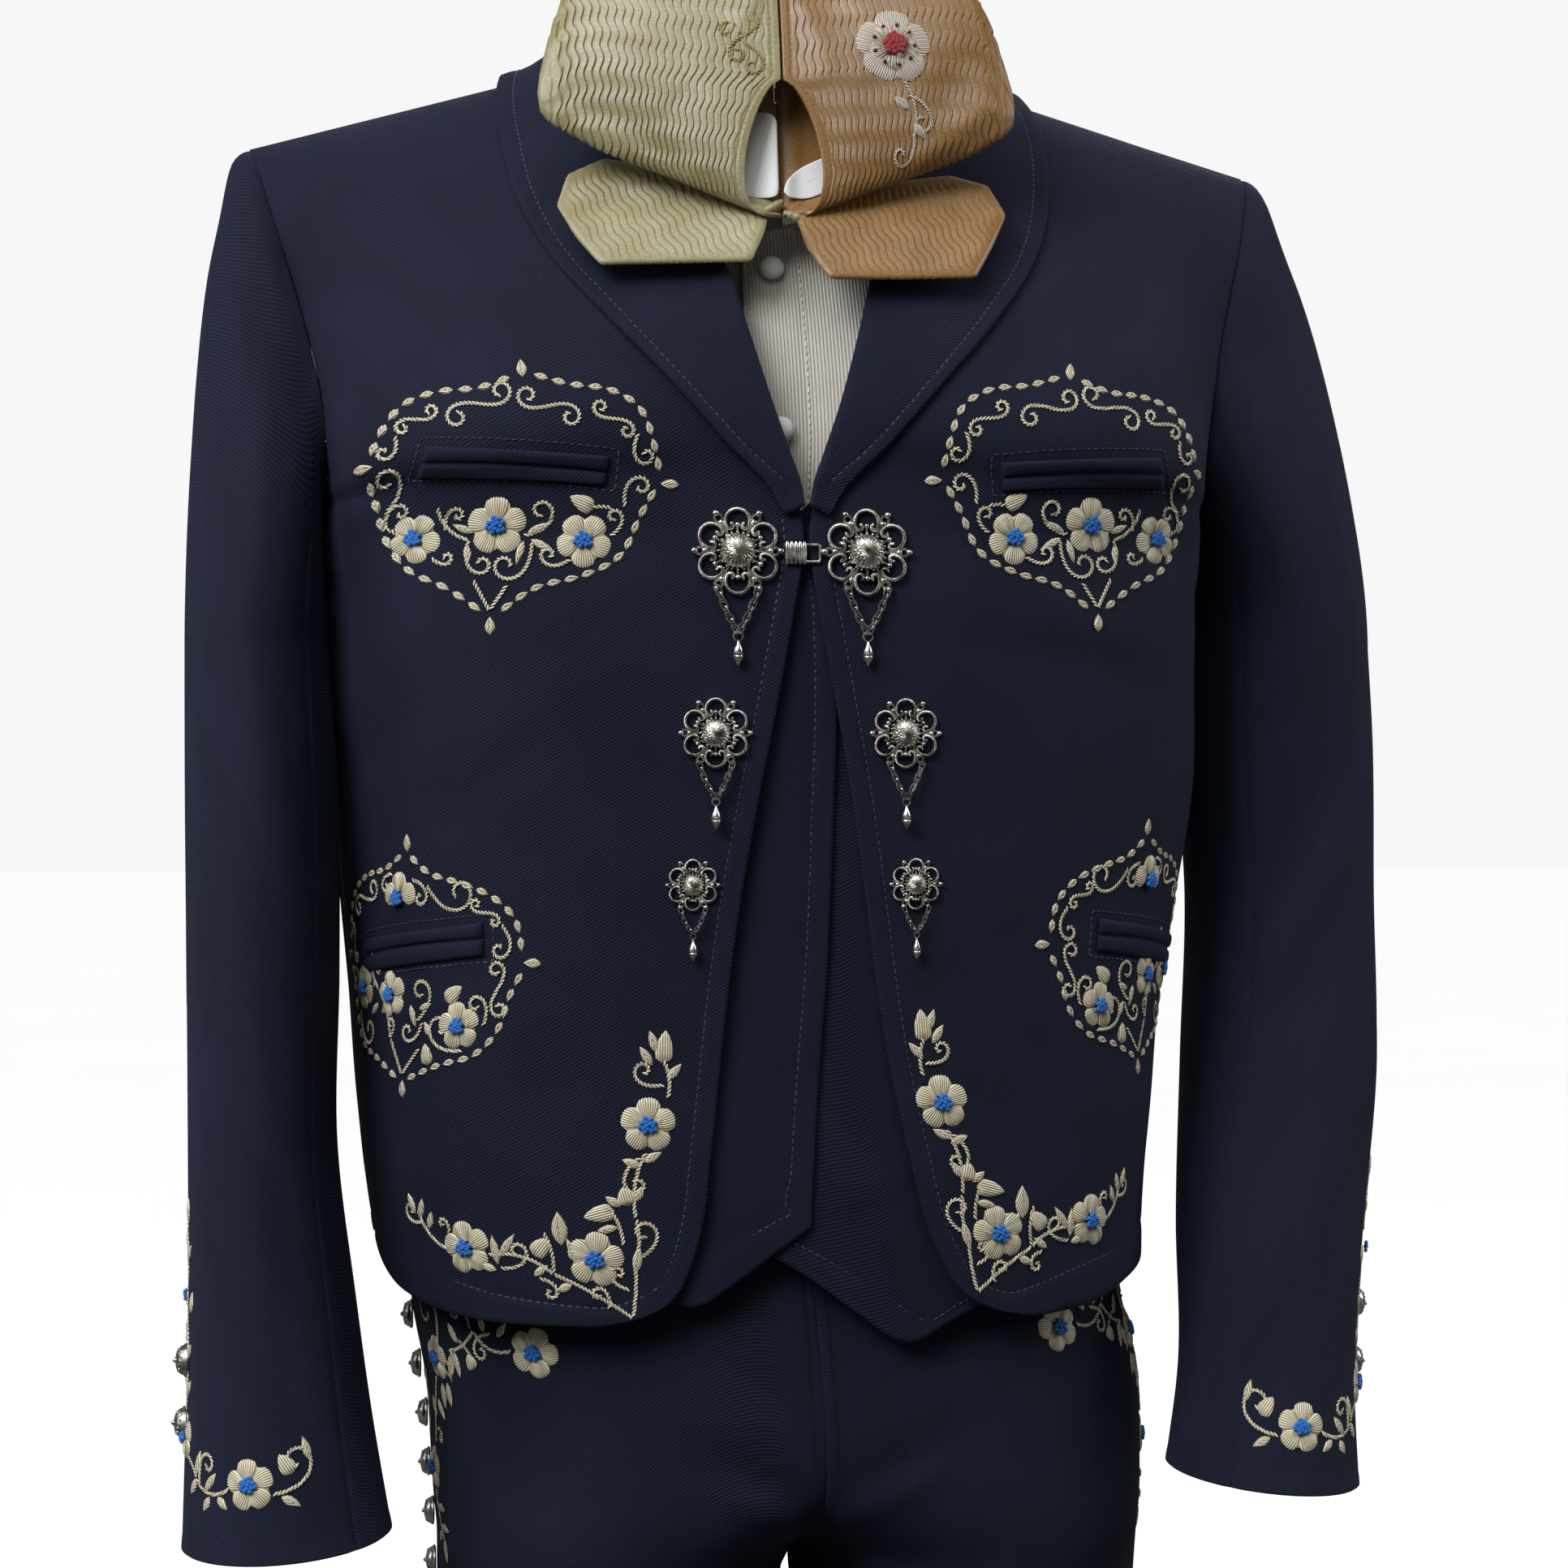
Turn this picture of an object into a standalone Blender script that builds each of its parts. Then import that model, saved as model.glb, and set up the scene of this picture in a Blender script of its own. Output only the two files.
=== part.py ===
"""A charro suit filled out as if worn: short jacket, waistcoat, shirt, trousers and moño bow tie.

Sizes are in millimetres and are scaled to metres where a mesh is made. +Z is up, the front faces -Y, and
+X is the wearer's left. The origin is where the suit rests on the shoulders, at the base of the neck.
Every cloth layer is a trimmed copy of one body surface, moved in or out along its normal.
"""

import math

import bmesh
import bpy
import numpy as np
from mathutils import Matrix, Vector
from mathutils.bvhtree import BVHTree

MM = 0.001
SEAM = 0.3
SIDES = {"right": -1, "left": 1}  # the wearer's sides

NAVY = (0.012, 0.016, 0.036)
WHITE = (0.72, 0.68, 0.62)
GOLD = (0.38, 0.29, 0.11)
SILVER = (0.62, 0.57, 0.50)


class Spline:
    """A smooth curve through the rows of a table whose first column is the key."""

    def __init__(self, rows):
        rows = np.array(rows, float)
        self.keys = rows[:, 0]
        self.values = rows[:, 1:]
        self.slopes = np.gradient(self.values, self.keys, axis=0)

    def __call__(self, key):
        key = np.clip(key, self.keys[0], self.keys[-1])
        i = np.clip(np.searchsorted(self.keys, key, side="right") - 1, 0, len(self.keys) - 2)
        span = self.keys[i + 1] - self.keys[i]
        t = ((key - self.keys[i]) / span)[..., None]
        span = span[..., None]
        start = (2 * t**3 - 3 * t**2 + 1) * self.values[i] + (t**3 - 2 * t**2 + t) * span * self.slopes[i]
        end = (3 * t**2 - 2 * t**3) * self.values[i + 1] + (t**3 - t**2) * span * self.slopes[i + 1]
        return start + end


# ---------------------------------------------------------------- driving sizes of the body surface

ARMPIT_Z = -205
ROUNDNESS = 2.8  # exponent of the torso's ring sections
SHOULDER_TIP = (222, 0, -47.4)
NECK_SIDE = (62, 0, -2)
CHEST_TOP_Z = -54  # above this height the front centre curve leaves the middle

# height, half width, front depth, back depth
TORSO = Spline([
    (-560, 166, 127, 118), (-520, 169, 129, 116), (-480, 173, 131, 110), (-430, 179, 131.5, 102),
    (-390, 184, 132.5, 100), (-350, 188, 134, 104), (-300, 190, 136, 112), (-250, 190, 137, 118),
    (-205, 190, 134, 120),
])
# height, sideways sway of the hips
SWAY = Spline([(-1500, 12), (-700, 12), (-590, 12), (-530, 7), (-480, 3), (-430, 0), (-300, 0)])
# height, how far the sides shift along x: on the wearer's right, on the left
TAPER = Spline([
    (-1500, 0, 0), (-800, 0, 0), (-660, 4.5, -4.5), (-615, 2.5, -3), (-575, 1.5, -5), (-540, -4.5, -11),
    (-515, -5.4, -11), (-490, -4.4, -9.5), (-460, -2, -7), (-411, 2, -5.6), (-365, 2.6, -2.5),
    (-320, 2.6, 0.6), (-275, 1, 0), (-240, 0, 0), (-220, 0, 0), (0, 0, 0),
])
TAPER_REACH = 172  # the distance from the middle where the taper is whole

# height fraction above the armpit, x, y, z
CENTRE_FRONT = Spline([
    (0, 0, -134, -205), (0.22, 0, -130, -165), (0.45, 0, -118, -118), (0.65, 0, -98, -76),
    (0.74, 0, -84, -56), (0.84, 33, -69, -41), (0.92, 52, -41, -19), (0.965, 59, -18, -6), (1, *NECK_SIDE),
])
CENTRE_BACK = Spline([
    (0, 0, 120, -205), (0.25, 0, 118, -160), (0.5, 0, 108, -110), (0.72, 0, 88, -55),
    (0.86, 0, 60, -6), (0.94, 41, 42, -3), (1, *NECK_SIDE),
])
ARMHOLE_FRONT = Spline([
    (0, 190, 0, -205), (0.1, 190, -32, -203), (0.22, 189.5, -52, -188), (0.38, 192, -56, -160),
    (0.58, 200, -46, -124), (0.78, 212, -33, -82), (0.92, 219.5, -15, -55), (1, *SHOULDER_TIP),
])
ARMHOLE_BACK = Spline([
    (0, 190, 0, -205), (0.1, 190, 30, -203), (0.24, 188, 52, -185), (0.42, 190, 60, -150),
    (0.62, 199, 50, -112), (0.8, 212, 34, -78), (0.93, 219.5, 14, -54), (1, *SHOULDER_TIP),
])


def ring(angle, z):
    """A point of the torso's section at height z, angle 0 at the front centre and pi at the back."""
    width, front, back = np.moveaxis(TORSO(z), -1, 0)
    depth = np.where(np.cos(angle) > 0, front, back)
    across = np.abs(np.sin(angle) / width) ** ROUNDNESS
    along = np.abs(np.cos(angle) / depth) ** ROUNDNESS
    radius = (across + along) ** (-1 / ROUNDNESS)
    return np.stack([radius * np.sin(angle), -radius * np.cos(angle), z + 0 * angle], -1)


def body(across, height, face):
    """The suit's body surface on one side: across is 0 at the centre and 1 at the side seam or armhole.

    Face is +1 for the front and -1 for the back. Height is z up to the armpit, and above it runs on
    to 0 at the shoulder seam, between the neck and armhole curves.
    """
    across, height = np.broadcast_arrays(np.asarray(across, float), np.asarray(height, float))
    crossing = (across < 0) & (height < CHEST_TOP_Z) & (face > 0)
    mirror = np.where(crossing, -1.0, 1.0)
    across = across * mirror
    angle = across * math.pi / 2 if face > 0 else math.pi - across * math.pi / 2
    low = ring(angle, np.minimum(height, ARMPIT_Z))
    inner, outer = (CENTRE_FRONT, ARMHOLE_FRONT) if face > 0 else (CENTRE_BACK, ARMHOLE_BACK)
    t = np.clip((height - ARMPIT_Z) / -ARMPIT_Z, 0, 1)
    s = across[..., None]
    v = t[..., None]
    none = np.zeros_like(t)
    chest = ring(angle, none + ARMPIT_Z)
    neck, tip = np.array(NECK_SIDE, float), np.array(SHOULDER_TIP, float)
    shoulder = neck + s * (tip - neck)
    corners = (1 - s) * (1 - v) * inner(none) + (1 - s) * v * neck + s * (1 - v) * outer(none) + s * v * tip
    high = (1 - s) * inner(t) + s * outer(t) + (1 - v) * chest + v * shoulder - corners
    surface = np.where((height <= ARMPIT_Z)[..., None], low, high)
    return surface * np.stack([mirror, 1 + 0 * mirror, 1 + 0 * mirror], -1)


def sway(x, z):
    """Sideways shift of a point: the hips' sway, and the sides' taper, which fades to the middle."""
    right, left = np.moveaxis(TAPER(z), -1, 0)
    return SWAY(z)[..., 0] + (x / TAPER_REACH) ** 4 * np.where(x < 0, right, left)


def unit(vectors):
    return vectors / np.maximum(np.linalg.norm(vectors, axis=-1, keepdims=True), 1e-9)


def normals_of(surface, across, height, step_across, step_height):
    """Outward normals by differences, with the surface's own turn taken from its points' order."""
    along = surface(across + step_across, height) - surface(across - step_across, height)
    up = surface(across, height + step_height) - surface(across, height - step_height)
    return unit(np.cross(along, up))


def body_layer(across, height, face, lift):
    """Body surface moved out by lift, with its normals, which both faces share at the shoulder seam."""
    normal = normals_of(lambda s, h: body(s, h, face), across, height, 0.01, 2.0) * face
    seam_normal = unit(np.array([0.27, 0, 0.96]))
    share = np.clip((height - ARMPIT_Z) / -ARMPIT_Z, 0, 1)[..., None] ** 10
    normal = unit(normal * (1 - share) + seam_normal * share)
    return body(across, height, face) + normal * np.asarray(lift)[..., None], normal


def across_at(x, height, face=1):
    """Where the body surface at this height reaches x, found by halving."""
    low = np.full(np.shape(height), -0.3)
    high = np.full(np.shape(height), 1.0)
    for _ in range(24):
        middle = (low + high) / 2
        short = body(middle, height, face)[..., 0] < x
        low = np.where(short, middle, low)
        high = np.where(short, high, middle)
    return (low + high) / 2


def locate(x, z):
    """(across, height) of the front surface's point at x and z."""
    height = np.array(z, float)
    for _ in range(12):
        across = across_at(x, height)
        height = height + (z - body(across, height, 1)[..., 2])
    return across, height


# ---------------------------------------------------------------- meshes

def material(name, colour, roughness, metallic=0.0):
    made = bpy.data.materials.new(name)
    made.use_nodes = True
    shader = made.node_tree.nodes["Principled BSDF"]
    shader.inputs["Base Color"].default_value = (*colour, 1)
    shader.inputs["Roughness"].default_value = roughness
    shader.inputs["Metallic"].default_value = metallic
    return made


def add_object(name, points, faces, made_of):
    """One closed mesh object from points in millimetres."""
    mesh = bpy.data.meshes.new(name)
    shape = bmesh.new()
    corners = [shape.verts.new(Vector(point) * MM) for point in points]
    for face in faces:
        shape.faces.new([corners[i] for i in face])
    bmesh.ops.recalc_face_normals(shape, faces=shape.faces)
    shape.to_mesh(mesh)
    shape.free()
    mesh.shade_smooth()
    mesh.set_sharp_from_angle(angle=math.radians(40))
    mesh.materials.append(made_of)
    made = bpy.data.objects.new(name, mesh)
    bpy.context.scene.collection.objects.link(made)
    return made


def wall(name, outer, normals, thickness, made_of, side=1, closed=False, swayed=True, mirrored=False):
    """A cloth wall: a grid of outer points, the same points moved in, and rims.

    Closed joins the columns into a tube. Mirrored adds the other half, joined along the points on x = 0.
    """
    rows, columns = outer.shape[:2]
    inner = outer - normals * np.asarray(thickness)
    points = np.concatenate([outer.reshape(-1, 3), inner.reshape(-1, 3)])
    size = rows * columns
    spans = columns if closed else columns - 1
    faces = []
    for i in range(rows - 1):
        for j in range(spans):
            k = (j + 1) % columns
            a, b, c, d = i * columns + j, i * columns + k, (i + 1) * columns + k, (i + 1) * columns + j
            for corners in ((a, b, c), (a, c, d)):
                faces.append(corners)
                faces.append([size + corner for corner in reversed(corners)])
    last = (rows - 1) * columns
    for j in range(spans):
        k = (j + 1) % columns
        faces.append((j, size + j, size + k, k))
        faces.append((last + k, size + last + k, size + last + j, last + j))
    if not closed:
        for i in range(rows - 1):
            for column in (0, columns - 1):
                a, b = i * columns + column, (i + 1) * columns + column
                faces.append((a, b, size + b, size + a))
    if mirrored:
        points, faces = with_mirror(points, faces)
    points[:, 0] *= side
    if swayed:
        points[:, 0] += sway(points[:, 0], points[:, 2])
    return add_object(name, points, faces, made_of)


def with_mirror(points, faces):
    """Both halves of a wall given one: points on x = 0 are shared, and the rims there are left out."""
    middle = np.abs(points[:, 0]) < 1e-6
    other = np.where(middle, np.arange(len(points)), 0)
    other[~middle] = len(points) + np.arange((~middle).sum())
    both = np.concatenate([points, points[~middle] * (-1, 1, 1)])
    kept = [face for face in faces if not all(middle[corner] for corner in face)]
    return both, kept + [[int(other[corner]) for corner in reversed(face)] for face in kept]


def frame_matrix(centre, normal, up=(0, 0, 1)):
    """Axes at a point on the cloth: x across, y up along it, z out of it."""
    out = Vector(normal).normalized()
    across = Vector(up).cross(out).normalized()
    rise = out.cross(across)
    turn = Matrix((across, rise, out)).transposed().to_4x4()
    return Matrix.Translation(Vector(centre)) @ turn


def turned(name, profile, sides, place, made_of):
    """A closed solid turned about local z from (radius, height) rows whose ends lie on the axis."""
    points = [(0, 0, profile[0][1])]
    for radius, height in profile[1:-1]:
        for k in range(sides):
            angle = 2 * math.pi * k / sides
            points.append((radius * math.cos(angle), radius * math.sin(angle), height))
    points.append((0, 0, profile[-1][1]))
    rings = len(profile) - 2
    faces = []
    for k in range(sides):
        n = (k + 1) % sides
        faces.append((0, 1 + n, 1 + k))
        for i in range(rings - 1):
            a, b = 1 + i * sides, 1 + (i + 1) * sides
            faces.append((a + k, a + n, b + n, b + k))
        top = 1 + (rings - 1) * sides
        faces.append((top + k, top + n, len(points) - 1))
    return add_object(name, [place @ Vector(point) for point in points], faces, made_of)


def union(base, tool):
    """Joins a second closed solid to the first and removes the second."""
    joined = base.modifiers.new("union", "BOOLEAN")
    joined.operation = "UNION"
    joined.object = tool
    graph = bpy.context.evaluated_depsgraph_get()
    mesh = bpy.data.meshes.new_from_object(base.evaluated_get(graph))
    base.modifiers.clear()
    base.data = mesh
    bpy.data.objects.remove(tool)


# ---------------------------------------------------------------- jacket

JACKET_WALL = 2.0
# height, x of the front edge or, above the closure, of the panel under the roll line
JACKET_EDGE = Spline([
    (-541, 92), (-539, 80), (-535, 68), (-529, 59.5), (-520, 54), (-505, 48), (-473, 41.5), (-440, 36),
    (-400, 30.5), (-367, 26), (-327, 19.5), (-284, 11.5), (-248, 5), (-228, 1.8), (-216, 2.2), (-205, 4.5),
    (-190, 9.5), (-167, 18), (-135, 26.5), (-113, 33), (-85, 46), (-55, 60), (-25, 71), (0, 76),
])
# angle fraction from the front centre to the side, height of the hem
JACKET_HEM = {
    "right": Spline([(0, -541), (0.35, -540), (0.6, -535), (0.8, -526), (1, -516)]),
    "left": Spline([(0, -541), (0.2, -538), (0.4, -531), (0.6, -525), (0.8, -519.5), (1, -516)]),
}
BACK_HEM_Z = -516
JACKET_ROWS = [0, 0.16, 0.32, 0.48, 0.64, 0.79, 0.89, 0.945, 0.975, 1]
# rows above the armpit, shared by every layer so that their walls stay parallel
UPPER_ROWS = [0.16, 0.32, 0.48, 0.64, 0.78, 0.89, 0.955, 1]
BACK_UPPER_ROWS = [0.16, 0.32, 0.48, 0.64, 0.76, 0.86, 0.93, 1]
BACK_NECK_Z = ARMPIT_Z * (1 - 0.86)  # body height where the back's neck edge leaves the middle


def spaced(count):
    return np.linspace(0, 1, count)


def jacket_front(side_name, columns=10):
    """The front panel runs from the hem to the shoulder seam, and from the front edge to the side."""
    hem = JACKET_HEM[side_name]
    share = spaced(columns)
    heights = []
    for down in reversed(JACKET_ROWS):
        heights.append(ARMPIT_Z + down * (hem(share)[:, 0] - ARMPIT_Z))
    for up in UPPER_ROWS:
        heights.append(np.full(columns, ARMPIT_Z * (1 - up)))
    height = np.array(heights)
    edge = JACKET_EDGE(height[:, :1])[..., 0]
    start = across_at(edge, height[:, :1])
    across = start + (1 - start) * share[None, :]
    outer, normal = body_layer(across, height, 1, 0 * across)
    outer = seam_gap(outer, across, height, 1)
    wall(f"jacket_front_{side_name}", outer, normal, JACKET_WALL, NAVY_CLOTH, SIDES[side_name])


def seam_gap(points, across, height, face):
    """Half a seam's gap: the side edge and the shoulder edge step back from the seam."""
    points = points.copy()
    points[..., 1] -= face * SEAM / 2 * ((across > 0.999) & (height <= ARMPIT_Z))
    points[..., 1] -= face * SEAM * 0.6 * (height > -1)
    return points


def jacket_back():
    """The back panel is cut in one, from side seam to side seam."""
    heights = [ARMPIT_Z + down * (BACK_HEM_Z - ARMPIT_Z) for down in (1, 0.8, 0.6, 0.4, 0.2, 0)]
    heights += [ARMPIT_Z * (1 - up) for up in BACK_UPPER_ROWS]
    def layer(across, height):
        return body_layer(across, height, -1, 0 * across)

    back("jacket_back", heights, 8, 0.045, layer, 1, JACKET_WALL, NAVY_CLOTH)


def back(name, heights, columns, neck_inset, layer, reach, thickness, made_of):
    """A back in one piece. Its centre column runs up the middle, then round one side of the neck."""
    share, height = np.meshgrid(spaced(columns), np.array(heights, float))
    start = neck_inset * np.clip((height - BACK_NECK_Z) / -BACK_NECK_Z, 0, 1)
    across = start + (reach - start) * share
    outer, normal = layer(across, height)
    outer = seam_gap(outer, share + reach - 1, height, -1)
    middle = height[:, 0] <= BACK_NECK_Z + 1
    outer[middle, 0, 0] = 0
    normal[middle, 0, 0] = 0
    wall(name, outer, unit(normal), thickness, made_of, mirrored=True)


# ---------------------------------------------------------------- sleeves

HEAD_END_Z = -262
SLEEVE_WALL = 1.8
SLEEVE_GAP = 0.7
SLEEVE_INSET = 2.7  # how far the shirt's sleeve lies inside the jacket's
# height, centre x, centre y, half width, half depth
SLEEVE = {
    "right": Spline([
        (-630, 206.5, -78, 42.5, 50), (-589, 209.5, -68, 38.5, 52), (-537, 212.5, -58, 34.5, 54),
        (-473, 216.2, -50, 30.8, 56), (-400, 215.9, -46, 31.4, 57), (-330, 216.4, -42, 31.6, 59),
        (-262, 218.6, -30, 30, 62),
    ]),
    "left": Spline([
        (-617, 208, -77, 40, 51), (-581, 213, -66, 36.5, 52), (-514, 220.5, -46, 39, 54),
        (-443, 231, -26, 42, 55), (-371, 236.5, -10, 40.5, 57), (-300, 236, -2, 43, 59),
        (-262, 235, 0, 42.2, 61),
    ]),
}
CUFF_Z = {"right": -630, "left": -617}
FRONT_SEAM, BACK_SEAM = 0.36, 0.69  # fractions round the sleeve from the shoulder tip, by the front


def armhole(turn):
    """The armhole loop: 0 at the shoulder tip, 0.25 at the front, 0.5 at the armpit, 0.75 at the back."""
    turn = turn % 1.0
    front = ARMHOLE_FRONT(np.clip(1 - 2 * turn, 0, 1))
    back = ARMHOLE_BACK(np.clip(2 * turn - 1, 0, 1))
    return np.where((turn < 0.5)[..., None], front, back)


def sleeve_ring(turn, z, side_name):
    centre_x, centre_y, width, depth = np.moveaxis(SLEEVE[side_name](z), -1, 0)
    angle = 2 * math.pi * turn
    lean = -3 * np.cos(angle) * np.clip((-450 - z) / 150, 0, 1)
    return np.stack([centre_x + width * np.cos(angle), centre_y - depth * np.sin(angle), z + lean], -1)


def sleeve(turn, length, side_name):
    """Sleeve surface: length 0 at the armhole, 0.35 at the end of the head and 1 at the cuff."""
    turn, length = np.broadcast_arrays(np.asarray(turn, float), np.asarray(length, float))
    angle = 2 * math.pi * turn
    t = (length / 0.35)[..., None]
    fall = (1 - np.cos(angle)) / 2
    leave = unit(np.stack([0.95 - 0.55 * fall, -0.3 * np.sin(angle), -0.27 - 0.7 * fall], -1))
    start = armhole(turn) + leave * SLEEVE_GAP
    end = sleeve_ring(turn, np.full_like(turn, HEAD_END_Z), side_name)
    reach = (62 - 46 * fall)[..., None]
    drop = np.stack([0 * turn, 0 * turn, end[..., 2] - start[..., 2]], -1)
    head = (2 * t**3 - 3 * t**2 + 1) * start + (t**3 - 2 * t**2 + t) * leave * reach
    head = head + (3 * t**2 - 2 * t**3) * end + (t**3 - t**2) * drop
    z = HEAD_END_Z + (CUFF_Z[side_name] - HEAD_END_Z) * (length - 0.35) / 0.65
    arm = sleeve_ring(turn, np.minimum(z, HEAD_END_Z), side_name)
    return np.where(t < 1, head, arm)


def sleeve_grid(first, last, columns, lengths, side_name, lift=0.0):
    turn = np.linspace(first, last, columns)[None, :] + 0 * np.array(lengths)[:, None]
    length = np.array(lengths)[:, None] + 0 * turn
    normal = normals_of(lambda a, b: sleeve(a, b, side_name), turn, length, 0.004, 0.004)
    return sleeve(turn, length, side_name) + normal * lift, normal


def sleeves():
    lengths = [0, 0.05, 0.12, 0.2, 0.27, 0.35, 0.48, 0.61, 0.74, 0.87, 0.913, 1]
    for name, side in SIDES.items():
        part = 0.0009
        outer, normal = sleeve_grid(BACK_SEAM - 1 + part, FRONT_SEAM - part, 9, lengths, name)
        wall(f"sleeve_top_{name}", outer, normal, SLEEVE_WALL, NAVY_CLOTH, side, swayed=False)
        outer, normal = sleeve_grid(FRONT_SEAM + part, BACK_SEAM - part, 6, lengths, name)
        wall(f"sleeve_under_{name}", outer, normal, SLEEVE_WALL, NAVY_CLOTH, side, swayed=False)


# ---------------------------------------------------------------- shawl collar

COLLAR_WALL = 1.6
# length from the closure to the centre back, roll line x y z, outer edge x y z
COLLAR = Spline([
    (0, 0.9, -137.6, -210, 9, -137, -213.5),
    (0.05, 2.4, -137, -201, 16, -136, -201.5),
    (0.12, 6.6, -136, -189, 35, -133, -183),
    (0.2, 14, -134, -168, 57, -127, -160),
    (0.3, 23, -128, -137, 79.5, -114, -136),
    (0.38, 29, -122, -115, 97.5, -98, -112),
    (0.47, 41, -104, -85, 110.5, -78, -84),
    (0.56, 54, -82, -54, 115, -56, -60),
    (0.65, 65, -48, -18, 116, -30, -36),
    (0.74, 67, -11, 12, 110, 6, -12),
    (0.82, 57, 28, 24, 96, 46, -16),
    (0.91, 31, 54, 28, 55, 82, -32),
    (1, 0, 62, 29, 0, 88, -38),
])
# length, stand x y z: where the collar is sewn on round the neck, inside the roll
STAND = Spline([
    (0.6, 62, -62, -42), (0.65, 64.5, -44, -27), (0.74, 63.5, -8, -5), (0.82, 51, 24, 0),
    (0.91, 29, 46.5, 1), (1, 0, 54, 1),
])
LAPEL_TURN = 6.0  # how much of the lapel lies behind its roll
COLLAR_ROWS = [0, 0.03, 0.07, 0.12, 0.2, 0.3, 0.4, 0.5, 0.59, 0.67, 0.715, 0.75, 0.79, 0.84, 0.9, 0.95, 1]
COLLAR_ACROSS = [0.35, 0.7, 1]
ROLL_RADIUS = 2.0
REST_GAP = 1.1
RIDGE_LIFT = 2.5  # extra height where it crosses the shoulder seam


def jacket_skin():
    """The jacket's outer surface on one side, front and back, as a tree to rest other pieces on."""
    points, faces = [], []
    for face in (1, -1):
        across, height = np.meshgrid(np.linspace(0, 1, 30), np.linspace(-540, 0, 90))
        grid, _ = body_layer(across, height, face, 0 * across)
        base = len(points)
        points += [Vector(point) for point in grid.reshape(-1, 3)]
        for i in range(89):
            for j in range(29):
                a = base + i * 30 + j
                faces.append((a, a + 1, a + 31, a + 30)[::face])
    return BVHTree.FromPolygons(points, faces)


def rested(tree, point, lift):
    """The point, pushed out until it clears the jacket by lift."""
    point = Vector(point)
    near, normal, _, _ = tree.find_nearest(point)
    height = (point - near).dot(normal)
    return point if height >= lift else near + normal * lift


def grid_normals(points):
    along = np.gradient(points, axis=0)
    across = np.gradient(points, axis=1)
    return unit(np.cross(along, across))


def collar(tree):
    """Each half rises from the neck seam, turns over a soft roll and falls on the jacket."""
    lengths = np.array(COLLAR_ROWS)
    folds, edges = COLLAR(lengths)[:, :3], COLLAR(lengths)[:, 3:]
    ups = unit(folds - edges)
    outs = unit(np.cross(np.gradient(folds, lengths, axis=0), ups))
    grid = []
    widths = np.linalg.norm(edges - folds, axis=1)
    finer = np.clip(widths / 16, 0.62, 1)  # the point is pressed thinner
    for length, fold, edge, up, out, width, fine in zip(lengths, folds, edges, ups, outs, widths, finer):
        radius = ROLL_RADIUS * fine
        cloth = COLLAR_WALL * fine
        fold = np.array(rested(tree, fold, REST_GAP + radius))
        middle = fold - up * radius
        turn = min(LAPEL_TURN, max(radius + 0.4, 0.28 * width))
        seam = fold - up * turn - out * 2 * radius
        sewn = min(max((length - 0.55) / 0.2, 0), 1)
        stand = seam * (1 - sewn) + STAND(np.array([length]))[0] * sewn
        inside = middle - out * radius
        if sewn < 0.5:
            stand, inside = rested(tree, stand, REST_GAP), rested(tree, inside, REST_GAP)
        row = [stand, inside, fold]
        outside = middle + out * radius
        row.append(rested(tree, outside, REST_GAP + 2 * radius))
        for across in COLLAR_ACROSS:
            flatter = 1 - across * min(1, width / 30)
            lift = cloth + REST_GAP + (2 * radius - cloth) * flatter
            lift += RIDGE_LIFT * math.exp(-(edge[1] / 18) ** 2)
            row.append(rested(tree, outside * (1 - across) + edge * across, lift))
        grid.append(row)
    outer = np.array([[tuple(p) for p in row] for row in grid])
    outer[-1, :, 0] = SEAM / 2
    normal = grid_normals(outer)
    normal = normal * np.sign(normal[4, 5] @ outer[4, 5])
    normal[-1, :, 0] = 0
    normal = unit(normal)
    for name, side in SIDES.items():
        wall(f"collar_{name}", outer, normal, COLLAR_WALL * finer[:, None, None], NAVY_CLOTH, side)


# ---------------------------------------------------------------- waistcoat and shirt

WAISTCOAT_WALL = 1.4
# body height, x of the neckline edge
WAISTCOAT_EDGE = {
    "right": Spline([(-560, 4), (-502, 1.5), (-466, -2.5), (-400, -10), (-333, -12), (-260, -12),
                     (-236, -10), (-214, 0), (-205, 6), (-167, 30), (-113, 60), (-60, 85), (0, 100)]),
    "left": Spline([(-560, -16), (-236, -16), (-214, -4), (-205, 6), (-167, 30), (-113, 60), (-60, 85),
                    (0, 100)]),
}
# body height, armhole's place across the body
WAISTCOAT_ARM = Spline([
    (-560, 1), (-250, 1), (-232, 1), (-218, 0.98), (-205, 0.94), (-160, 0.8), (-100, 0.7), (-40, 0.62),
    (0, 0.58),
])
# x from the panel's front edge, height of the hem
WAISTCOAT_HEM = {
    "right": Spline([(0, -502), (24, -514.6), (45, -526), (62, -534), (80, -529), (130, -514),
                     (260, -508)]),
    "left": Spline([(0, -513), (20, -524), (40, -537.5), (64, -551), (86, -542), (150, -520),
                    (280, -508)]),
}
WAISTCOAT_LIFT = {"right": -4.4, "left": -6.4}
WAISTCOAT_BACK_HEM = -508
WAISTCOAT_BACK_LIFT = -6.5


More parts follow.
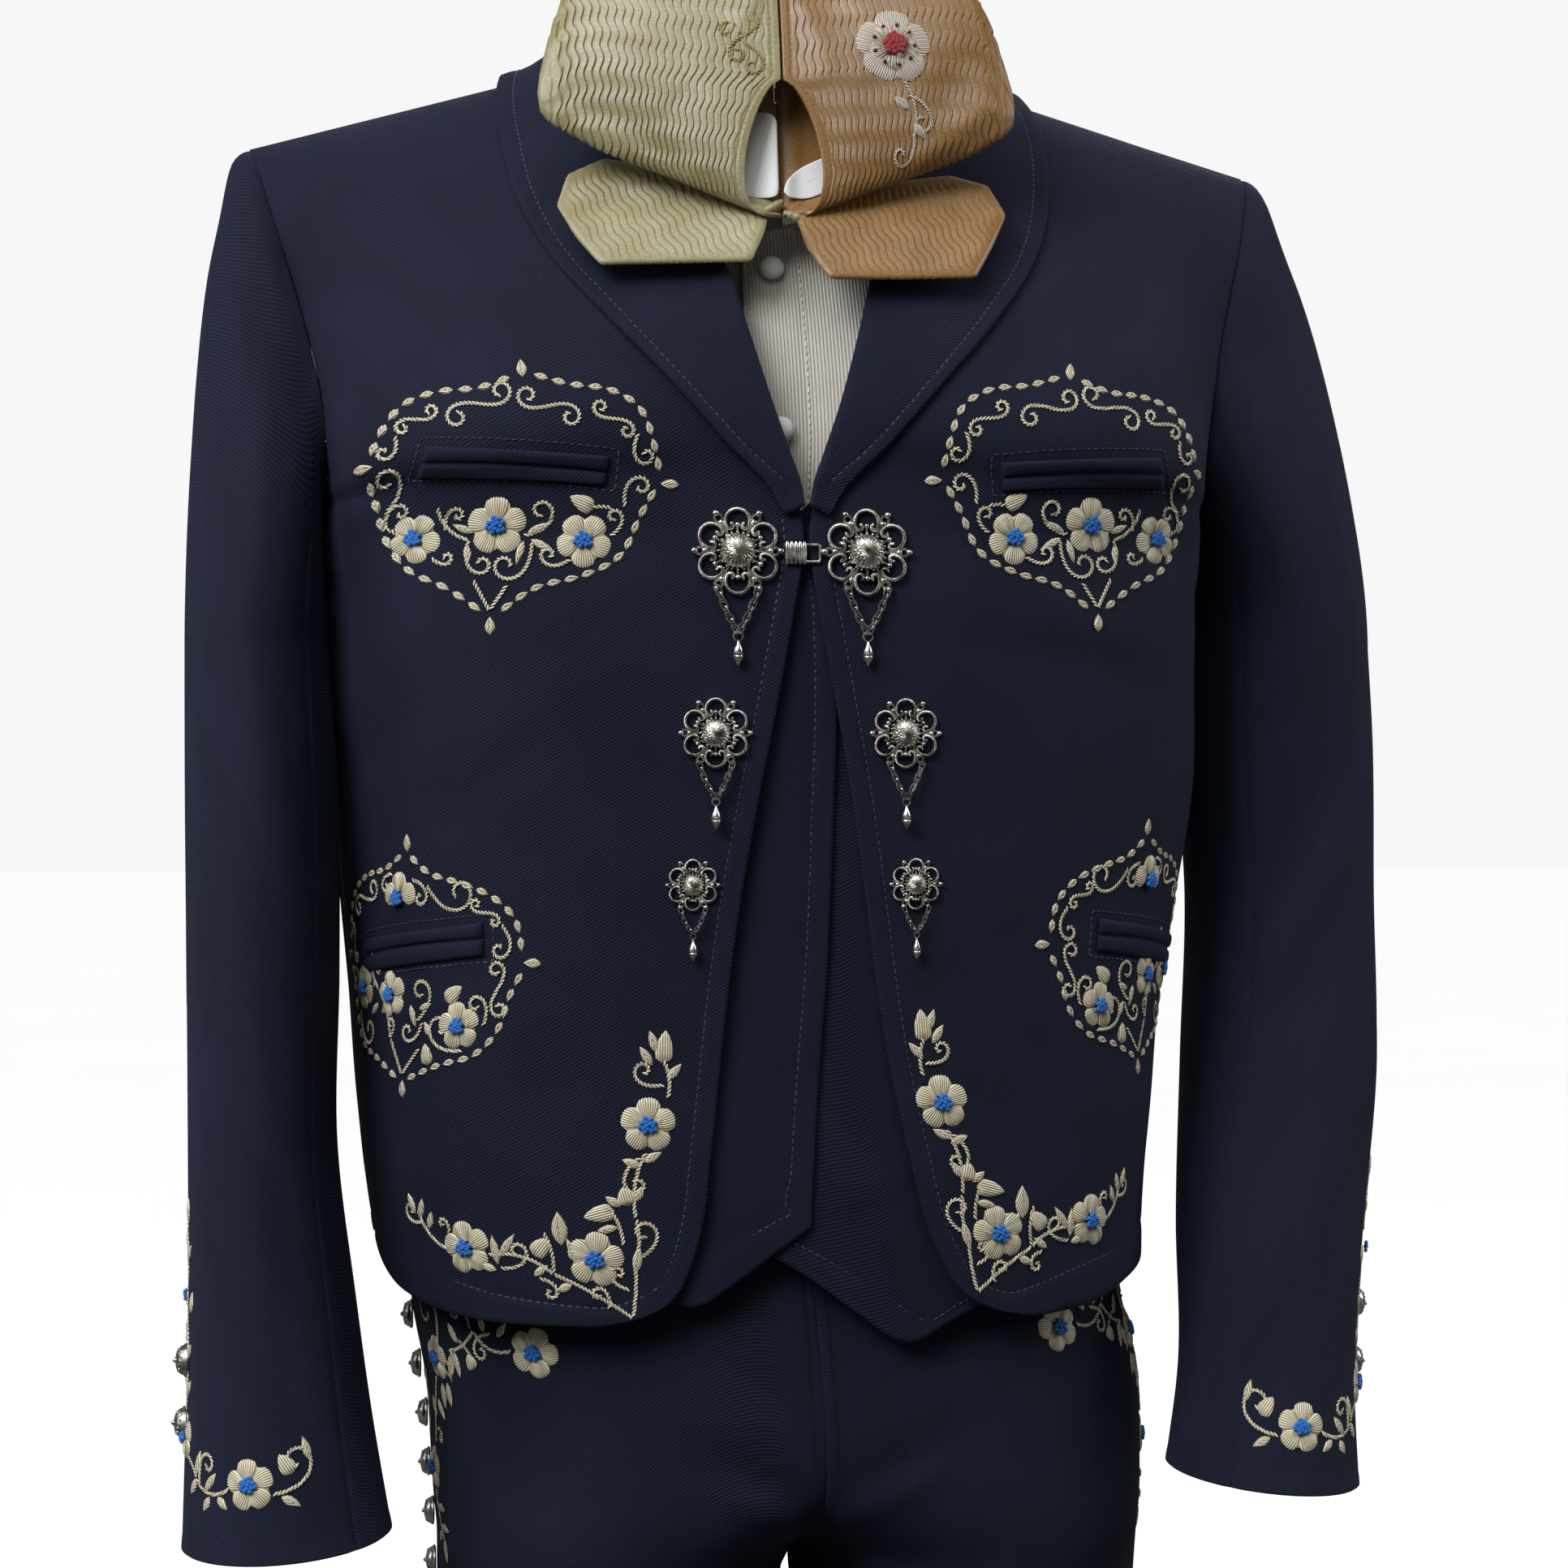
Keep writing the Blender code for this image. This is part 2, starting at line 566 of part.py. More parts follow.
def waistcoat():
    for name, side in SIDES.items():
        share = spaced(9)
        girth = share * 260
        hem = WAISTCOAT_HEM[name](girth)[:, 0]
        low_rows = [ARMPIT_Z + down * (hem - ARMPIT_Z) for down in (1, 0.9, 0.7, 0.45, 0.2, 0)]
        high_rows = [np.full(9, ARMPIT_Z * (1 - up)) for up in UPPER_ROWS]
        height = np.array(low_rows + high_rows)
        start = across_at(WAISTCOAT_EDGE[name](height[:, :1])[..., 0], height[:, :1])
        end = np.minimum(WAISTCOAT_ARM(height[:, :1])[..., 0], 1)
        across = start + (end - start) * share[None, :]
        outer, normal = body_layer(across, height, 1, WAISTCOAT_LIFT[name] + 0 * across)
        outer = seam_gap(outer, across, height, 1)
        wall(f"waistcoat_front_{name}", outer, normal, WAISTCOAT_WALL, NAVY_CLOTH, side)
    heights = [ARMPIT_Z + down * (WAISTCOAT_BACK_HEM - ARMPIT_Z) for down in (1, 0.75, 0.5, 0.25, 0)]
    heights += [ARMPIT_Z * (1 - up) for up in BACK_UPPER_ROWS]
    reach = np.minimum(WAISTCOAT_ARM(np.array(heights)), 1)
    back("waistcoat_back", heights, 7, 0.2, lambda a, h: body_layer(a, h, -1, WAISTCOAT_BACK_LIFT + 0 * a),
         reach, WAISTCOAT_WALL, NAVY_CLOTH)


SHIRT_WALL = 1.0
SHIRT_LIFT, SHIRT_NECK_LIFT = -12.3, -10.4
TUCK_TOP_Z, TUCK_Z = -295, -352  # between these heights the shirt draws in to fit inside the trousers
TUCK_INSET = 9.0
PLACKET_X = {"left": -22, "right": 2}
PLACKET_TOP_Z = -80
PLACKET_STEP = {"left": 1.6, "right": -2.4}


def shirt_layer(across, height, face, step):
    """The shirt lies inside the waistcoat, and below the waist inside the trousers."""
    lift = np.interp(height, (-90, -40), (SHIRT_LIFT, SHIRT_NECK_LIFT)) + step
    high, normal = body_layer(across, height, face, lift)
    angle = across * math.pi / 2 if face > 0 else math.pi - across * math.pi / 2
    width, _, _, front, back, roundness = np.moveaxis(TROUSERS(height), -1, 0)
    depth = (front if face > 0 else back) - TUCK_INSET + step
    width = width - TUCK_INSET
    across_part = np.abs(np.sin(angle) / width) ** roundness
    along_part = np.abs(np.cos(angle) / depth) ** roundness
    radius = (across_part + along_part) ** (-1 / roundness)
    low = np.stack([radius * np.sin(angle), -radius * np.cos(angle), height], -1)
    share = np.clip((TUCK_TOP_Z - height) / (TUCK_TOP_Z - TUCK_Z), 0, 1)[..., None]
    return high * (1 - share) + low * share, normal


def shirt():
    low_rows = [-480, WAIST_Z, TUCK_Z, TUCK_TOP_Z, -250, ARMPIT_Z]
    rows = low_rows + [ARMPIT_Z * (1 - up) for up in UPPER_ROWS]
    for name, side in SIDES.items():
        share = np.array([0, 0.1, 0.22, 0.4, 0.58, 0.74, 0.88, 1])
        height = np.repeat(np.array(rows, float)[:, None], 8, 1)
        start = across_at(PLACKET_X[name], height[:, :1])
        start = np.where(height[:, :1] < PLACKET_TOP_Z, start, 0.02)
        across = start + (1 - start) * share[None, :]
        step = PLACKET_STEP[name] * np.clip(2 - 3 * share, 0, 1)[None, :]
        outer, normal = shirt_layer(across, height, 1, step + 0 * across)
        outer = seam_gap(outer, across, height, 1)
        wall(f"shirt_front_{name}", outer, normal, SHIRT_WALL, WHITE_CLOTH, side)
    back_rows = low_rows + [ARMPIT_Z * (1 - up) for up in BACK_UPPER_ROWS]

    def layer(across, height):
        return shirt_layer(across, height, -1, 0 * across)

    back("shirt_back", back_rows, 7, 0.12, layer, 1, SHIRT_WALL, WHITE_CLOTH)
    for name, side in SIDES.items():
        over, under = np.linspace(BACK_SEAM - 1, FRONT_SEAM, 9), np.linspace(FRONT_SEAM, BACK_SEAM, 6)
        turn = np.concatenate([over, under[1:-1]])
        turn, length = np.meshgrid(turn, np.array([0.2, 0.27, 0.35, 0.48, 0.61, 0.74, 0.87]))
        facing = normals_of(lambda a, b: sleeve(a, b, name), turn, length, 0.004, 0.004)
        outer = sleeve(turn, length, name) - facing * SLEEVE_INSET
        wall(f"shirt_sleeve_{name}", outer, facing, SHIRT_WALL, WHITE_CLOTH, side, closed=True,
             swayed=False)


# angle round the neck from the front, height of the neck seam
NECK_Z = Spline([(0, -62), (40, -44), (90, -11), (130, -6), (180, -5)])
NECK_WIDTH, NECK_FRONT, NECK_BACK, NECK_CENTRE_Y = 54, 62, 54, -10


def neck_point(angle, rise, out):
    """Round the neck: angle from the front in degrees, height above the seam, distance outward."""
    radians = math.radians(angle)
    depth = NECK_FRONT if abs(angle) < 90 else NECK_BACK
    lean = 1 - 0.0012 * rise
    x = (NECK_WIDTH * lean + out) * math.sin(radians)
    y = NECK_CENTRE_Y - (depth * lean + out) * math.cos(radians)
    return x, y, NECK_Z(np.array([float(abs(angle))]))[0, 0] + rise


def shirt_collar():
    """A turn-down collar: the stand rises from the neck seam, folds over and falls to its points."""
    angles = np.linspace(4, 356, 17)
    grid = []
    for angle in angles:
        signed = angle if angle <= 180 else angle - 360
        point_drop = 8 * math.exp(-((abs(signed) - 4) / 22) ** 2)
        section = [(1, -2.2), (20, -2.4), (37, -1.8), (41, 0.4), (38, 2.8), (9 - point_drop, 6)]
        grid.append([neck_point(signed, rise, out) for rise, out in section])
    outer = np.array(grid)
    normal = grid_normals(outer)
    normal = normal * np.sign(normal[8, 0] @ np.array([0, -1, 0]))
    wall("shirt_collar", outer, normal, SHIRT_WALL, WHITE_CLOTH, swayed=False)


def shirt_buttons():
    for index, (x, z, stem) in enumerate(((-10.2, -106.5, 0.0), (-7.6, -177.5, 0.9))):
        across, height = locate(np.array(-x), np.array(z))
        point, normal = body_layer(across, height, 1, SHIRT_LIFT + PLACKET_STEP["left"])
        place = frame_matrix(point * (-1, 1, 1), normal * (-1, 1, 1))
        profile = [(0, stem), (4.2, stem), (5.4, 2.4), (3.9, 4.9), (0, 6)]
        turned(f"shirt_button_{index + 1}", profile, 10, place, WHITE_CLOTH)


# ---------------------------------------------------------------- trousers

TROUSER_WALL = 2.0
WAIST_Z, HEM_Z = -404, -1420
LEG_ROWS = 6  # rows below the crotch, where each leg is a tube of its own
TROUSER_ROWS = [HEM_Z, -1150, -900, -760, -690, -655, -645, -632, -615, -590, -550, -480, WAIST_Z]
# height, half width, leg centre x, inner edge x, front depth, back depth, roundness of the section
TROUSERS = Spline([
    (-1420, 147, 94, 41, 64, 66, 2), (-1250, 146, 92, 38, 62, 66, 2), (-1100, 147, 91, 34, 64, 70, 2),
    (-950, 150, 89, 27, 70, 72, 2), (-800, 153, 84, 14, 84, 88, 2), (-700, 156, 81, 5, 95, 102, 2.1),
    (-655, 157, 79, 0.6, 101, 112, 2.15), (-645, 157, 76, 0.2, 103, 114, 2.2),
    (-632, 158, 62, 0.15, 106, 116, 2.25), (-615, 158.5, 38, 0.15, 109, 117, 2.3),
    (-590, 159, 12, 0.15, 112, 117, 2.4), (-560, 159, 0, 0.15, 113, 115, 2.5),
    (-530, 157, 0, 0.15, 113, 111, 2.6), (-480, 157, 0, 0.15, 113, 100, 2.6),
    (-440, 160, 0, 0.15, 113, 88, 2.6), (-360, 161, 0, 0.15, 113, 86, 2.6),
])


def trouser(share, z, face):
    """Trouser surface on one side: share 0 at the centre or inside leg, 1 at the outer seam."""
    outer, centre, inner, front, back, roundness = np.moveaxis(TROUSERS(z), -1, 0)
    x = inner + (outer - inner) * (0.4 * share + 0.3 * (1 - np.cos(math.pi * share)))
    off_centre = np.minimum(np.abs(x - centre) / (outer - centre), 1)
    depth = front if face > 0 else back
    y = -face * depth * (1 - off_centre**roundness) ** (1 / roundness)
    return np.stack([x, y, z + 0 * share], -1)


def waist_ring(angle, z):
    width, _, _, front, back, roundness = np.moveaxis(TROUSERS(z), -1, 0)
    depth = np.where(np.cos(angle) > 0, front, back)
    across, along = np.sin(angle), np.cos(angle)
    x = width * np.sign(across) * np.abs(across) ** (2 / roundness)
    y = -depth * np.sign(along) * np.abs(along) ** (2 / roundness)
    return np.stack([x, y, z + 0 * angle], -1)


def side_seam(z, side):
    """x of the outer seam, between the rows that the cloth is made from."""
    rows = np.array(TROUSER_ROWS, float)
    x = side * TROUSERS(rows)[:, 0]
    return float(np.interp(z, rows, x + sway(x, rows)))


def trousers():
    for name, side in SIDES.items():
        for face, part in ((1, "front"), (-1, "back")):
            share, height = np.meshgrid(spaced(7), np.array(TROUSER_ROWS, float))
            outer = trouser(share, height, face)
            normal = normals_of(lambda s, h: trouser(s, h, face), share, height, 0.01, 3.0) * face
            normal[:, -1] = (1, 0, 0)
            normal[:LEG_ROWS, 0] = (-1, 0, 0)
            gap = SEAM / 2 * face
            outer[:, -1, 1] -= gap
            outer[:LEG_ROWS, 0, 1] -= gap
            wall(f"trouser_{part}_{name}", outer, normal, TROUSER_WALL, NAVY_CLOTH, side)
    angle = np.linspace(0, 2 * math.pi, 25)[None, :-1]
    height = np.array([WAIST_Z + SEAM, WAIST_Z + 38])[:, None]
    angle, height = np.broadcast_arrays(angle, height)
    outer = waist_ring(angle, height)
    along = waist_ring(angle + 0.01, height) - waist_ring(angle - 0.01, height)
    normal = unit(np.stack([-along[..., 1], along[..., 0], 0 * angle], -1))
    normal = normal * np.sign(np.sum(normal * outer * (1, 1, 0), -1, keepdims=True))
    wall("waistband", outer, normal, TROUSER_WALL + 1, NAVY_CLOTH, closed=True)


SIDE_BUTTON_PITCH = 21.5
SIDE_BUTTON_RADIUS = 6.4
SIDE_BUTTON_HEIGHT = 5.2
SIDE_BUTTON_RINGS = ((0.4, 1), (3.6, 0.75))  # distance off the seam, share of the radius
FIRST_SIDE_BUTTON_Z = -553


def side_button_rows():
    """Domed buttons down the outer seam, one after another on a narrow tape: one solid a leg."""
    count = int((FIRST_SIDE_BUTTON_Z - HEM_Z - 8) / SIDE_BUTTON_PITCH) + 1
    radius, flat = SIDE_BUTTON_RADIUS, SIDE_BUTTON_RADIUS / 2
    corners = [(flat, 1), (radius, 0), (flat, -1), (-flat, -1), (-radius, 0), (-flat, 1)]
    for name, side in SIDES.items():
        points, faces = [], []
        for k in range(count):
            middle = FIRST_SIDE_BUTTON_Z - k * SIDE_BUTTON_PITCH
            base = len(points)
            for lift, size in SIDE_BUTTON_RINGS:
                for y, row in corners:
                    z = middle + row * radius * math.sin(math.pi / 3) * size
                    points.append((side_seam(z, side) + side * lift, y * size, z))
            points.append((side_seam(middle, side) + side * SIDE_BUTTON_HEIGHT, 0, middle))
            faces.append([base + c for c in range(6)])
            for c in range(6):
                n = (c + 1) % 6
                joined = (c == 5 and k > 0) or (c == 2 and k < count - 1)
                if not joined:
                    faces.append((base + c, base + n, base + 6 + n, base + 6 + c))
                faces.append((base + 6 + c, base + 6 + n, base + 12))
            if k > 0:
                # a four-sided tunnel joins this button's upper edge to the last one's lower edge
                last = base - 13
                ends = [(last + above, base + below) for above, below in ((2, 0), (3, 5), (9, 11), (8, 6))]
                for i in range(4):
                    a, b = ends[i], ends[(i + 1) % 4]
                    faces.append((a[0], a[1], b[1], b[0]))
        add_object(f"side_buttons_{name}", points, faces, SILVER_METAL)


# ---------------------------------------------------------------- pockets, buttons and silver

# pocket: centre x, centre z, length, height, drop of the inner end
POCKETS = {"chest": (118, -195, 80, 12.5, 5.0), "hip": (157, -389, 72, 13.5, -9.0)}
POCKET_LIFT = 0.7


def surface_grid(x, z, along, up, lift, side):
    """Points and normals about a place on the jacket front, at distances along and up the cloth."""
    across, height = locate(np.array(float(x)), np.array(float(z)))
    step = body(across + 0.01, height, 1) - body(across - 0.01, height, 1)
    rise = body(across, height + 2, 1) - body(across, height - 2, 1)
    per_across = np.linalg.norm(step) / 0.02
    per_height = np.linalg.norm(rise) / 4
    tilt = step[2] / 0.02 / per_across
    shares = across + along / per_across
    heights = height + (up - along * tilt) / per_height
    points, normals = body_layer(shares, heights, 1, lift)
    turn = np.array([side, 1, 1])
    return points * turn, normals * turn


def pockets():
    """Each jetted pocket shows two welts with a slit between them."""
    for name, side in SIDES.items():
        for place, (x, z, length, height, drop) in POCKETS.items():
            across = np.array([0, 0.08, 0.42, 0.46, 0.54, 0.58, 0.92, 1]) - 0.5
            lifts = np.array([1.2, 1.8, 1.8, 0.9, 0.9, 1.8, 1.8, 1.2])
            along = np.linspace(-length / 2, length / 2, 5)
            up, run = np.meshgrid(across * height, along)
            up = up + run / length * drop
            lift = POCKET_LIFT + np.repeat(lifts[None, :], len(along), 0)
            outer, normal = surface_grid(x, z, run, up, lift, side)
            base, _ = surface_grid(x, z, run, up, POCKET_LIFT + 0 * lift, side)
            depth = np.einsum("ijk,ijk->ij", outer - base, normal)[..., None]
            wall(f"pocket_{place}_{name}", outer, normal, depth, NAVY_CLOTH)


# pair: centre x on the wearer's right, on the left, centre z, radius, drop's length, gap behind the drop
BROOCHES = (
    (28.4, 24.2, -228.7, 18.3, 10.0, 1.3), (37.2, 40.2, -301.5, 14.6, 9.4, 0.4),
    (46, 45, -362.5, 10.8, 8.0, 0.4),
)
BROOCH_LIFT = 0.4
LOBES = 6


def front_place(x, z, side, lift):
    """Axes on the jacket front at x and z, lifted off the cloth."""
    across, height = locate(np.array(float(x)), np.array(float(z)))
    point, normal = body_layer(across, height, 1, lift)
    turn = np.array([side, 1, 1])
    return frame_matrix(point * turn, normal * turn)


def lobed(radius, angle):
    """Outline of the rosette: six round lobes, one straight down."""
    return radius * (0.86 + 0.14 * abs(math.cos(LOBES / 2 * (angle + math.pi / 2))) ** 0.7)


def brooches():
    for pair, (right_x, left_x, z, radius, drop, gap) in enumerate(BROOCHES, 1):
        for name, x in (("right", right_x), ("left", left_x)):
            side = SIDES[name]
            place = front_place(x, z, side, BROOCH_LIFT)
            rosette(f"rosette_{pair}_{name}", place, radius)
            pendant(f"pendant_{pair}_{name}", place, radius, drop, gap)


def rosette(name, place, radius):
    """The openwork disc's solid form: a lobed plate that rises to a granulated dome."""
    count = 24
    layers = ((0, 1.0), (2.2, 1.0), (1.9, 0.8), (3.0, 0.42), (5.4, 0.24))
    points = [(0, 0, 0)]
    for height, size in layers:
        for k in range(count):
            angle = 2 * math.pi * k / count
            reach = lobed(radius, angle) * size if size > 0.5 else radius * size
            points.append((reach * math.cos(angle), reach * math.sin(angle), height * radius / 18.3))
    points.append((0, 0, 6.4 * radius / 18.3))
    faces = []
    for k in range(count):
        n = (k + 1) % count
        faces.append((0, 1 + n, 1 + k))
        for i in range(len(layers) - 1):
            a, b = 1 + i * count, 1 + (i + 1) * count
            faces.append((a + k, a + n, b + n, b + k))
        top = 1 + (len(layers) - 1) * count
        faces.append((top + k, top + n, len(points) - 1))
    add_object(name, [place @ Vector(point) for point in points], faces, SILVER_METAL)


CHAIN_RADIUS = 0.9
CHAIN_FALL = 1.86  # how far below the rosette's middle the chains meet, in its radii
DROP_WAIST = 0.23  # the drop's half width, in its lengths
RING_DROP = 2.2  # from where the chains meet down to the drop
HANG_ANGLE = math.radians(30)  # from straight down to the valleys between lobes


def hang_points(radius):
    """Chain ends beside the rosette's rim, in the rosette's own axes."""
    reach = lobed(radius, -math.pi / 2 + HANG_ANGLE) + CHAIN_RADIUS + 0.45
    x, y = reach * math.sin(HANG_ANGLE), -reach * math.cos(HANG_ANGLE)
    return (-x, y), (x, y)


def pendant(name, place, radius, drop, gap):
    """Two lengths of chain that meet at a ring, and the pointed drop under it: one stiff swinging piece."""
    (left_x, y), (right_x, _) = hang_points(radius)
    centre = place.translation
    waist = DROP_WAIST * drop
    down = Matrix.Translation(centre + place.to_3x3() @ Vector((0, 0, waist + gap)))
    turn = Vector((0, 0, 1)).cross(place.to_3x3() @ Vector((0, 0, 1))).normalized()
    level = Matrix((turn, Vector((0, 0, 1)), turn.cross(Vector((0, 0, 1))))).transposed().to_4x4()
    hang = down @ level
    low = -CHAIN_FALL * radius
    path = [(left_x, y), (left_x * 0.5, (y + low) / 2 - 1), (0, low), (right_x * 0.5, (y + low) / 2 - 1)]
    path.append((right_x, y))
    points, faces = [], []
    for i, (x, z) in enumerate(path):
        before, after = path[max(i - 1, 0)], path[min(i + 1, len(path) - 1)]
        run = Vector((after[0] - before[0], after[1] - before[1])).normalized()
        wide = CHAIN_RADIUS / max(abs(run.x), 0.5) if i == 2 else CHAIN_RADIUS
        for a in (-1, 1):
            for b in (-1, 1):
                points.append((x - run.y * wide * a, z + run.x * wide * a, b * CHAIN_RADIUS * a))
    for i in range(len(path) - 1):
        for k in range(4):
            a, b = i * 4 + k, i * 4 + (k + 1) % 4
            faces.append((a, b, b + 4, a + 4))
    faces.append((0, 1, 2, 3))
    faces.append([len(points) - 4 + k for k in range(4)])
    chain = add_object(name, [hang @ Vector(point) for point in points], faces, SILVER_METAL)
    top = low + 0.4
    bottom = low - RING_DROP - drop
    upright = Matrix(((1, 0, 0, 0), (0, 0, 1, 0), (0, -1, 0, 0), (0, 0, 0, 1)))
    profile = [(0, bottom), (0.5, bottom + 0.6)]
    profile += [(waist, bottom + drop * 0.38), (waist * 0.7, bottom + drop * 0.75)]
    profile += [(0.7, top - 2.4), (0.6, top - 0.2), (0, top)]
    place_drop = hang @ upright
    tool = turned(name + "_drop", profile, 8, place_drop, SILVER_METAL)
    union(chain, tool)


# near and far corners of the clasp's bar, loop and the loop's hole, y counted from its seat on the cloth
CLASP_BAR = ((-9.2, -2.8, -234), (-0.8, 0, -224.4))
CLASP_LOOP = ((-1.4, -1.9, -233.4), (5.6, -0.7, -225))
CLASP_HOLE = ((0.4, -4, -231.8), (4.2, 2, -226.6))
CLASP_SEAT = 0.5


def hook_clasp():
    """The hook clasp between the top rosettes: a ribbed bar on one side and an open loop on the other."""
    right = front_place(3, -228.7, -1, 0)
    y = right.translation.y - CLASP_SEAT
    bar = box("hook_clasp", CLASP_BAR, y)
    loop = box("loop", CLASP_LOOP, y)
    hole = box("hole", CLASP_HOLE, y)
    cut = loop.modifiers.new("cut", "BOOLEAN")
    cut.operation = "DIFFERENCE"
    cut.object = hole
    graph = bpy.context.evaluated_depsgraph_get()
    loop.data = bpy.data.meshes.new_from_object(loop.evaluated_get(graph))
    loop.modifiers.clear()
    bpy.data.objects.remove(hole)
    union(bar, loop)


def box(name, corners, seat):
    xs, ys, zs = zip(*corners)
    points = [(x, seat + y, z) for x in xs for y in ys for z in zs]
    faces = [(0, 1, 3, 2), (4, 6, 7, 5), (0, 4, 5, 1), (2, 3, 7, 6), (0, 2, 6, 4), (1, 5, 7, 3)]
    return add_object(name, points, faces, SILVER_METAL)


CUFF_BUTTON_TURN = 0.0255
CUFF_BUTTON_LENGTHS = (0.87, 0.913)
CUFF_BUTTON = ((0, 0.6), (6.8, 0.6), (6.8, 1.7), (4.6, 4.2), (0, 5.8))  # radius, height off the cloth


def cuff_buttons():
    """Two domed buttons by each sleeve's back seam, just above the cuff."""
    for name, side in SIDES.items():
        for index, length in enumerate(CUFF_BUTTON_LENGTHS, 1):
            turn = np.array([CUFF_BUTTON_TURN])
            along = np.array([length])
            facing = normals_of(lambda a, b: sleeve(a, b, name), turn, along, 0.004, 0.004)[0]
            point = sleeve(turn, along, name)[0]
            flip = np.array([side, 1, 1])
            place = frame_matrix(point * flip, facing * flip)
            turned(f"cuff_button_{index}_{name}", CUFF_BUTTON, 12, place, SILVER_METAL)


# ---------------------------------------------------------------- bow tie

BOW_X = -7.5
BOW_Y = -120
BOW_LEAN = 0.2  # how far the wings lean back towards the neck for each step up
WING_FOOT_Z = -91
# distance from the bow's middle, centre z, half height, half depth
WING = Spline([
    (0.8, -35, 56.5, 10.5), (20, -32, 53, 11.5), (40, -29.5, 48.5, 11.5), (60, -27, 44, 10.5),
    (77, -26, 38, 8.5), (88, -29, 29, 6.5), (94.5, -37, 17, 4.5), (98, -42, 8, 3),
])
WING_WALL = 1.5
KNOT_Z = -46
KNOT_LENGTH = 23.4
MOUTH_DEPTH = 16
WING_STATIONS = (0.8, 9, 20, 36, 54, 71, 83, 91, 97)
WING_COLUMNS = 16


def wings():
    """Each wing is a stiffened tube, open as an eye-shaped mouth inside and closed at its far end."""
    for name, side in SIDES.items():
        grid = [wing_section(reach) for reach in WING_STATIONS]
        outer = np.array(grid)
        cap_wing(f"mono_wing_{name}", outer, wrapped_normals(outer), side)


def wing_section(reach):
    """One closed section of a wing. Low on the front its inner end is cut back to form the mouth."""
    middle_z, half_height, half_depth = WING(np.array([float(reach)]))[0]
    row = []
    for k in range(WING_COLUMNS):
        angle = 2 * math.pi * k / WING_COLUMNS
        rise, ahead = math.sin(angle), math.cos(angle)
        z = middle_z + half_height * rise
        y = BOW_Y - half_depth * ahead + BOW_LEAN * (z - WING_FOOT_Z)
        mouth = (max(0, -rise) * max(0, ahead) * 2) ** 0.6
        row.append((reach + MOUTH_DEPTH * mouth * max(0, 1 - reach / 60), y, z))
    return row


def wrapped_normals(points):
    along = np.gradient(points, axis=0)
    around = (np.roll(points, -1, 1) - np.roll(points, 1, 1)) / 2
    normal = unit(np.cross(along, around))
    middle = points.mean(axis=1, keepdims=True)
    sign = np.sign(np.sum(normal * (points - middle)))
    return normal * sign


def cap_wing(name, outer, normals, side):
    """A tube wall open at its first row and closed at its last."""
    rows, columns = outer.shape[:2]
    inner = outer[:-1] - normals[:-1] * WING_WALL
    tip = outer[-1].mean(axis=0) + np.array([1.5, 0, 0])
    inside = inner[-1].mean(axis=0) + np.array([2.0, 0, 0])
    points = np.concatenate([outer.reshape(-1, 3), inner.reshape(-1, 3), [tip], [inside]])
    points[:, 0] = points[:, 0] * side + BOW_X
    size = rows * columns
    faces = []
    for j in range(columns):
        k = (j + 1) % columns
        for i in range(rows - 1):
            faces.append((i * columns + j, i * columns + k, (i + 1) * columns + k, (i + 1) * columns + j))
        for i in range(rows - 2):
            a, b = size + i * columns, size + (i + 1) * columns
            faces.append((b + j, b + k, a + k, a + j))
        faces.append((j, size + j, size + k, k))
        last, low = (rows - 1) * columns, size + (rows - 2) * columns
        faces.append((last + j, last + k, len(points) - 2))
        faces.append((low + k, low + j, len(points) - 1))
    add_object(name, points, faces, GOLD_CLOTH)


def plate(name, outline, y_of, thickness, made_of, offset=0.0):
    """A flat piece of cloth: an outline in x and z, set at a depth given by y_of."""
    count = len(outline)
    centre_x = sum(x for x, _ in outline) / count
    centre_z = sum(z for _, z in outline) / count
    points = []
    for back in (0, thickness):
        for size in (1.0, 0.55):
            for x, z in outline:
                px, pz = centre_x + (x - centre_x) * size, centre_z + (z - centre_z) * size
                points.append((px, y_of(px, pz) + offset + back, pz))
        points.append((centre_x, y_of(centre_x, centre_z) + offset + back, centre_z))
    faces = []
    back = 2 * count + 1
    for k in range(count):
        n = (k + 1) % count
        faces.append((k, n, count + n, count + k))
        faces.append((count + k, count + n, 2 * count))
        faces.append((back + n, back + k, back + count + k, back + count + n))
        faces.append((back + count + n, back + count + k, back + 2 * count))
        faces.append((k, back + k, back + n, n))
    add_object(name, points, faces, made_of)


# tail corners: x, z
TAILS = {
    "right": ((-13, -90), (-16, -99), (-22, -111), (-52, -112), (-82, -113), (-91, -101), (-98, -87),
              (-93, -73), (-78, -65.5), (-44, -71)),
    "left": ((-2, -90.5), (2, -106), (10, -118), (40, -117), (71, -115), (80, -101), (88, -86), (82, -73),
             (66, -69), (32, -75)),
}
TAIL_TOP_Z = -75
TAIL_TOP_Y = -108.0
TAIL_LEFT_FORWARD = 2.0


def tail_y(x, z):
    """The tails hang just in front of the collar and the chest."""
    forward = TAIL_LEFT_FORWARD if x > BOW_X else 0
    return TAIL_TOP_Y - forward + 0.6 * (z - TAIL_TOP_Z) + 0.1 * abs(x - BOW_X)


# distance from the bow's middle, z
STIFFENER = ((2, -44), (16, -40), (32, -46), (30, -74), (12, -80), (2, -80))


def bow_tie():
    wings()
    for name, outline in TAILS.items():
        plate(f"mono_tail_{name}", outline, tail_y, 2.4, GOLD_CLOTH, offset=-2.4)
    for name, side in SIDES.items():
        outline = [(BOW_X + side * reach, z) for reach, z in STIFFENER]
        plate(f"mono_stiffener_{name}", outline, stiffener_y, 0.8, WHITE_CLOTH)
    knot()
    neck_band()


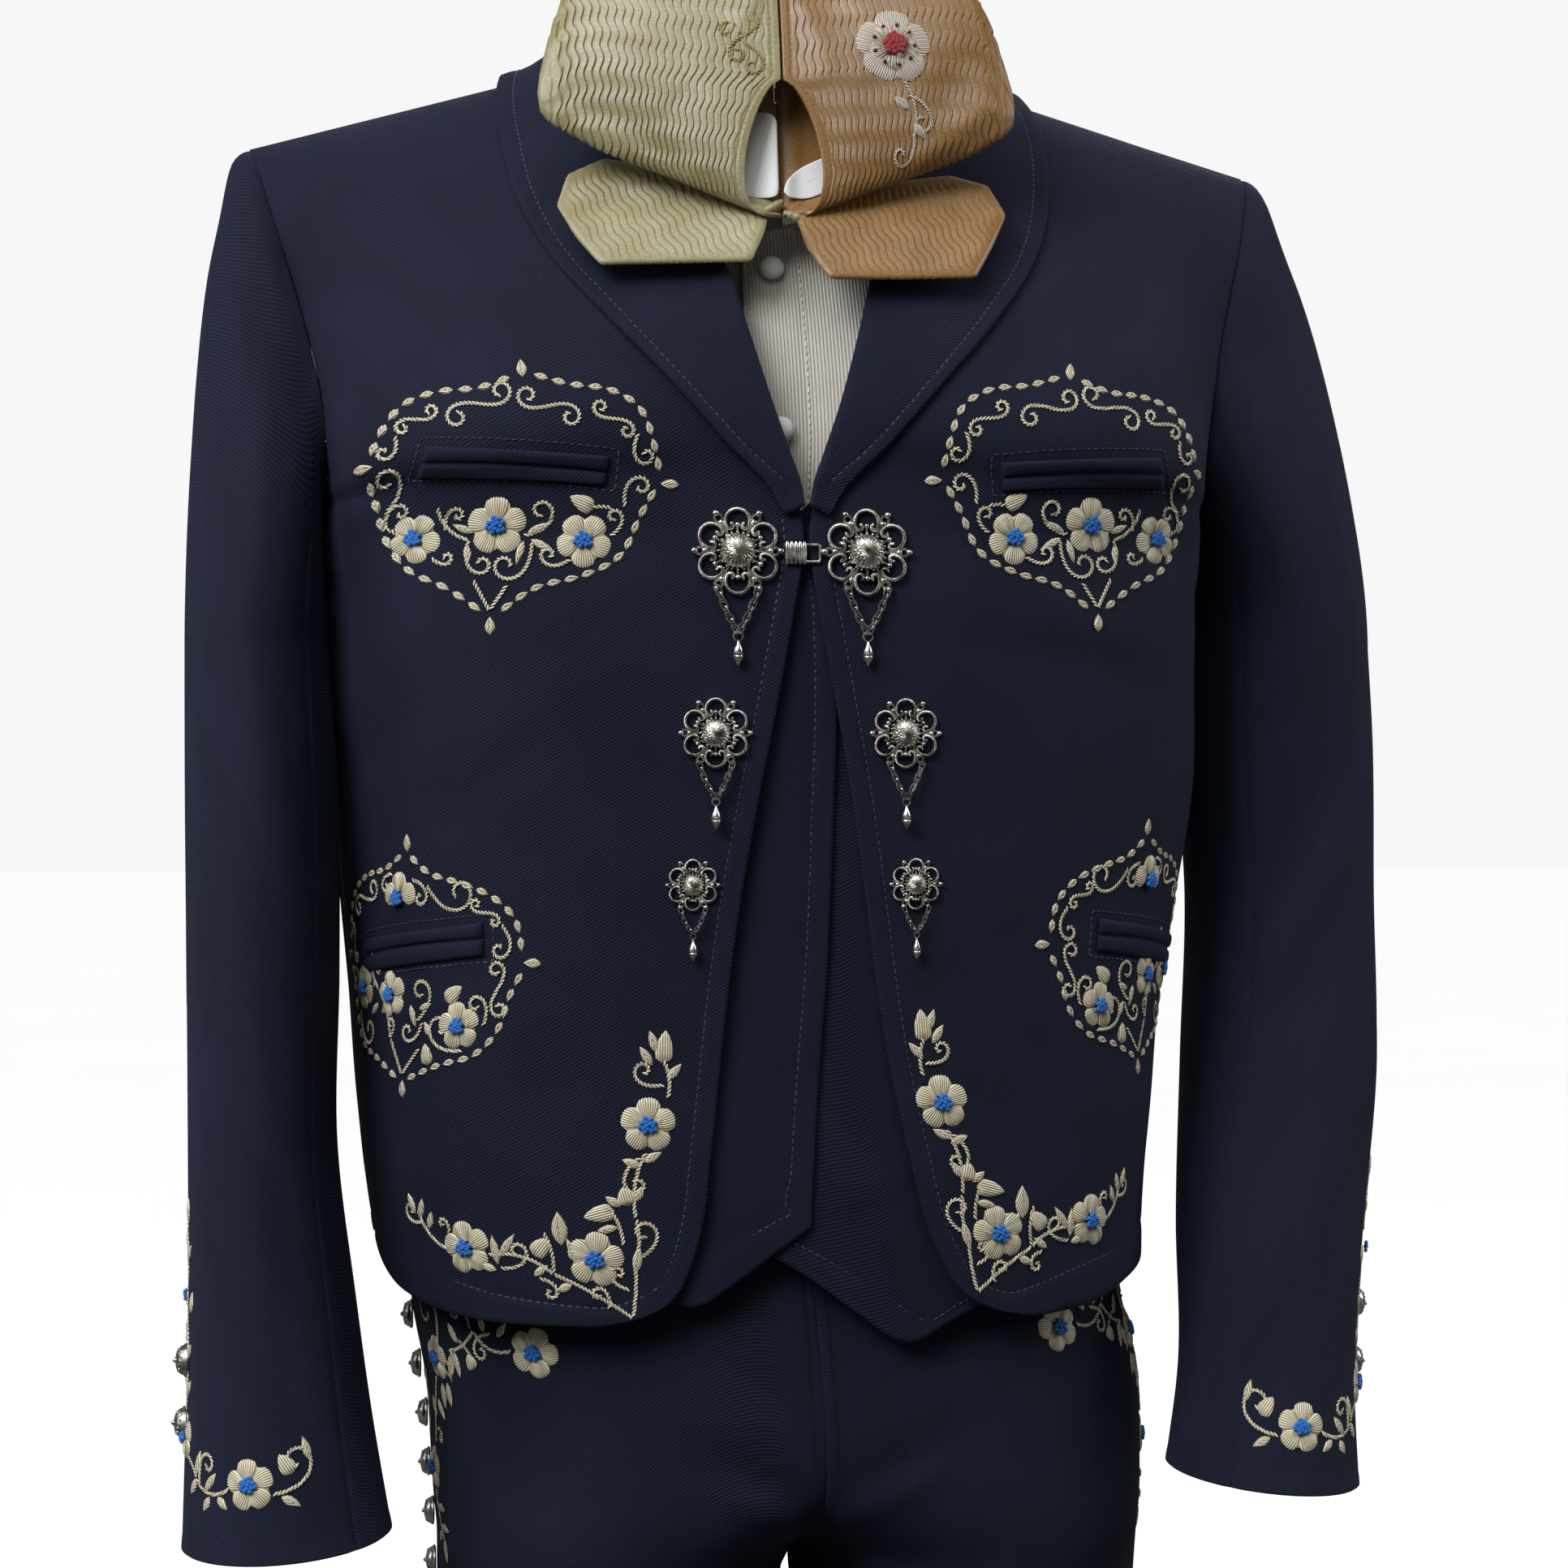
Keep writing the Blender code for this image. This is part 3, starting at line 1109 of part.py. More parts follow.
def stiffener_y(_, z):
    """The stiffener stands near the back wall inside a wing."""
    return BOW_Y + BOW_LEAN * (z - WING_FOOT_Z) + 2.2


def knot():
    """The gathered knot behind the wings, which holds them to the neck band."""
    place = frame_matrix((BOW_X, -100.1, KNOT_Z), (0, 1, -BOW_LEAN))
    profile = [(0, 0), (6, 0), (7.5, 3), (7, 16), (5.5, KNOT_LENGTH), (0, KNOT_LENGTH)]
    turned("mono_knot", profile, 12, place, GOLD_CLOTH)


BAND_OUT = 0.5  # the band's outer face, from the neck's own outline


def neck_band():
    """The band that carries the bow, round the collar's stand and under its fall."""
    angles = np.linspace(0, 360, 25)[:-1]
    grid = []
    for angle in angles:
        signed = angle if angle <= 180 else angle - 360
        grid.append([neck_point(signed, rise, BAND_OUT) for rise in (6, 20)])
    outer = np.swapaxes(np.array(grid), 0, 1)
    normal = wrapped_normals(outer)
    wall("mono_neck_band", outer, normal, 1.0, GOLD_CLOTH, closed=True, swayed=False)


for old in list(bpy.data.objects):
    bpy.data.objects.remove(old)

NAVY_CLOTH = material("navy wool twill", NAVY, 0.85)
WHITE_CLOTH = material("white corded cotton", WHITE, 0.8)
GOLD_CLOTH = material("gold pleated satin", GOLD, 0.45)
SILVER_METAL = material("cast silver", SILVER, 0.35, 1.0)

for side_key in SIDES:
    jacket_front(side_key)
jacket_back()
sleeves()
collar(jacket_skin())
pockets()
waistcoat()
shirt()
shirt_collar()
shirt_buttons()
trousers()
side_button_rows()
brooches()
hook_clasp()
cuff_buttons()
bow_tie()
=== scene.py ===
"""Charro suit filled out as if worn: navy twill jacket, waistcoat and trousers, corded shirt and
moño bow tie.

Each cloth piece is a thin shell on the form of its own solid. Sizes are in millimetres until a mesh
is made.
"""

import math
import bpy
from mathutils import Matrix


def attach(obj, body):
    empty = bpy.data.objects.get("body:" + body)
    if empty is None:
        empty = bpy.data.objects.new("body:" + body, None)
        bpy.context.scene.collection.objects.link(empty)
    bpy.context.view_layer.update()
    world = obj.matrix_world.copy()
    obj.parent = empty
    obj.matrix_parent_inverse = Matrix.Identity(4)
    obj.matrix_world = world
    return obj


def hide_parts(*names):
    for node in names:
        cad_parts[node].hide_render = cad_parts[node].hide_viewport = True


bl_info = {
    "name": "Charro suit",
    "version": (1, 0, 0),
    "blender": (4, 5, 0),
    "location": "View3D > Sidebar > Charro suit",
    "description": "Dresses the suit's solids in twill, cotton, satin, embroidery and silver",
    "category": "Object",
}

import bmesh
import bpy
import numpy as np
from mathutils import Matrix, Vector
from mathutils.bvhtree import BVHTree

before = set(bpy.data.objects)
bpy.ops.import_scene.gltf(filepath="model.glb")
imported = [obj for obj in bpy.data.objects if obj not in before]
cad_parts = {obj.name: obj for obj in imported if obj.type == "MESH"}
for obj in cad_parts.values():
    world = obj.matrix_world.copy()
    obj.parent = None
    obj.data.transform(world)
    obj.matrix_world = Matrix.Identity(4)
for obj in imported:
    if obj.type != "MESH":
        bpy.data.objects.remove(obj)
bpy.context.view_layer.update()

MM = 0.001
SEAM = 0.3
SIDES = {"right": -1, "left": 1}  # the wearer's sides
BACKDROP = "f7f7f7"


# ---------------------------------------------------------------- settings

def srgb(text):
    """Linear colour from an sRGB hex value."""
    parts = [int(text[i:i + 2], 16) / 255 for i in (0, 2, 4)]
    return (tuple(p / 12.92 if p <= 0.04045 else ((p + 0.055) / 1.055) ** 2.4 for p in parts)
            + (1.0,))


def colour(name, description, text):
    """A colour that a user may change. Its default is an sRGB hex value."""
    return bpy.props.FloatVectorProperty(name=name, description=description, default=srgb(text),
                                         size=4, min=0, max=1, subtype="COLOR")


def length(name, description, default):
    """A length that a user may change. Its default is in metres."""
    return bpy.props.FloatProperty(name=name, description=description, default=default, min=0.0001,
                                   unit="LENGTH")


def amount(name, description, default):
    """A plain number that a user may change."""
    return bpy.props.FloatProperty(name=name, description=description, default=default, min=0)


class ClothSettings(bpy.types.PropertyGroup):
    """Colours and yarn sizes of the suit's cloth."""

    # The twill's two colours carry the navy of the wool and also paint its light: painted shade in
    # the furrows between the twill's lines, and a painted highlight on their crests.
    twill_furrow_painted_shade: colour("Twill shade", "Wool in the furrows between the twill's lines", "070914")
    twill_crest_painted_highlight: colour("Twill light", "Wool on the crests of the twill's lines", "191f36")
    twill_pitch: length("Twill pitch", "Distance from one twill line to the next", 1.25 * MM)
    # The shirting's dark colour is painted shade in the grooves between its cords; its light colour
    # is the cotton's own white.
    cotton_groove_painted_shade: colour("Cotton shade", "Shirting between its cords", "aaa597")
    cotton_light: colour("Cotton light", "Shirting on the crests of its cords", "cfcbc2")
    cord_pitch: length("Cord pitch", "Distance from one cord of the shirting to the next", 1.5 * MM)
    # The satin's two colours carry its gold and also paint its light: painted shade and a painted
    # highlight, which follow the weave's weft lines and slubs.
    satin_weft_painted_shade: colour("Satin shade", "Satin in the folds of the bow's cool side", "6a6544")
    satin_weft_painted_highlight: colour("Satin light", "Satin on the crests of the bow's cool side", "b5ad84")
    # The warm side's colours are a shaded copy of the same satin: painted warm shade for the
    # warmer, darker light on the wearer's left side of the bow.
    warm_side_painted_shade: colour("Warm satin shade", "Satin in the folds of the bow's warm side", "5e3f1a")
    warm_side_painted_highlight: colour("Warm satin light", "Satin on the crests of the bow's warm side", "a8824a")


class TrimSettings(bpy.types.PropertyGroup):
    """Colours and sizes of the thread and the silver."""

    # The embroidery thread's two colours carry its champagne and also paint its light: painted
    # shade in the gaps between its strands, and a painted highlight on them.
    champagne_gap_painted_shade: colour("Champagne shade", "Embroidery thread in the gaps between its strands",
                           "645636")
    champagne_strand_painted_highlight: colour("Champagne light", "Embroidery thread on its strands", "e2d8b6")
    strand_pitch: length("Strand pitch",
                         "Distance between laid strands, coarser than in real thread to show",
                         1.0 * MM)
    # The knots' dark blue is painted shade in their hollows.
    blue_hollow_painted_shade: colour("Blue shade", "Knots at the flowers' hearts, in their hollows", "003a7c")
    blue_light: colour("Blue light", "Knots at the flowers' hearts, on their crests", "1078d0")
    silver_dark: colour("Silver shade", "Tarnish in the cast silver's hollows", "8f897e")
    silver_light: colour("Silver light", "Worn crests of the cast silver", "e3dfd5")


class StageSettings(bpy.types.PropertyGroup):
    """The camera and the light."""

    camera_distance: length("Camera distance", "From the camera to the suit's middle", 1.45)
    camera_lens: amount("Lens", "Focal length in millimetres on a 36 mm sensor", 75.05)
    camera_turn: bpy.props.FloatProperty(name="Camera turn",
                                         description="How far the camera stands to the side",
                                         default=math.radians(-9), unit="ROTATION", subtype="ANGLE")
    key_power: amount("Key light", "Power in watts of the large light in front", 70)
    sky_strength: amount("Sky light", "Strength of the soft light from above", 1.5)
    floor_glow: amount("Floor glow",
                       "How much the lit floor shines, to be as bright as the backdrop", 0.55)


# ---------------------------------------------------------------- body

class Spline:
    """A smooth curve through the rows of a table whose first column is the key."""

    def __init__(self, rows):
        rows = np.array(rows, float)
        self.keys = rows[:, 0]
        self.values = rows[:, 1:]
        self.slopes = np.gradient(self.values, self.keys, axis=0)

    def __call__(self, key):
        key = np.clip(key, self.keys[0], self.keys[-1])
        i = np.clip(np.searchsorted(self.keys, key, side="right") - 1, 0, len(self.keys) - 2)
        span = self.keys[i + 1] - self.keys[i]
        t = ((key - self.keys[i]) / span)[..., None]
        span = span[..., None]
        start = ((2 * t**3 - 3 * t**2 + 1) * self.values[i] + (t**3 - 2 * t**2 + t) * span
                 * self.slopes[i])
        end = (3 * t**2 - 2 * t**3) * self.values[i + 1] + (t**3 - t**2) * span * self.slopes[i + 1]
        return start + end


# ---------------------------------------------------------------- driving sizes of the body surface

ARMPIT_Z = -205
ROUNDNESS = 2.8  # exponent of the torso's ring sections
SHOULDER_TIP = (222, 0, -47.4)
NECK_SIDE = (62, 0, -2)
CHEST_TOP_Z = -54  # above this height the front centre curve leaves the middle

# height, half width, front depth, back depth
TORSO = Spline([
    (-560, 166, 127, 118), (-520, 169, 129, 116), (-480, 173, 131, 110), (-430, 179, 131.5, 102),
    (-390, 184, 132.5, 100), (-350, 188, 134, 104), (-300, 190, 136, 112), (-250, 190, 137, 118),
    (-205, 190, 134, 120),
])
# height, sideways sway of the hips
SWAY = Spline([(-1500, 12), (-700, 12), (-590, 12), (-530, 7), (-480, 3), (-430, 0), (-300, 0)])

# height, how far the sides shift along x: on the wearer's right, on the left
TAPER = Spline([
    (-1500, 0, 0), (-800, 0, 0), (-660, 4.5, -4.5), (-615, 2.5, -3), (-575, 1.5, -5),
    (-540, -4.5, -11),
    (-515, -5.4, -11), (-490, -4.4, -9.5), (-460, -2, -7), (-411, 2, -5.6), (-365, 2.6, -2.5),
    (-320, 2.6, 0.6), (-275, 1, 0), (-240, 0, 0), (-220, 0, 0), (0, 0, 0),
])
TAPER_REACH = 172  # the distance from the middle where the taper is whole

# height fraction above the armpit, x, y, z
CENTRE_FRONT = Spline([
    (0, 0, -134, -205), (0.22, 0, -130, -165), (0.45, 0, -118, -118), (0.65, 0, -98, -76),
    (0.74, 0, -84, -56), (0.84, 33, -69, -41), (0.92, 52, -41, -19), (0.965, 59, -18, -6),
    (1, *NECK_SIDE),
])
CENTRE_BACK = Spline([
    (0, 0, 120, -205), (0.25, 0, 118, -160), (0.5, 0, 108, -110), (0.72, 0, 88, -55),
    (0.86, 0, 60, -6), (0.94, 41, 42, -3), (1, *NECK_SIDE),
])
ARMHOLE_FRONT = Spline([
    (0, 190, 0, -205), (0.1, 190, -32, -203), (0.22, 189.5, -52, -188), (0.38, 192, -56, -160),
    (0.58, 200, -46, -124), (0.78, 212, -33, -82), (0.92, 219.5, -15, -55), (1, *SHOULDER_TIP),
])
ARMHOLE_BACK = Spline([
    (0, 190, 0, -205), (0.1, 190, 30, -203), (0.24, 188, 52, -185), (0.42, 190, 60, -150),
    (0.62, 199, 50, -112), (0.8, 212, 34, -78), (0.93, 219.5, 14, -54), (1, *SHOULDER_TIP),
])


def ring(angle, z):
    """A point of the torso's section at height z, angle 0 at the front centre and pi at the
    back."""
    width, front, back = np.moveaxis(TORSO(z), -1, 0)
    depth = np.where(np.cos(angle) > 0, front, back)
    across = np.abs(np.sin(angle) / width) ** ROUNDNESS
    along = np.abs(np.cos(angle) / depth) ** ROUNDNESS
    radius = (across + along) ** (-1 / ROUNDNESS)
    return np.stack([radius * np.sin(angle), -radius * np.cos(angle), z + 0 * angle], -1)


def body(across, height, face):
    """The suit's body surface on one side: across is 0 at the centre and 1 at the side seam or
    armhole.

    Face is +1 for the front and -1 for the back. Height is z up to the armpit, and above it runs on
    to 0 at the shoulder seam, between the neck and armhole curves.
    """
    across, height = np.broadcast_arrays(np.asarray(across, float), np.asarray(height, float))
    crossing = (across < 0) & (height < CHEST_TOP_Z) & (face > 0)
    mirror = np.where(crossing, -1.0, 1.0)
    across = across * mirror
    angle = across * math.pi / 2 if face > 0 else math.pi - across * math.pi / 2
    low = ring(angle, np.minimum(height, ARMPIT_Z))
    inner, outer = (CENTRE_FRONT, ARMHOLE_FRONT) if face > 0 else (CENTRE_BACK, ARMHOLE_BACK)
    t = np.clip((height - ARMPIT_Z) / -ARMPIT_Z, 0, 1)
    s = across[..., None]
    v = t[..., None]
    none = np.zeros_like(t)
    chest = ring(angle, none + ARMPIT_Z)
    neck, tip = np.array(NECK_SIDE, float), np.array(SHOULDER_TIP, float)
    shoulder = neck + s * (tip - neck)
    corners = ((1 - s) * (1 - v) * inner(none) + (1 - s) * v * neck + s * (1 - v) * outer(none)
               + s * v * tip)
    high = (1 - s) * inner(t) + s * outer(t) + (1 - v) * chest + v * shoulder - corners
    surface = np.where((height <= ARMPIT_Z)[..., None], low, high)
    return surface * np.stack([mirror, 1 + 0 * mirror, 1 + 0 * mirror], -1)


def sway(x, z):
    """Sideways shift of a point: the hips' sway, and the sides' taper, which fades to the
    middle."""
    right, left = np.moveaxis(TAPER(z), -1, 0)
    return SWAY(z)[..., 0] + (x / TAPER_REACH) ** 4 * np.where(x < 0, right, left)


def unit(vectors):
    return vectors / np.maximum(np.linalg.norm(vectors, axis=-1, keepdims=True), 1e-9)


def normals_of(surface, across, height, step_across, step_height):
    """Outward normals by differences, with the surface's own turn taken from its points' order."""
    along = surface(across + step_across, height) - surface(across - step_across, height)
    up = surface(across, height + step_height) - surface(across, height - step_height)
    return unit(np.cross(along, up))


def body_layer(across, height, face, lift):
    """Body surface moved out by lift, with its normals. Both faces share one normal at the shoulder
    seam."""
    normal = normals_of(lambda s, h: body(s, h, face), across, height, 0.01, 2.0) * face
    seam_normal = unit(np.array([0.27, 0, 0.96]))
    share = np.clip((height - ARMPIT_Z) / -ARMPIT_Z, 0, 1)[..., None] ** 10
    normal = unit(normal * (1 - share) + seam_normal * share)
    return body(across, height, face) + normal * np.asarray(lift)[..., None], normal


def across_at(x, height, face=1):
    """Where the body surface at this height reaches x, found by halving."""
    low = np.full(np.shape(height), -0.3)
    high = np.full(np.shape(height), 1.0)
    for _ in range(24):
        middle = (low + high) / 2
        short = body(middle, height, face)[..., 0] < x
        low = np.where(short, middle, low)
        high = np.where(short, high, middle)
    return (low + high) / 2


def locate(x, z):
    """(across, height) of the front surface's point at x and z."""
    height = np.array(z, float)
    for _ in range(12):
        across = across_at(x, height)
        height = height + (z - body(across, height, 1)[..., 2])
    return across, height


# ---------------------------------------------------------------- meshes

def frame_matrix(centre, normal, up=(0, 0, 1)):
    """Axes at a point on the cloth: x across, y up along it, z out of it."""
    out = Vector(normal).normalized()
    across = Vector(up).cross(out).normalized()
    rise = out.cross(across)
    turn = Matrix((across, rise, out)).transposed().to_4x4()
    return Matrix.Translation(Vector(centre)) @ turn


def make_object(name, points, faces, finishes, uvs=None, indices=None, weld=False, sharp=60,
                recalc=True):
    """A mesh object from points in millimetres, with a UV map in metres for the cloth's pattern."""
    mesh = bpy.data.meshes.new(name)
    mesh.from_pydata(np.asarray(points, float) * MM, [], [list(map(int, face)) for face in faces])
    for finish in finishes:
        mesh.materials.append(finish)
    if uvs is not None:
        layer = mesh.uv_layers.new(name="cloth")
        corners = np.zeros(len(mesh.loops), int)
        mesh.loops.foreach_get("vertex_index", corners)
        layer.data.foreach_set("uv", (np.asarray(uvs)[corners] * MM).ravel())
    if indices is not None:
        mesh.polygons.foreach_set("material_index", np.asarray(indices, int))
    shape = bmesh.new()
    shape.from_mesh(mesh)
    if weld:
        bmesh.ops.remove_doubles(shape, verts=shape.verts, dist=1e-6)
    if recalc:
        bmesh.ops.recalc_face_normals(shape, faces=shape.faces)
    shape.to_mesh(mesh)
    shape.free()
    mesh.shade_smooth()
    mesh.set_sharp_from_angle(angle=math.radians(sharp))
    made = bpy.data.objects.new(name, mesh)
    bpy.context.scene.collection.objects.link(made)
    return made


def arc_lengths(points, axis):
    """Distance along the rows or columns of a grid from their first points."""
    steps = np.linalg.norm(np.diff(points, axis=axis), axis=-1)
    pad = [(0, 0), (0, 0)]
    pad[axis] = (1, 0)
    return np.cumsum(np.pad(steps, pad), axis=axis)


def cut_size(outer):
    """Width, length and area of the flat piece that a grid of points was sewn from, in metres."""
    width = arc_lengths(outer, 1)[:, -1].max()
    length = arc_lengths(outer, 0)[-1].max()
    a, b = outer[1:, 1:] - outer[:-1, :-1], outer[1:, :-1] - outer[:-1, 1:]
    area = np.linalg.norm(np.cross(a, b), axis=-1).sum() / 2
    return width * MM, length * MM, area * MM * MM


def grid_faces(rows, columns, base=0):
    i, j = np.meshgrid(np.arange(rows - 1), np.arange(columns - 1), indexing="ij")
    a = (base + i * columns + j).ravel()
    return np.stack([a, a + 1, a + columns + 1, a + columns], -1)


def border(rows, columns):
    """Indices round the edge of a grid, in order."""
    top = [j for j in range(columns)]
    right = [i * columns + columns - 1 for i in range(1, rows)]
    bottom = [(rows - 1) * columns + j for j in range(columns - 2, -1, -1)]
    left = [i * columns for i in range(rows - 2, 0, -1)]
    return np.array(top + right + bottom + left)


ROUNDING = 0.32  # how far a turned edge stands past its rim, in thicknesses


def shell(name, outer, normals, thickness, cloth, side=1, closed=False, swayed=True,
          mirrored=False, soft_edges=True):
    """A closed thin cloth shell on a grid of outer points, with rounded rims and a UV map along the
    cloth."""
    rows, columns = outer.shape[:2]
    thickness = np.asarray(thickness) + 0 * outer[..., :1]
    inner = outer - normals * thickness
    u = arc_lengths(outer, 1)
    u = u - u[:, columns // 2:columns // 2 + 1] * (0 if mirrored else 1)
    v = arc_lengths(outer, 0)
    flat = np.stack([u, v], -1).reshape(-1, 2)
    points = [outer.reshape(-1, 3), inner.reshape(-1, 3)]
    size = rows * columns
    faces = [grid_faces(rows, columns), grid_faces(rows, columns, size)[:, ::-1]]
    uvs = [flat, flat]
    if closed:
        loops = [np.arange(columns), np.arange(columns) + (rows - 1) * columns]
    else:
        ring_line = border(rows, columns)
        loops = [np.append(ring_line, ring_line[0])]
    base = 2 * size
    for loop in loops:
        count = len(loop)
        out, back_side = outer.reshape(-1, 3)[loop], inner.reshape(-1, 3)[loop]
        along = np.gradient(out, axis=0)
        reach = unit(np.cross(along, out - back_side))
        inside = outer.reshape(-1, 3).mean(0) - out
        middle_normal = unit(out - back_side)
        inside = inside - middle_normal * np.sum(inside * middle_normal, -1, keepdims=True)
        if np.sum(reach * inside) > 0:
            reach = -reach
        push = (np.linalg.norm(out - back_side, axis=-1, keepdims=True)
                * (ROUNDING if soft_edges else 0.05))
        rim = (out + back_side) / 2 + reach * push
        if not closed:
            rim[-1] = rim[0]
        points.append(rim)
        uvs.append(flat[loop])
        rim_index = base + np.arange(count)
        a, b, c = loop, rim_index, loop + size
        faces.append(np.stack([a[:-1], a[1:], b[1:], b[:-1]], -1))
        faces.append(np.stack([b[:-1], b[1:], c[1:], c[:-1]], -1))
        base += count
    points, faces, uvs = np.concatenate(points), np.concatenate(faces), np.concatenate(uvs)
    if mirrored:
        middle = np.abs(points[:, 0]) < 1e-6
        inner_faces = middle[faces].sum(1) >= 4
        faces = faces[~inner_faces]
        faces = np.concatenate([faces, faces[:, ::-1] + len(points)])
        points = np.concatenate([points, points * (-1, 1, 1)])
        uvs = np.concatenate([uvs, uvs * (-1, 1)])
    points = points * (side, 1, 1)
    uvs = uvs * (side, 1)
    if swayed:
        points[:, 0] += sway(points[:, 0], points[:, 2])
    return make_object(name, points, faces, [cloth], uvs, weld=True)


def tube(path, radius, sides=8, closed=False, flat=1.0, up=(0, 0, 1)):
    """Points and faces of a round bar along a path. Radius may be one number or one for each
    point."""
    path = np.asarray(path, float)
    count = len(path)
    radius = np.broadcast_to(np.asarray(radius, float), (count,))
    if closed:
        tangent = unit(np.roll(path, -1, 0) - np.roll(path, 1, 0))
    else:
        tangent = unit(np.gradient(path, axis=0))
    first = np.cross(tangent[0], up)
    if np.linalg.norm(first) < 1e-3:
        first = np.cross(tangent[0], (1, 0, 0.3))
    across = [unit(first)]
    for k in range(1, count):
        step = across[-1] - tangent[k] * np.dot(across[-1], tangent[k])
        across.append(unit(step))
    across = np.array(across)
    rise = np.cross(tangent, across)
    angle = np.linspace(0, 2 * math.pi, sides, endpoint=False)
    ring_points = (across[:, None] * np.cos(angle)[None, :, None]
                   + rise[:, None] * np.sin(angle)[None, :, None] * flat)
    points = (path[:, None] + ring_points * radius[:, None, None]).reshape(-1, 3)
    faces = []
    spans = count if closed else count - 1
    for i in range(spans):
        n = (i + 1) % count
        for j in range(sides):
            k = (j + 1) % sides
            faces.append((i * sides + j, i * sides + k, n * sides + k, n * sides + j))
    if not closed:
        faces.append(list(range(sides))[::-1])
        faces.append([(count - 1) * sides + j for j in range(sides)])
    return points, faces


def ball(centre, radius, rings=5, sides=8, squash=1.0):
    """Points and faces of a small ball."""
    points = [(0, 0, -radius * squash)]
    for i in range(1, rings):
        angle = math.pi * i / rings
        for j in range(sides):
            turn = 2 * math.pi * j / sides
            reach = radius * math.sin(angle)
            points.append((reach * math.cos(turn), reach * math.sin(turn),
                           -radius * squash * math.cos(angle)))
    points.append((0, 0, radius * squash))
    faces = []
    for j in range(sides):
        k = (j + 1) % sides
        faces.append((0, 1 + k, 1 + j))
        for i in range(rings - 2):
            a, b = 1 + i * sides, 1 + (i + 1) * sides
            faces.append((a + j, a + k, b + k, b + j))
        top = 1 + (rings - 2) * sides
        faces.append((top + j, top + k, len(points) - 1))
    return np.array(points) + np.asarray(centre, float), faces


def turned(profile, sides):
    """Points and faces of a form turned about z, from (radius, height) rows whose ends lie on the
    axis."""
    points = [(0, 0, profile[0][1])]
    for radius, height in profile[1:-1]:
        for k in range(sides):
            angle = 2 * math.pi * k / sides
            points.append((radius * math.cos(angle), radius * math.sin(angle), height))
    points.append((0, 0, profile[-1][1]))
    rings = len(profile) - 2
    faces = []
    for k in range(sides):
        n = (k + 1) % sides
        faces.append((0, 1 + n, 1 + k))
        for i in range(rings - 1):
            a, b = 1 + i * sides, 1 + (i + 1) * sides
            faces.append((a + k, a + n, b + n, b + k))
        top = 1 + (rings - 1) * sides
        faces.append((top + k, top + n, len(points) - 1))
    return np.array(points, float), faces


class Parts:
    """Collects small meshes that make one piece."""

    def __init__(self):
        self.points, self.faces, self.uvs, self.indices, self.count = [], [], [], [], 0

    def add(self, points, faces, uvs=None, finish=0, place=None):
        points = np.asarray(points, float)
        if place is not None:
            turn = np.array(place)
            points = points @ turn[:3, :3].T + turn[:3, 3]
        self.points.append(points)
        self.faces += [[corner + self.count for corner in face] for face in faces]
        self.uvs.append(points[:, :2] if uvs is None else np.asarray(uvs, float))
        self.indices += [finish] * len(faces)
        self.count += len(points)

    def build(self, name, finishes, mapping=None, sharp=50):
        points = np.concatenate(self.points)
        if mapping is not None:
            points = mapping(points)
        return make_object(name, points, self.faces, finishes, np.concatenate(self.uvs),
                           self.indices, sharp=sharp)


def dressed(piece, nodes=(), body="suit"):
    """Puts a piece on its body and hides the solids that it stands for."""
    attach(piece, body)
    if nodes:
        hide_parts(*nodes)
    return piece


def cloth_sheet(piece, outer, doubled=1):
    """Works out the flat size of the cloth that a piece's grid was cut from, doubled where asked,
    and returns the piece as it is.
    """
    width, length, area = cut_size(outer)
    width, area = width * doubled, area * doubled
    area = min(max(area, 0.31 * width * length), width * length)
    return piece


# ---------------------------------------------------------------- soft folds

def folds(a, b, table):
    """Height of soft ridges and troughs at places (a, b): rows of a0, b0, a1, b1, half width,
    depth."""
    total = np.zeros(np.shape(a))
    for a0, b0, a1, b1, wide, depth in table:
        run = np.array([a1 - a0, b1 - b0], float)
        length = np.linalg.norm(run)
        run = run / length
        t = ((a - a0) * run[0] + (b - b0) * run[1]) / length
        off = (a - a0) * run[1] - (b - b0) * run[0]
        fade = np.sin(np.clip(t, 0, 1) * math.pi) ** 0.8
        total = total + depth * fade * np.exp(-((off / wide) ** 2))
    return total


def smooth_line(points, step):
    """The points joined by a curve and set at even steps."""
    points = np.asarray(points, float)
    keys = np.concatenate([[0], np.cumsum(np.linalg.norm(np.diff(points, axis=0), axis=-1))])
    curve = Spline(np.column_stack([keys, points]))
    dense = curve(np.linspace(0, keys[-1], 400))
    run = np.concatenate([[0], np.cumsum(np.linalg.norm(np.diff(dense, axis=0), axis=-1))])
    count = max(int(round(run[-1] / step)), 2)
    at = np.linspace(0, run[-1], count + 1)
    return np.stack([np.interp(at, run, dense[:, k]) for k in range(dense.shape[1])], -1)


def inset(path, distance):
    """A path in the plane moved to its left by a distance."""
    run = np.gradient(path, axis=0)
    run = run / np.linalg.norm(run, axis=-1, keepdims=True)
    return path + np.stack([-run[:, 1], run[:, 0]], -1) * distance


def path_distance(a, b, path):
    """Distance in the plane from places (a, b) to a path."""
    places = np.stack([a, b], -1)
    flat = places.reshape(-1, 2)
    near = np.full(len(flat), 1e9)
    for start, end in zip(path[:-1], path[1:]):
        run = end - start
        t = np.clip((flat - start) @ run / max(run @ run, 1e-9), 0, 1)
        near = np.minimum(near, np.linalg.norm(flat - start - t[:, None] * run, axis=-1))
    return near.reshape(places.shape[:-1])


STITCH_IN = 7.4  # topstitching's distance from an edge


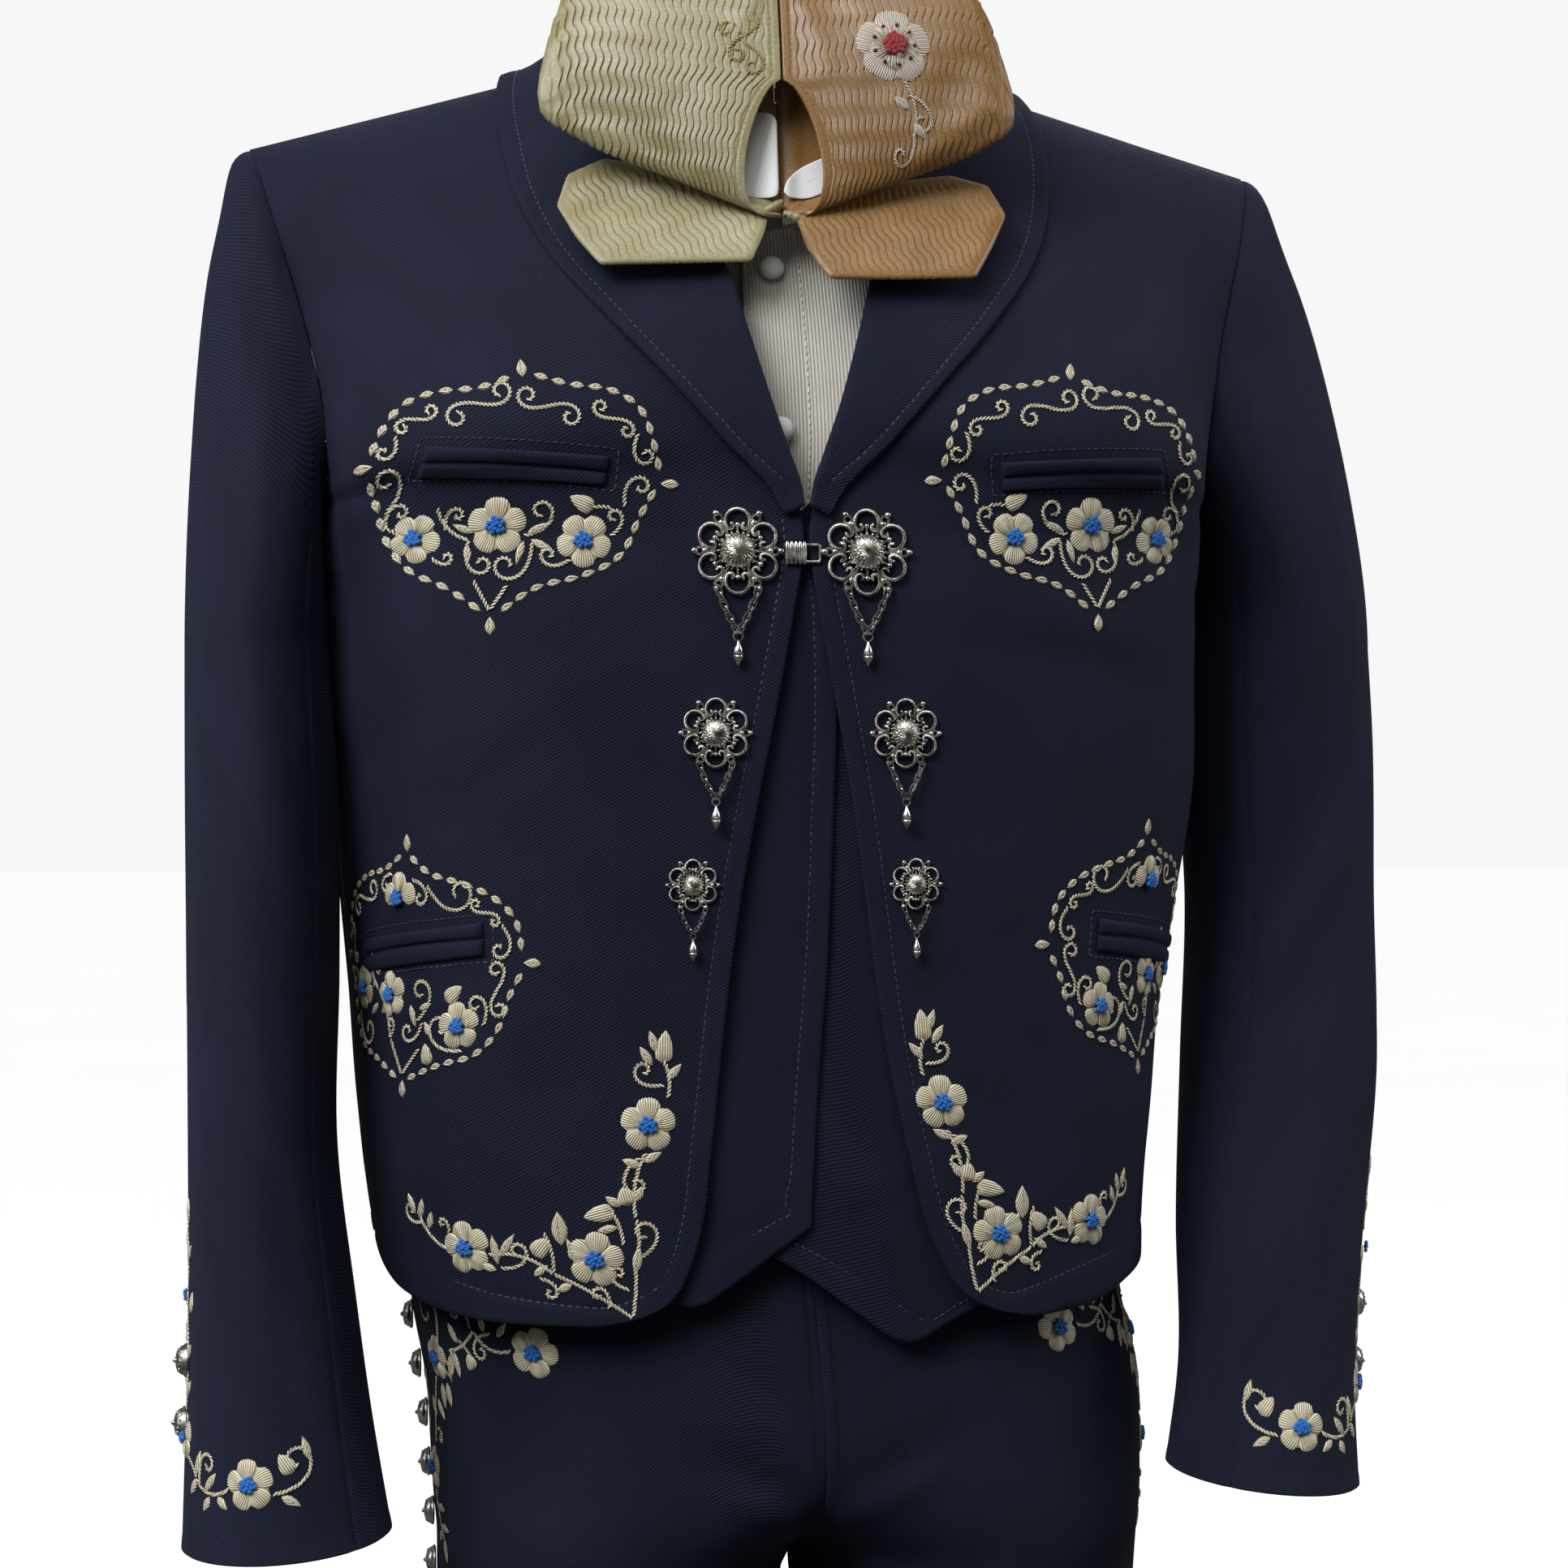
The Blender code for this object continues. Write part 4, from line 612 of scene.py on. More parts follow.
def edge_relief(distance, stitched=STITCH_IN):
    """The turned edge is a little puffed, and its topstitching draws the layers together."""
    puffed = 0.35 * np.clip(1 - (distance / stitched) ** 4, 0, 1)
    drawn = -0.4 * np.exp(-(((distance - stitched) / 0.9) ** 2))
    return puffed + drawn


JACKET_WALL = 2.0
# height, x of the front edge or, above the closure, of the panel under the roll line
JACKET_EDGE = Spline([
    (-541, 92), (-539, 80), (-535, 68), (-529, 59.5), (-520, 54), (-505, 48), (-473, 41.5),
    (-440, 36),
    (-400, 30.5), (-367, 26), (-327, 19.5), (-284, 11.5), (-248, 5), (-228, 1.8), (-216, 2.2),
    (-205, 4.5),
    (-190, 9.5), (-167, 18), (-135, 26.5), (-113, 33), (-85, 46), (-55, 60), (-25, 71), (0, 76),
])
# angle fraction from the front centre to the side, height of the hem
JACKET_HEM = {
    "right": Spline([(0, -541), (0.35, -540), (0.6, -535), (0.8, -526), (1, -516)]),
    "left": Spline([(0, -541), (0.2, -538), (0.4, -531), (0.6, -525), (0.8, -519.5), (1, -516)]),
}
BACK_HEM_Z = -516
BACK_NECK_Z = ARMPIT_Z * (1 - 0.86)  # body height where the back's neck edge leaves the middle


def seam_gap(points, across, height, face):
    """Half a seam's gap: the side edge and the shoulder edge step back from the seam."""
    points = points.copy()
    points[..., 1] -= face * SEAM / 2 * ((across > 0.999) & (height <= ARMPIT_Z))
    points[..., 1] -= face * SEAM * 0.6 * (height > -1)
    return points


HEAD_END_Z = -262
SLEEVE_WALL = 1.8
SLEEVE_GAP = 0.7
SLEEVE_INSET = 2.7  # how far the shirt's sleeve lies inside the jacket's
# height, centre x, centre y, half width, half depth
SLEEVE = {
    "right": Spline([
        (-630, 206.5, -78, 42.5, 50), (-589, 209.5, -68, 38.5, 52), (-537, 212.5, -58, 34.5, 54),
        (-473, 216.2, -50, 30.8, 56), (-400, 215.9, -46, 31.4, 57), (-330, 216.4, -42, 31.6, 59),
        (-262, 218.6, -30, 30, 62),
    ]),
    "left": Spline([
        (-617, 208, -77, 40, 51), (-581, 213, -66, 36.5, 52), (-514, 220.5, -46, 39, 54),
        (-443, 231, -26, 42, 55), (-371, 236.5, -10, 40.5, 57), (-300, 236, -2, 43, 59),
        (-262, 235, 0, 42.2, 61),
    ]),
}
CUFF_Z = {"right": -630, "left": -617}
FRONT_SEAM, BACK_SEAM = 0.36, 0.69  # fractions round the sleeve from the shoulder tip, by the front


def armhole(turn):
    """The armhole loop: 0 at the shoulder tip, 0.25 at the front, 0.5 at the armpit, 0.75 at the
    back."""
    turn = turn % 1.0
    front = ARMHOLE_FRONT(np.clip(1 - 2 * turn, 0, 1))
    back = ARMHOLE_BACK(np.clip(2 * turn - 1, 0, 1))
    return np.where((turn < 0.5)[..., None], front, back)


def sleeve_ring(turn, z, side_name):
    centre_x, centre_y, width, depth = np.moveaxis(SLEEVE[side_name](z), -1, 0)
    angle = 2 * math.pi * turn
    lean = -3 * np.cos(angle) * np.clip((-450 - z) / 150, 0, 1)
    return np.stack([centre_x + width * np.cos(angle), centre_y - depth * np.sin(angle), z + lean],
                    -1)


def sleeve(turn, length, side_name):
    """Sleeve surface: length 0 at the armhole, 0.35 at the end of the head and 1 at the cuff."""
    turn, length = np.broadcast_arrays(np.asarray(turn, float), np.asarray(length, float))
    angle = 2 * math.pi * turn
    t = (length / 0.35)[..., None]
    fall = (1 - np.cos(angle)) / 2
    leave = unit(np.stack([0.95 - 0.55 * fall, -0.3 * np.sin(angle), -0.27 - 0.7 * fall], -1))
    start = armhole(turn) + leave * SLEEVE_GAP
    end = sleeve_ring(turn, np.full_like(turn, HEAD_END_Z), side_name)
    reach = (62 - 46 * fall)[..., None]
    drop = np.stack([0 * turn, 0 * turn, end[..., 2] - start[..., 2]], -1)
    head = (2 * t**3 - 3 * t**2 + 1) * start + (t**3 - 2 * t**2 + t) * leave * reach
    head = head + (3 * t**2 - 2 * t**3) * end + (t**3 - t**2) * drop
    z = HEAD_END_Z + (CUFF_Z[side_name] - HEAD_END_Z) * (length - 0.35) / 0.65
    arm = sleeve_ring(turn, np.minimum(z, HEAD_END_Z), side_name)
    return np.where(t < 1, head, arm)


COLLAR_WALL = 1.6
# length from the closure to the centre back, roll line x y z, outer edge x y z
COLLAR = Spline([
    (0, 0.9, -137.6, -210, 9, -137, -213.5),
    (0.05, 2.4, -137, -201, 16, -136, -201.5),
    (0.12, 6.6, -136, -189, 35, -133, -183),
    (0.2, 14, -134, -168, 57, -127, -160),
    (0.3, 23, -128, -137, 79.5, -114, -136),
    (0.38, 29, -122, -115, 97.5, -98, -112),
    (0.47, 41, -104, -85, 110.5, -78, -84),
    (0.56, 54, -82, -54, 115, -56, -60),
    (0.65, 65, -48, -18, 116, -30, -36),
    (0.74, 67, -11, 12, 110, 6, -12),
    (0.82, 57, 28, 24, 96, 46, -16),
    (0.91, 31, 54, 28, 55, 82, -32),
    (1, 0, 62, 29, 0, 88, -38),
])
# length, stand x y z: where the collar is sewn on round the neck, inside the roll
STAND = Spline([
    (0.6, 62, -62, -42), (0.65, 64.5, -44, -27), (0.74, 63.5, -8, -5), (0.82, 51, 24, 0),
    (0.91, 29, 46.5, 1), (1, 0, 54, 1),
])
LAPEL_TURN = 6.0  # how much of the lapel lies behind its roll
ROLL_RADIUS = 2.0
REST_GAP = 1.1
RIDGE_LIFT = 2.5  # extra height where it crosses the shoulder seam


def jacket_skin():
    """The jacket's outer surface on one side, front and back, as a tree to rest other pieces on."""
    points, faces = [], []
    for face in (1, -1):
        across, height = np.meshgrid(np.linspace(0, 1, 30), np.linspace(-540, 0, 90))
        grid, _ = body_layer(across, height, face, 0 * across)
        base = len(points)
        points += [Vector(point) for point in grid.reshape(-1, 3)]
        for i in range(89):
            for j in range(29):
                a = base + i * 30 + j
                faces.append((a, a + 1, a + 31, a + 30)[::face])
    return BVHTree.FromPolygons(points, faces)


def rested(tree, point, lift):
    """The point, pushed out until it clears the jacket by lift."""
    point = Vector(point)
    near, normal, _, _ = tree.find_nearest(point)
    height = (point - near).dot(normal)
    return point if height >= lift else near + normal * lift


def grid_normals(points):
    along = np.gradient(points, axis=0)
    across = np.gradient(points, axis=1)
    return unit(np.cross(along, across))


WAISTCOAT_WALL = 1.4
# body height, x of the neckline edge
WAISTCOAT_EDGE = {
    "right": Spline([(-560, 4), (-502, 1.5), (-466, -2.5), (-400, -10), (-333, -12), (-260, -12),
                     (-236, -10),
                     (-214, 0), (-205, 6), (-167, 30), (-113, 60), (-60, 85), (0, 100)]),
    "left": Spline([(-560, -16), (-236, -16), (-214, -4), (-205, 6), (-167, 30), (-113, 60),
                    (-60, 85),
                    (0, 100)]),
}
# body height, armhole's place across the body
WAISTCOAT_ARM = Spline([
    (-560, 1), (-250, 1), (-232, 1), (-218, 0.98), (-205, 0.94), (-160, 0.8), (-100, 0.7),
    (-40, 0.62), (0, 0.58),
])
# x from the panel's front edge, height of the hem
WAISTCOAT_HEM = {
    "right": Spline([(0, -502), (24, -514.6), (45, -526), (62, -534), (80, -529), (130, -514),
                     (260, -508)]),
    "left": Spline([(0, -513), (20, -524), (40, -537.5), (64, -551), (86, -542), (150, -520),
                    (280, -508)]),
}
WAISTCOAT_LIFT = {"right": -4.4, "left": -6.4}
WAISTCOAT_BACK_HEM = -508
WAISTCOAT_BACK_LIFT = -6.5


SHIRT_WALL = 1.0
SHIRT_LIFT, SHIRT_NECK_LIFT = -12.3, -10.4
# between these heights the shirt draws in to fit inside the trousers
TUCK_TOP_Z, TUCK_Z = -295, -352
TUCK_INSET = 9.0
PLACKET_X = {"left": -22, "right": 2}
PLACKET_TOP_Z = -80
PLACKET_STEP = {"left": 1.6, "right": -2.4}


def shirt_layer(across, height, face, step):
    """The shirt lies inside the waistcoat, and below the waist inside the trousers."""
    lift = np.interp(height, (-90, -40), (SHIRT_LIFT, SHIRT_NECK_LIFT)) + step
    high, normal = body_layer(across, height, face, lift)
    angle = across * math.pi / 2 if face > 0 else math.pi - across * math.pi / 2
    width, _, _, front, back, roundness = np.moveaxis(TROUSERS(height), -1, 0)
    depth = (front if face > 0 else back) - TUCK_INSET + step
    width = width - TUCK_INSET
    across_part = np.abs(np.sin(angle) / width) ** roundness
    along_part = np.abs(np.cos(angle) / depth) ** roundness
    radius = (across_part + along_part) ** (-1 / roundness)
    low = np.stack([radius * np.sin(angle), -radius * np.cos(angle), height], -1)
    share = np.clip((TUCK_TOP_Z - height) / (TUCK_TOP_Z - TUCK_Z), 0, 1)[..., None]
    return high * (1 - share) + low * share, normal


# angle round the neck from the front, height of the neck seam
NECK_Z = Spline([(0, -62), (40, -44), (90, -11), (130, -6), (180, -5)])
NECK_WIDTH, NECK_FRONT, NECK_BACK, NECK_CENTRE_Y = 54, 62, 54, -10


def neck_point(angle, rise, out):
    """Round the neck: angle from the front in degrees, height above the seam, distance outward."""
    radians = math.radians(angle)
    depth = NECK_FRONT if abs(angle) < 90 else NECK_BACK
    lean = 1 - 0.0012 * rise
    x = (NECK_WIDTH * lean + out) * math.sin(radians)
    y = NECK_CENTRE_Y - (depth * lean + out) * math.cos(radians)
    return x, y, NECK_Z(np.array([float(abs(angle))]))[0, 0] + rise


TROUSER_WALL = 2.0
WAIST_Z, HEM_Z = -404, -1420
TROUSER_ROWS = [HEM_Z, -1150, -900, -760, -690, -655, -645, -632, -615, -590, -550, -480, WAIST_Z]
# height, half width, leg centre x, inner edge x, front depth, back depth, roundness of the section
TROUSERS = Spline([
    (-1420, 147, 94, 41, 64, 66, 2), (-1250, 146, 92, 38, 62, 66, 2),
    (-1100, 147, 91, 34, 64, 70, 2),
    (-950, 150, 89, 27, 70, 72, 2), (-800, 153, 84, 14, 84, 88, 2),
    (-700, 156, 81, 5, 95, 102, 2.1),
    (-655, 157, 79, 0.6, 101, 112, 2.15), (-645, 157, 76, 0.2, 103, 114, 2.2),
    (-632, 158, 62, 0.15, 106, 116, 2.25), (-615, 158.5, 38, 0.15, 109, 117, 2.3),
    (-590, 159, 12, 0.15, 112, 117, 2.4), (-560, 159, 0, 0.15, 113, 115, 2.5),
    (-530, 157, 0, 0.15, 113, 111, 2.6), (-480, 157, 0, 0.15, 113, 100, 2.6),
    (-440, 160, 0, 0.15, 113, 88, 2.6), (-360, 161, 0, 0.15, 113, 86, 2.6),
])


def trouser(share, z, face):
    """Trouser surface on one side: share 0 at the centre or inside leg, 1 at the outer seam."""
    outer, centre, inner, front, back, roundness = np.moveaxis(TROUSERS(z), -1, 0)
    x = inner + (outer - inner) * (0.4 * share + 0.3 * (1 - np.cos(math.pi * share)))
    off_centre = np.minimum(np.abs(x - centre) / (outer - centre), 1)
    depth = front if face > 0 else back
    y = -face * depth * (1 - off_centre**roundness) ** (1 / roundness)
    return np.stack([x, y, z + 0 * share], -1)


def waist_ring(angle, z):
    width, _, _, front, back, roundness = np.moveaxis(TROUSERS(z), -1, 0)
    depth = np.where(np.cos(angle) > 0, front, back)
    across, along = np.sin(angle), np.cos(angle)
    x = width * np.sign(across) * np.abs(across) ** (2 / roundness)
    y = -depth * np.sign(along) * np.abs(along) ** (2 / roundness)
    return np.stack([x, y, z + 0 * angle], -1)


def side_seam(z, side):
    """x of the outer seam, between the rows that the cloth is made from."""
    rows = np.array(TROUSER_ROWS, float)
    x = side * TROUSERS(rows)[:, 0]
    return float(np.interp(z, rows, x + sway(x, rows)))


SIDE_BUTTON_PITCH = 21.5
SIDE_BUTTON_RADIUS = 6.4
SIDE_BUTTON_HEIGHT = 5.2
FIRST_SIDE_BUTTON_Z = -553


# pocket: centre x, centre z, length, height, drop of the inner end
POCKETS = {"chest": (118, -195, 80, 12.5, 5.0), "hip": (157, -389, 72, 13.5, -9.0)}
POCKET_LIFT = 0.7


def surface_grid(side_name, x, z, along, up, lift):
    """Points and normals about a place on the jacket front, at distances along and up the cloth."""
    across, height = locate(np.array(float(x)), np.array(float(z)))
    step = body(across + 0.01, height, 1) - body(across - 0.01, height, 1)
    rise = body(across, height + 2, 1) - body(across, height - 2, 1)
    per_across = np.linalg.norm(step) / 0.02
    per_height = np.linalg.norm(rise) / 4
    tilt = step[2] / 0.02 / per_across
    shares = across + along / per_across
    heights = height + (up - along * tilt) / per_height
    return jacket_surface(side_name, shares, heights, lift)


# pair: centre x on the wearer's right, on the left, centre z, radius, drop's length, gap behind the
# drop
BROOCHES = (
    (28.4, 24.2, -228.7, 18.3, 10.0, 1.3), (37.2, 40.2, -301.5, 14.6, 9.4, 0.4),
    (46, 45, -362.5, 10.8, 8.0, 0.4),
)
BROOCH_LIFT = 0.4
LOBES = 6


def front_place(x, z, side, lift):
    """Axes on the jacket front at x and z, lifted off the cloth."""
    across, height = locate(np.array(float(x)), np.array(float(z)))
    point, normal = body_layer(across, height, 1, lift)
    turn = np.array([side, 1, 1])
    return frame_matrix(point * turn, normal * turn)


def lobed(radius, angle):
    """Outline of the rosette: six round lobes, one straight down."""
    return radius * (0.86 + 0.14 * abs(math.cos(LOBES / 2 * (angle + math.pi / 2))) ** 0.7)


CHAIN_RADIUS = 0.9
HANG_ANGLE = math.radians(30)  # from straight down to the valleys between lobes


def hang_points(radius):
    """Chain ends beside the rosette's rim, in the rosette's own axes."""
    reach = lobed(radius, -math.pi / 2 + HANG_ANGLE) + CHAIN_RADIUS + 0.45
    x, y = reach * math.sin(HANG_ANGLE), -reach * math.cos(HANG_ANGLE)
    return (-x, y), (x, y)


CUFF_BUTTON_TURN = 0.0255
CUFF_BUTTON_LENGTHS = (0.87, 0.913)


BOW_X = -7.5
BOW_Y = -120
BOW_LEAN = 0.2  # how far the wings lean back towards the neck for each step up
WING_FOOT_Z = -91
# distance from the bow's middle, centre z, half height, half depth
WING = Spline([
    (0.8, -35, 56.5, 10.5), (20, -32, 53, 11.5), (40, -29.5, 48.5, 11.5), (60, -27, 44, 10.5),
    (77, -26, 38, 8.5), (88, -29, 29, 6.5), (94.5, -37, 17, 4.5), (98, -42, 8, 3),
])
WING_WALL = 1.5
KNOT_Z = -46
KNOT_LENGTH = 23.4
MOUTH_DEPTH = 16
def wrapped_normals(points):
    along = np.gradient(points, axis=0)
    around = (np.roll(points, -1, 1) - np.roll(points, 1, 1)) / 2
    normal = unit(np.cross(along, around))
    middle = points.mean(axis=1, keepdims=True)
    sign = np.sign(np.sum(normal * (points - middle)))
    return normal * sign


# tail corners: x, z
TAILS = {
    "right": ((-13, -90), (-16, -99), (-22, -111), (-52, -112), (-82, -113), (-91, -101),
              (-98, -87),
              (-93, -73), (-78, -65.5), (-44, -71)),
    "left": ((-2, -90.5), (2, -106), (10, -118), (40, -117), (71, -115), (80, -101), (88, -86),
             (82, -73),
             (66, -69), (32, -75)),
}
TAIL_TOP_Z = -75
TAIL_TOP_Y = -108.0
TAIL_LEFT_FORWARD = 2.0


def tail_y(x, z):
    """The tails hang just in front of the collar and the chest."""
    forward = TAIL_LEFT_FORWARD if x > BOW_X else 0
    return TAIL_TOP_Y - forward + 0.6 * (z - TAIL_TOP_Z) + 0.1 * abs(x - BOW_X)


BAND_OUT = 0.5  # the band's outer face, from the neck's own outline


# ---------------------------------------------------------------- finishes

def add_node(tree, kind, inputs=None, **settings):
    """Adds a node with its settings. An input is a value, or the socket that feeds it."""
    made = tree.nodes.new(kind)
    for key, value in settings.items():
        setattr(made, key, value)
    for key, value in (inputs or {}).items():
        if isinstance(value, bpy.types.NodeSocket):
            tree.links.new(value, made.inputs[key])
        else:
            made.inputs[key].default_value = value
    return made


def new_finish(name, roughness, metallic=0.0, **others):
    """An empty material, its node tree and its shader."""
    made = bpy.data.materials.new(name)
    made.use_nodes = True
    shader = made.node_tree.nodes["Principled BSDF"]
    shader.inputs["Roughness"].default_value = roughness
    shader.inputs["Metallic"].default_value = metallic
    for key, value in others.items():
        shader.inputs[key.replace("_", " ")].default_value = value
    return made, made.node_tree, shader


def cloth_place(tree):
    """The place along the cloth, in metres."""
    return add_node(tree, "ShaderNodeUVMap", uv_map="cloth").outputs[0]


def wave(tree, place, direction, pitch, shift=None):
    """A sine from -1 to 1 along a direction of the cloth, with its pitch in millimetres."""
    scale = 2 * math.pi / (pitch * MM)
    vector = (direction[0] * scale, direction[1] * scale, 0)
    along = add_node(tree, "ShaderNodeVectorMath", {0: place, 1: vector},
                     operation="DOT_PRODUCT").outputs["Value"]
    if shift is not None:
        along = add_node(tree, "ShaderNodeMath", {0: along, 1: shift}, operation="ADD").outputs[0]
    return add_node(tree, "ShaderNodeMath", {0: along}, operation="SINE").outputs[0]


def noise(tree, place, size, detail=2.0, roughness=0.5):
    """Noise from 0 to 1 whose features have a size in millimetres."""
    made = add_node(tree, "ShaderNodeTexNoise",
                    {"Vector": place, "Scale": 1 / (size * MM), "Detail": detail,
                                                 "Roughness": roughness})
    return made.outputs["Fac"]


def linear(shade):
    """A colour from a setting, or from an sRGB hex value."""
    return srgb(shade) if isinstance(shade, str) else tuple(shade)


def ramp(tree, value, low, high, colours):
    """Maps a value between two colours."""
    share = add_node(tree, "ShaderNodeMapRange",
                     {0: value, 1: low, 2: high, 3: 0.0, 4: 1.0}).outputs[0]
    mixed = add_node(tree, "ShaderNodeMix",
                     {0: share, 6: linear(colours[0]), 7: linear(colours[1])}, data_type="RGBA")
    return mixed.outputs[2]


def blended(tree, share, first, second, kind="MIX"):
    made = add_node(tree, "ShaderNodeMix", {0: share, 6: first, 7: second}, data_type="RGBA",
                    blend_type=kind)
    return made.outputs[2]


def summed(tree, first, second, factor=1.0):
    """first + second x factor."""
    return add_node(tree, "ShaderNodeMath", {0: second, 1: factor, 2: first},
                    operation="MULTIPLY_ADD").outputs[0]


def relief(tree, shader, height, depth, strength=1.0):
    """Bump from a height value, with the depth of its full range in millimetres."""
    made = add_node(tree, "ShaderNodeBump",
                    {"Height": height, "Distance": depth * MM, "Strength": strength})
    tree.links.new(made.outputs[0], shader.inputs["Normal"])


TWILL_ANGLE = math.radians(38)  # the rise of the twill's lines


def navy_twill(name):
    """Worsted wool, woven as a 2/2 twill and pressed: matt, with fine diagonal lines and a faint
    fuzz."""
    cloth = bpy.context.scene.suit_cloth
    made, tree, shader = new_finish(name, 0.85, Sheen_Weight=0.05, Sheen_Roughness=0.5)
    shader.inputs["Sheen Tint"].default_value = srgb("8fa0cf")
    shader.inputs["Specular IOR Level"].default_value = 0.22
    place = cloth_place(tree)
    wander = noise(tree, place, 2.6, 2.0)
    shift = add_node(tree, "ShaderNodeMath", {0: wander, 1: 2.4}, operation="MULTIPLY").outputs[0]
    lines = wave(tree, place, (-math.sin(TWILL_ANGLE), math.cos(TWILL_ANGLE)),
                 cloth.twill_pitch / MM, shift)
    yarn = noise(tree, place, 0.55, 3.0, 0.6)
    height = summed(tree, yarn, lines, 0.55)
    # Colour by the twill's height: the navy wool, with painted shade in its furrows and a painted
    # highlight on its crests.
    colour = ramp(tree, height, -0.1, 1.1, (cloth.twill_furrow_painted_shade, cloth.twill_crest_painted_highlight))
    patch = noise(tree, place, 46, 3.0)
    worn = ramp(tree, patch, 0.3, 0.75, ("ffffff", "c2c6d2"))
    colour = blended(tree, 1.0, colour, worn, "MULTIPLY")
    lint = noise(tree, place, 0.9, 1.0)
    specks = add_node(tree, "ShaderNodeMapRange",
                      {0: lint, 1: 0.79, 2: 0.84, 3: 0.0, 4: 0.35}).outputs[0]
    colour = blended(tree, specks, colour, srgb("8b93ad"))
    tree.links.new(colour, shader.inputs["Base Color"])
    relief(tree, shader, height, 0.16, 0.7)
    return made


def corded_cotton(name):
    """White cotton shirting with fine raised cords that run down the front."""
    cloth = bpy.context.scene.suit_cloth
    made, tree, shader = new_finish(name, 0.78, Sheen_Weight=0.1)
    place = cloth_place(tree)
    cords = wave(tree, place, (1, 0), cloth.cord_pitch / MM)
    weave = noise(tree, place, 0.35, 2.0)
    height = summed(tree, weave, cords, 0.8)
    # Colour by the cords: painted shade in the grooves between them, and the cotton's white on
    # their crests.
    colour = ramp(tree, cords, -1.0, 0.4, (cloth.cotton_groove_painted_shade, cloth.cotton_light))
    patch = ramp(tree, noise(tree, place, 30, 2.0), 0.3, 0.8, ("ffffff", "ece6da"))
    tree.links.new(blended(tree, 1.0, colour, patch, "MULTIPLY"), shader.inputs["Base Color"])
    relief(tree, shader, height, 0.22, 0.8)
    return made


def gold_satin(name, dark, light):
    """Rayon satin of the bow: smooth and lustrous, with fine weft lines that break its
    highlights."""
    made, tree, shader = new_finish(name, 0.36, Sheen_Weight=0.2, Sheen_Roughness=0.35)
    shader.inputs["Sheen Tint"].default_value = srgb("d9d2b0")
    shader.inputs["Specular IOR Level"].default_value = 0.55
    shader.inputs["Anisotropic"].default_value = 0.4
    place = cloth_place(tree)
    weft = wave(tree, place, (0, 1), 0.55, noise(tree, place, 1.2, 2.0))
    slub = noise(tree, place, 1.1, 3.0, 0.6)
    height = summed(tree, slub, weft, 0.3)
    # Colour by the weft lines and slubs: the satin's gold, between painted shade and a painted
    # highlight.
    colour = ramp(tree, height, 0.1, 0.9, (dark, light))
    patch = ramp(tree, noise(tree, place, 24, 2.0), 0.3, 0.75, ("ffffff", "dccfae"))
    tree.links.new(blended(tree, 1.0, colour, patch, "MULTIPLY"), shader.inputs["Base Color"])
    relief(tree, shader, height, 0.07, 0.6)
    return made


def interfacing(name, light="e6e6e2"):
    """Stiff bonded interfacing, white and slightly fuzzy."""
    made, tree, shader = new_finish(name, 0.9, Sheen_Weight=0.1)
    place = cloth_place(tree)
    fibre = noise(tree, place, 0.8, 3.0, 0.65)
    tree.links.new(ramp(tree, fibre, 0.25, 0.75, ("cfcfcb", light)), shader.inputs["Base Color"])
    relief(tree, shader, fibre, 0.12, 0.5)
    return made


def thread(name, dark, light, pitch=0.42, roughness=0.42):
    """Twisted embroidery thread laid side by side: a soft lustre, with painted shade as a dark line
    between threads."""
    made, tree, shader = new_finish(name, roughness, Sheen_Weight=0.15)
    place = cloth_place(tree)
    wobble = noise(tree, place, 1.5, 2.0)
    lines = wave(tree, place, (1, 0.06), pitch, wobble)
    grain = noise(tree, place, 0.3, 2.0)
    height = summed(tree, lines, grain, 0.8)
    # The first colour is painted shade in the gaps between threads; the second is the thread on its
    # strands, with a painted highlight.
    tree.links.new(ramp(tree, height, -0.9, 1.2, (dark, light)), shader.inputs["Base Color"])
    relief(tree, shader, height, 0.12, 0.8)
    return made


def cast_silver(name):
    """Cast silver alloy, tumbled and slightly warm: bright and tarnished in small patches at
    random."""
    trim = bpy.context.scene.suit_trim
    made, tree, shader = new_finish(name, 0.27, 1.0)
    place = add_node(tree, "ShaderNodeNewGeometry").outputs["Position"]
    grain = noise(tree, place, 0.5, 3.0, 0.6)
    patch = noise(tree, place, 3.5, 2.0)
    colour = ramp(tree, patch, 0.3, 0.7, (trim.silver_dark, trim.silver_light))
    tree.links.new(colour, shader.inputs["Base Color"])
    rough = add_node(tree, "ShaderNodeMapRange",
                     {0: grain, 1: 0.3, 2: 0.7, 3: 0.2, 4: 0.38}).outputs[0]
    tree.links.new(rough, shader.inputs["Roughness"])
    relief(tree, shader, grain, 0.06, 0.5)
    return made


def glass_bead(name):
    """Small moulded glass beads, dark garnet red."""
    made, tree, shader = new_finish(name, 0.08)
    place = add_node(tree, "ShaderNodeNewGeometry").outputs["Position"]
    tree.links.new(ramp(tree, noise(tree, place, 1.5), 0.3, 0.7, ("3d0508", "7a1016")),
                   shader.inputs["Base Color"])
    return made


def studio_floor(name):
    """Matt painted studio floor, pale and plain."""
    made, tree, shader = new_finish(name, 0.9,
                                    Emission_Strength=bpy.context.scene.suit_stage.floor_glow)
    shader.inputs["Emission Color"].default_value = srgb(BACKDROP)
    place = add_node(tree, "ShaderNodeNewGeometry").outputs["Position"]
    patch = ramp(tree, noise(tree, place, 900, 2.0), 0.3, 0.7, ("f4f4f3", "f7f7f6"))
    tree.links.new(patch, shader.inputs["Base Color"])
    return made


FINISHES = {}


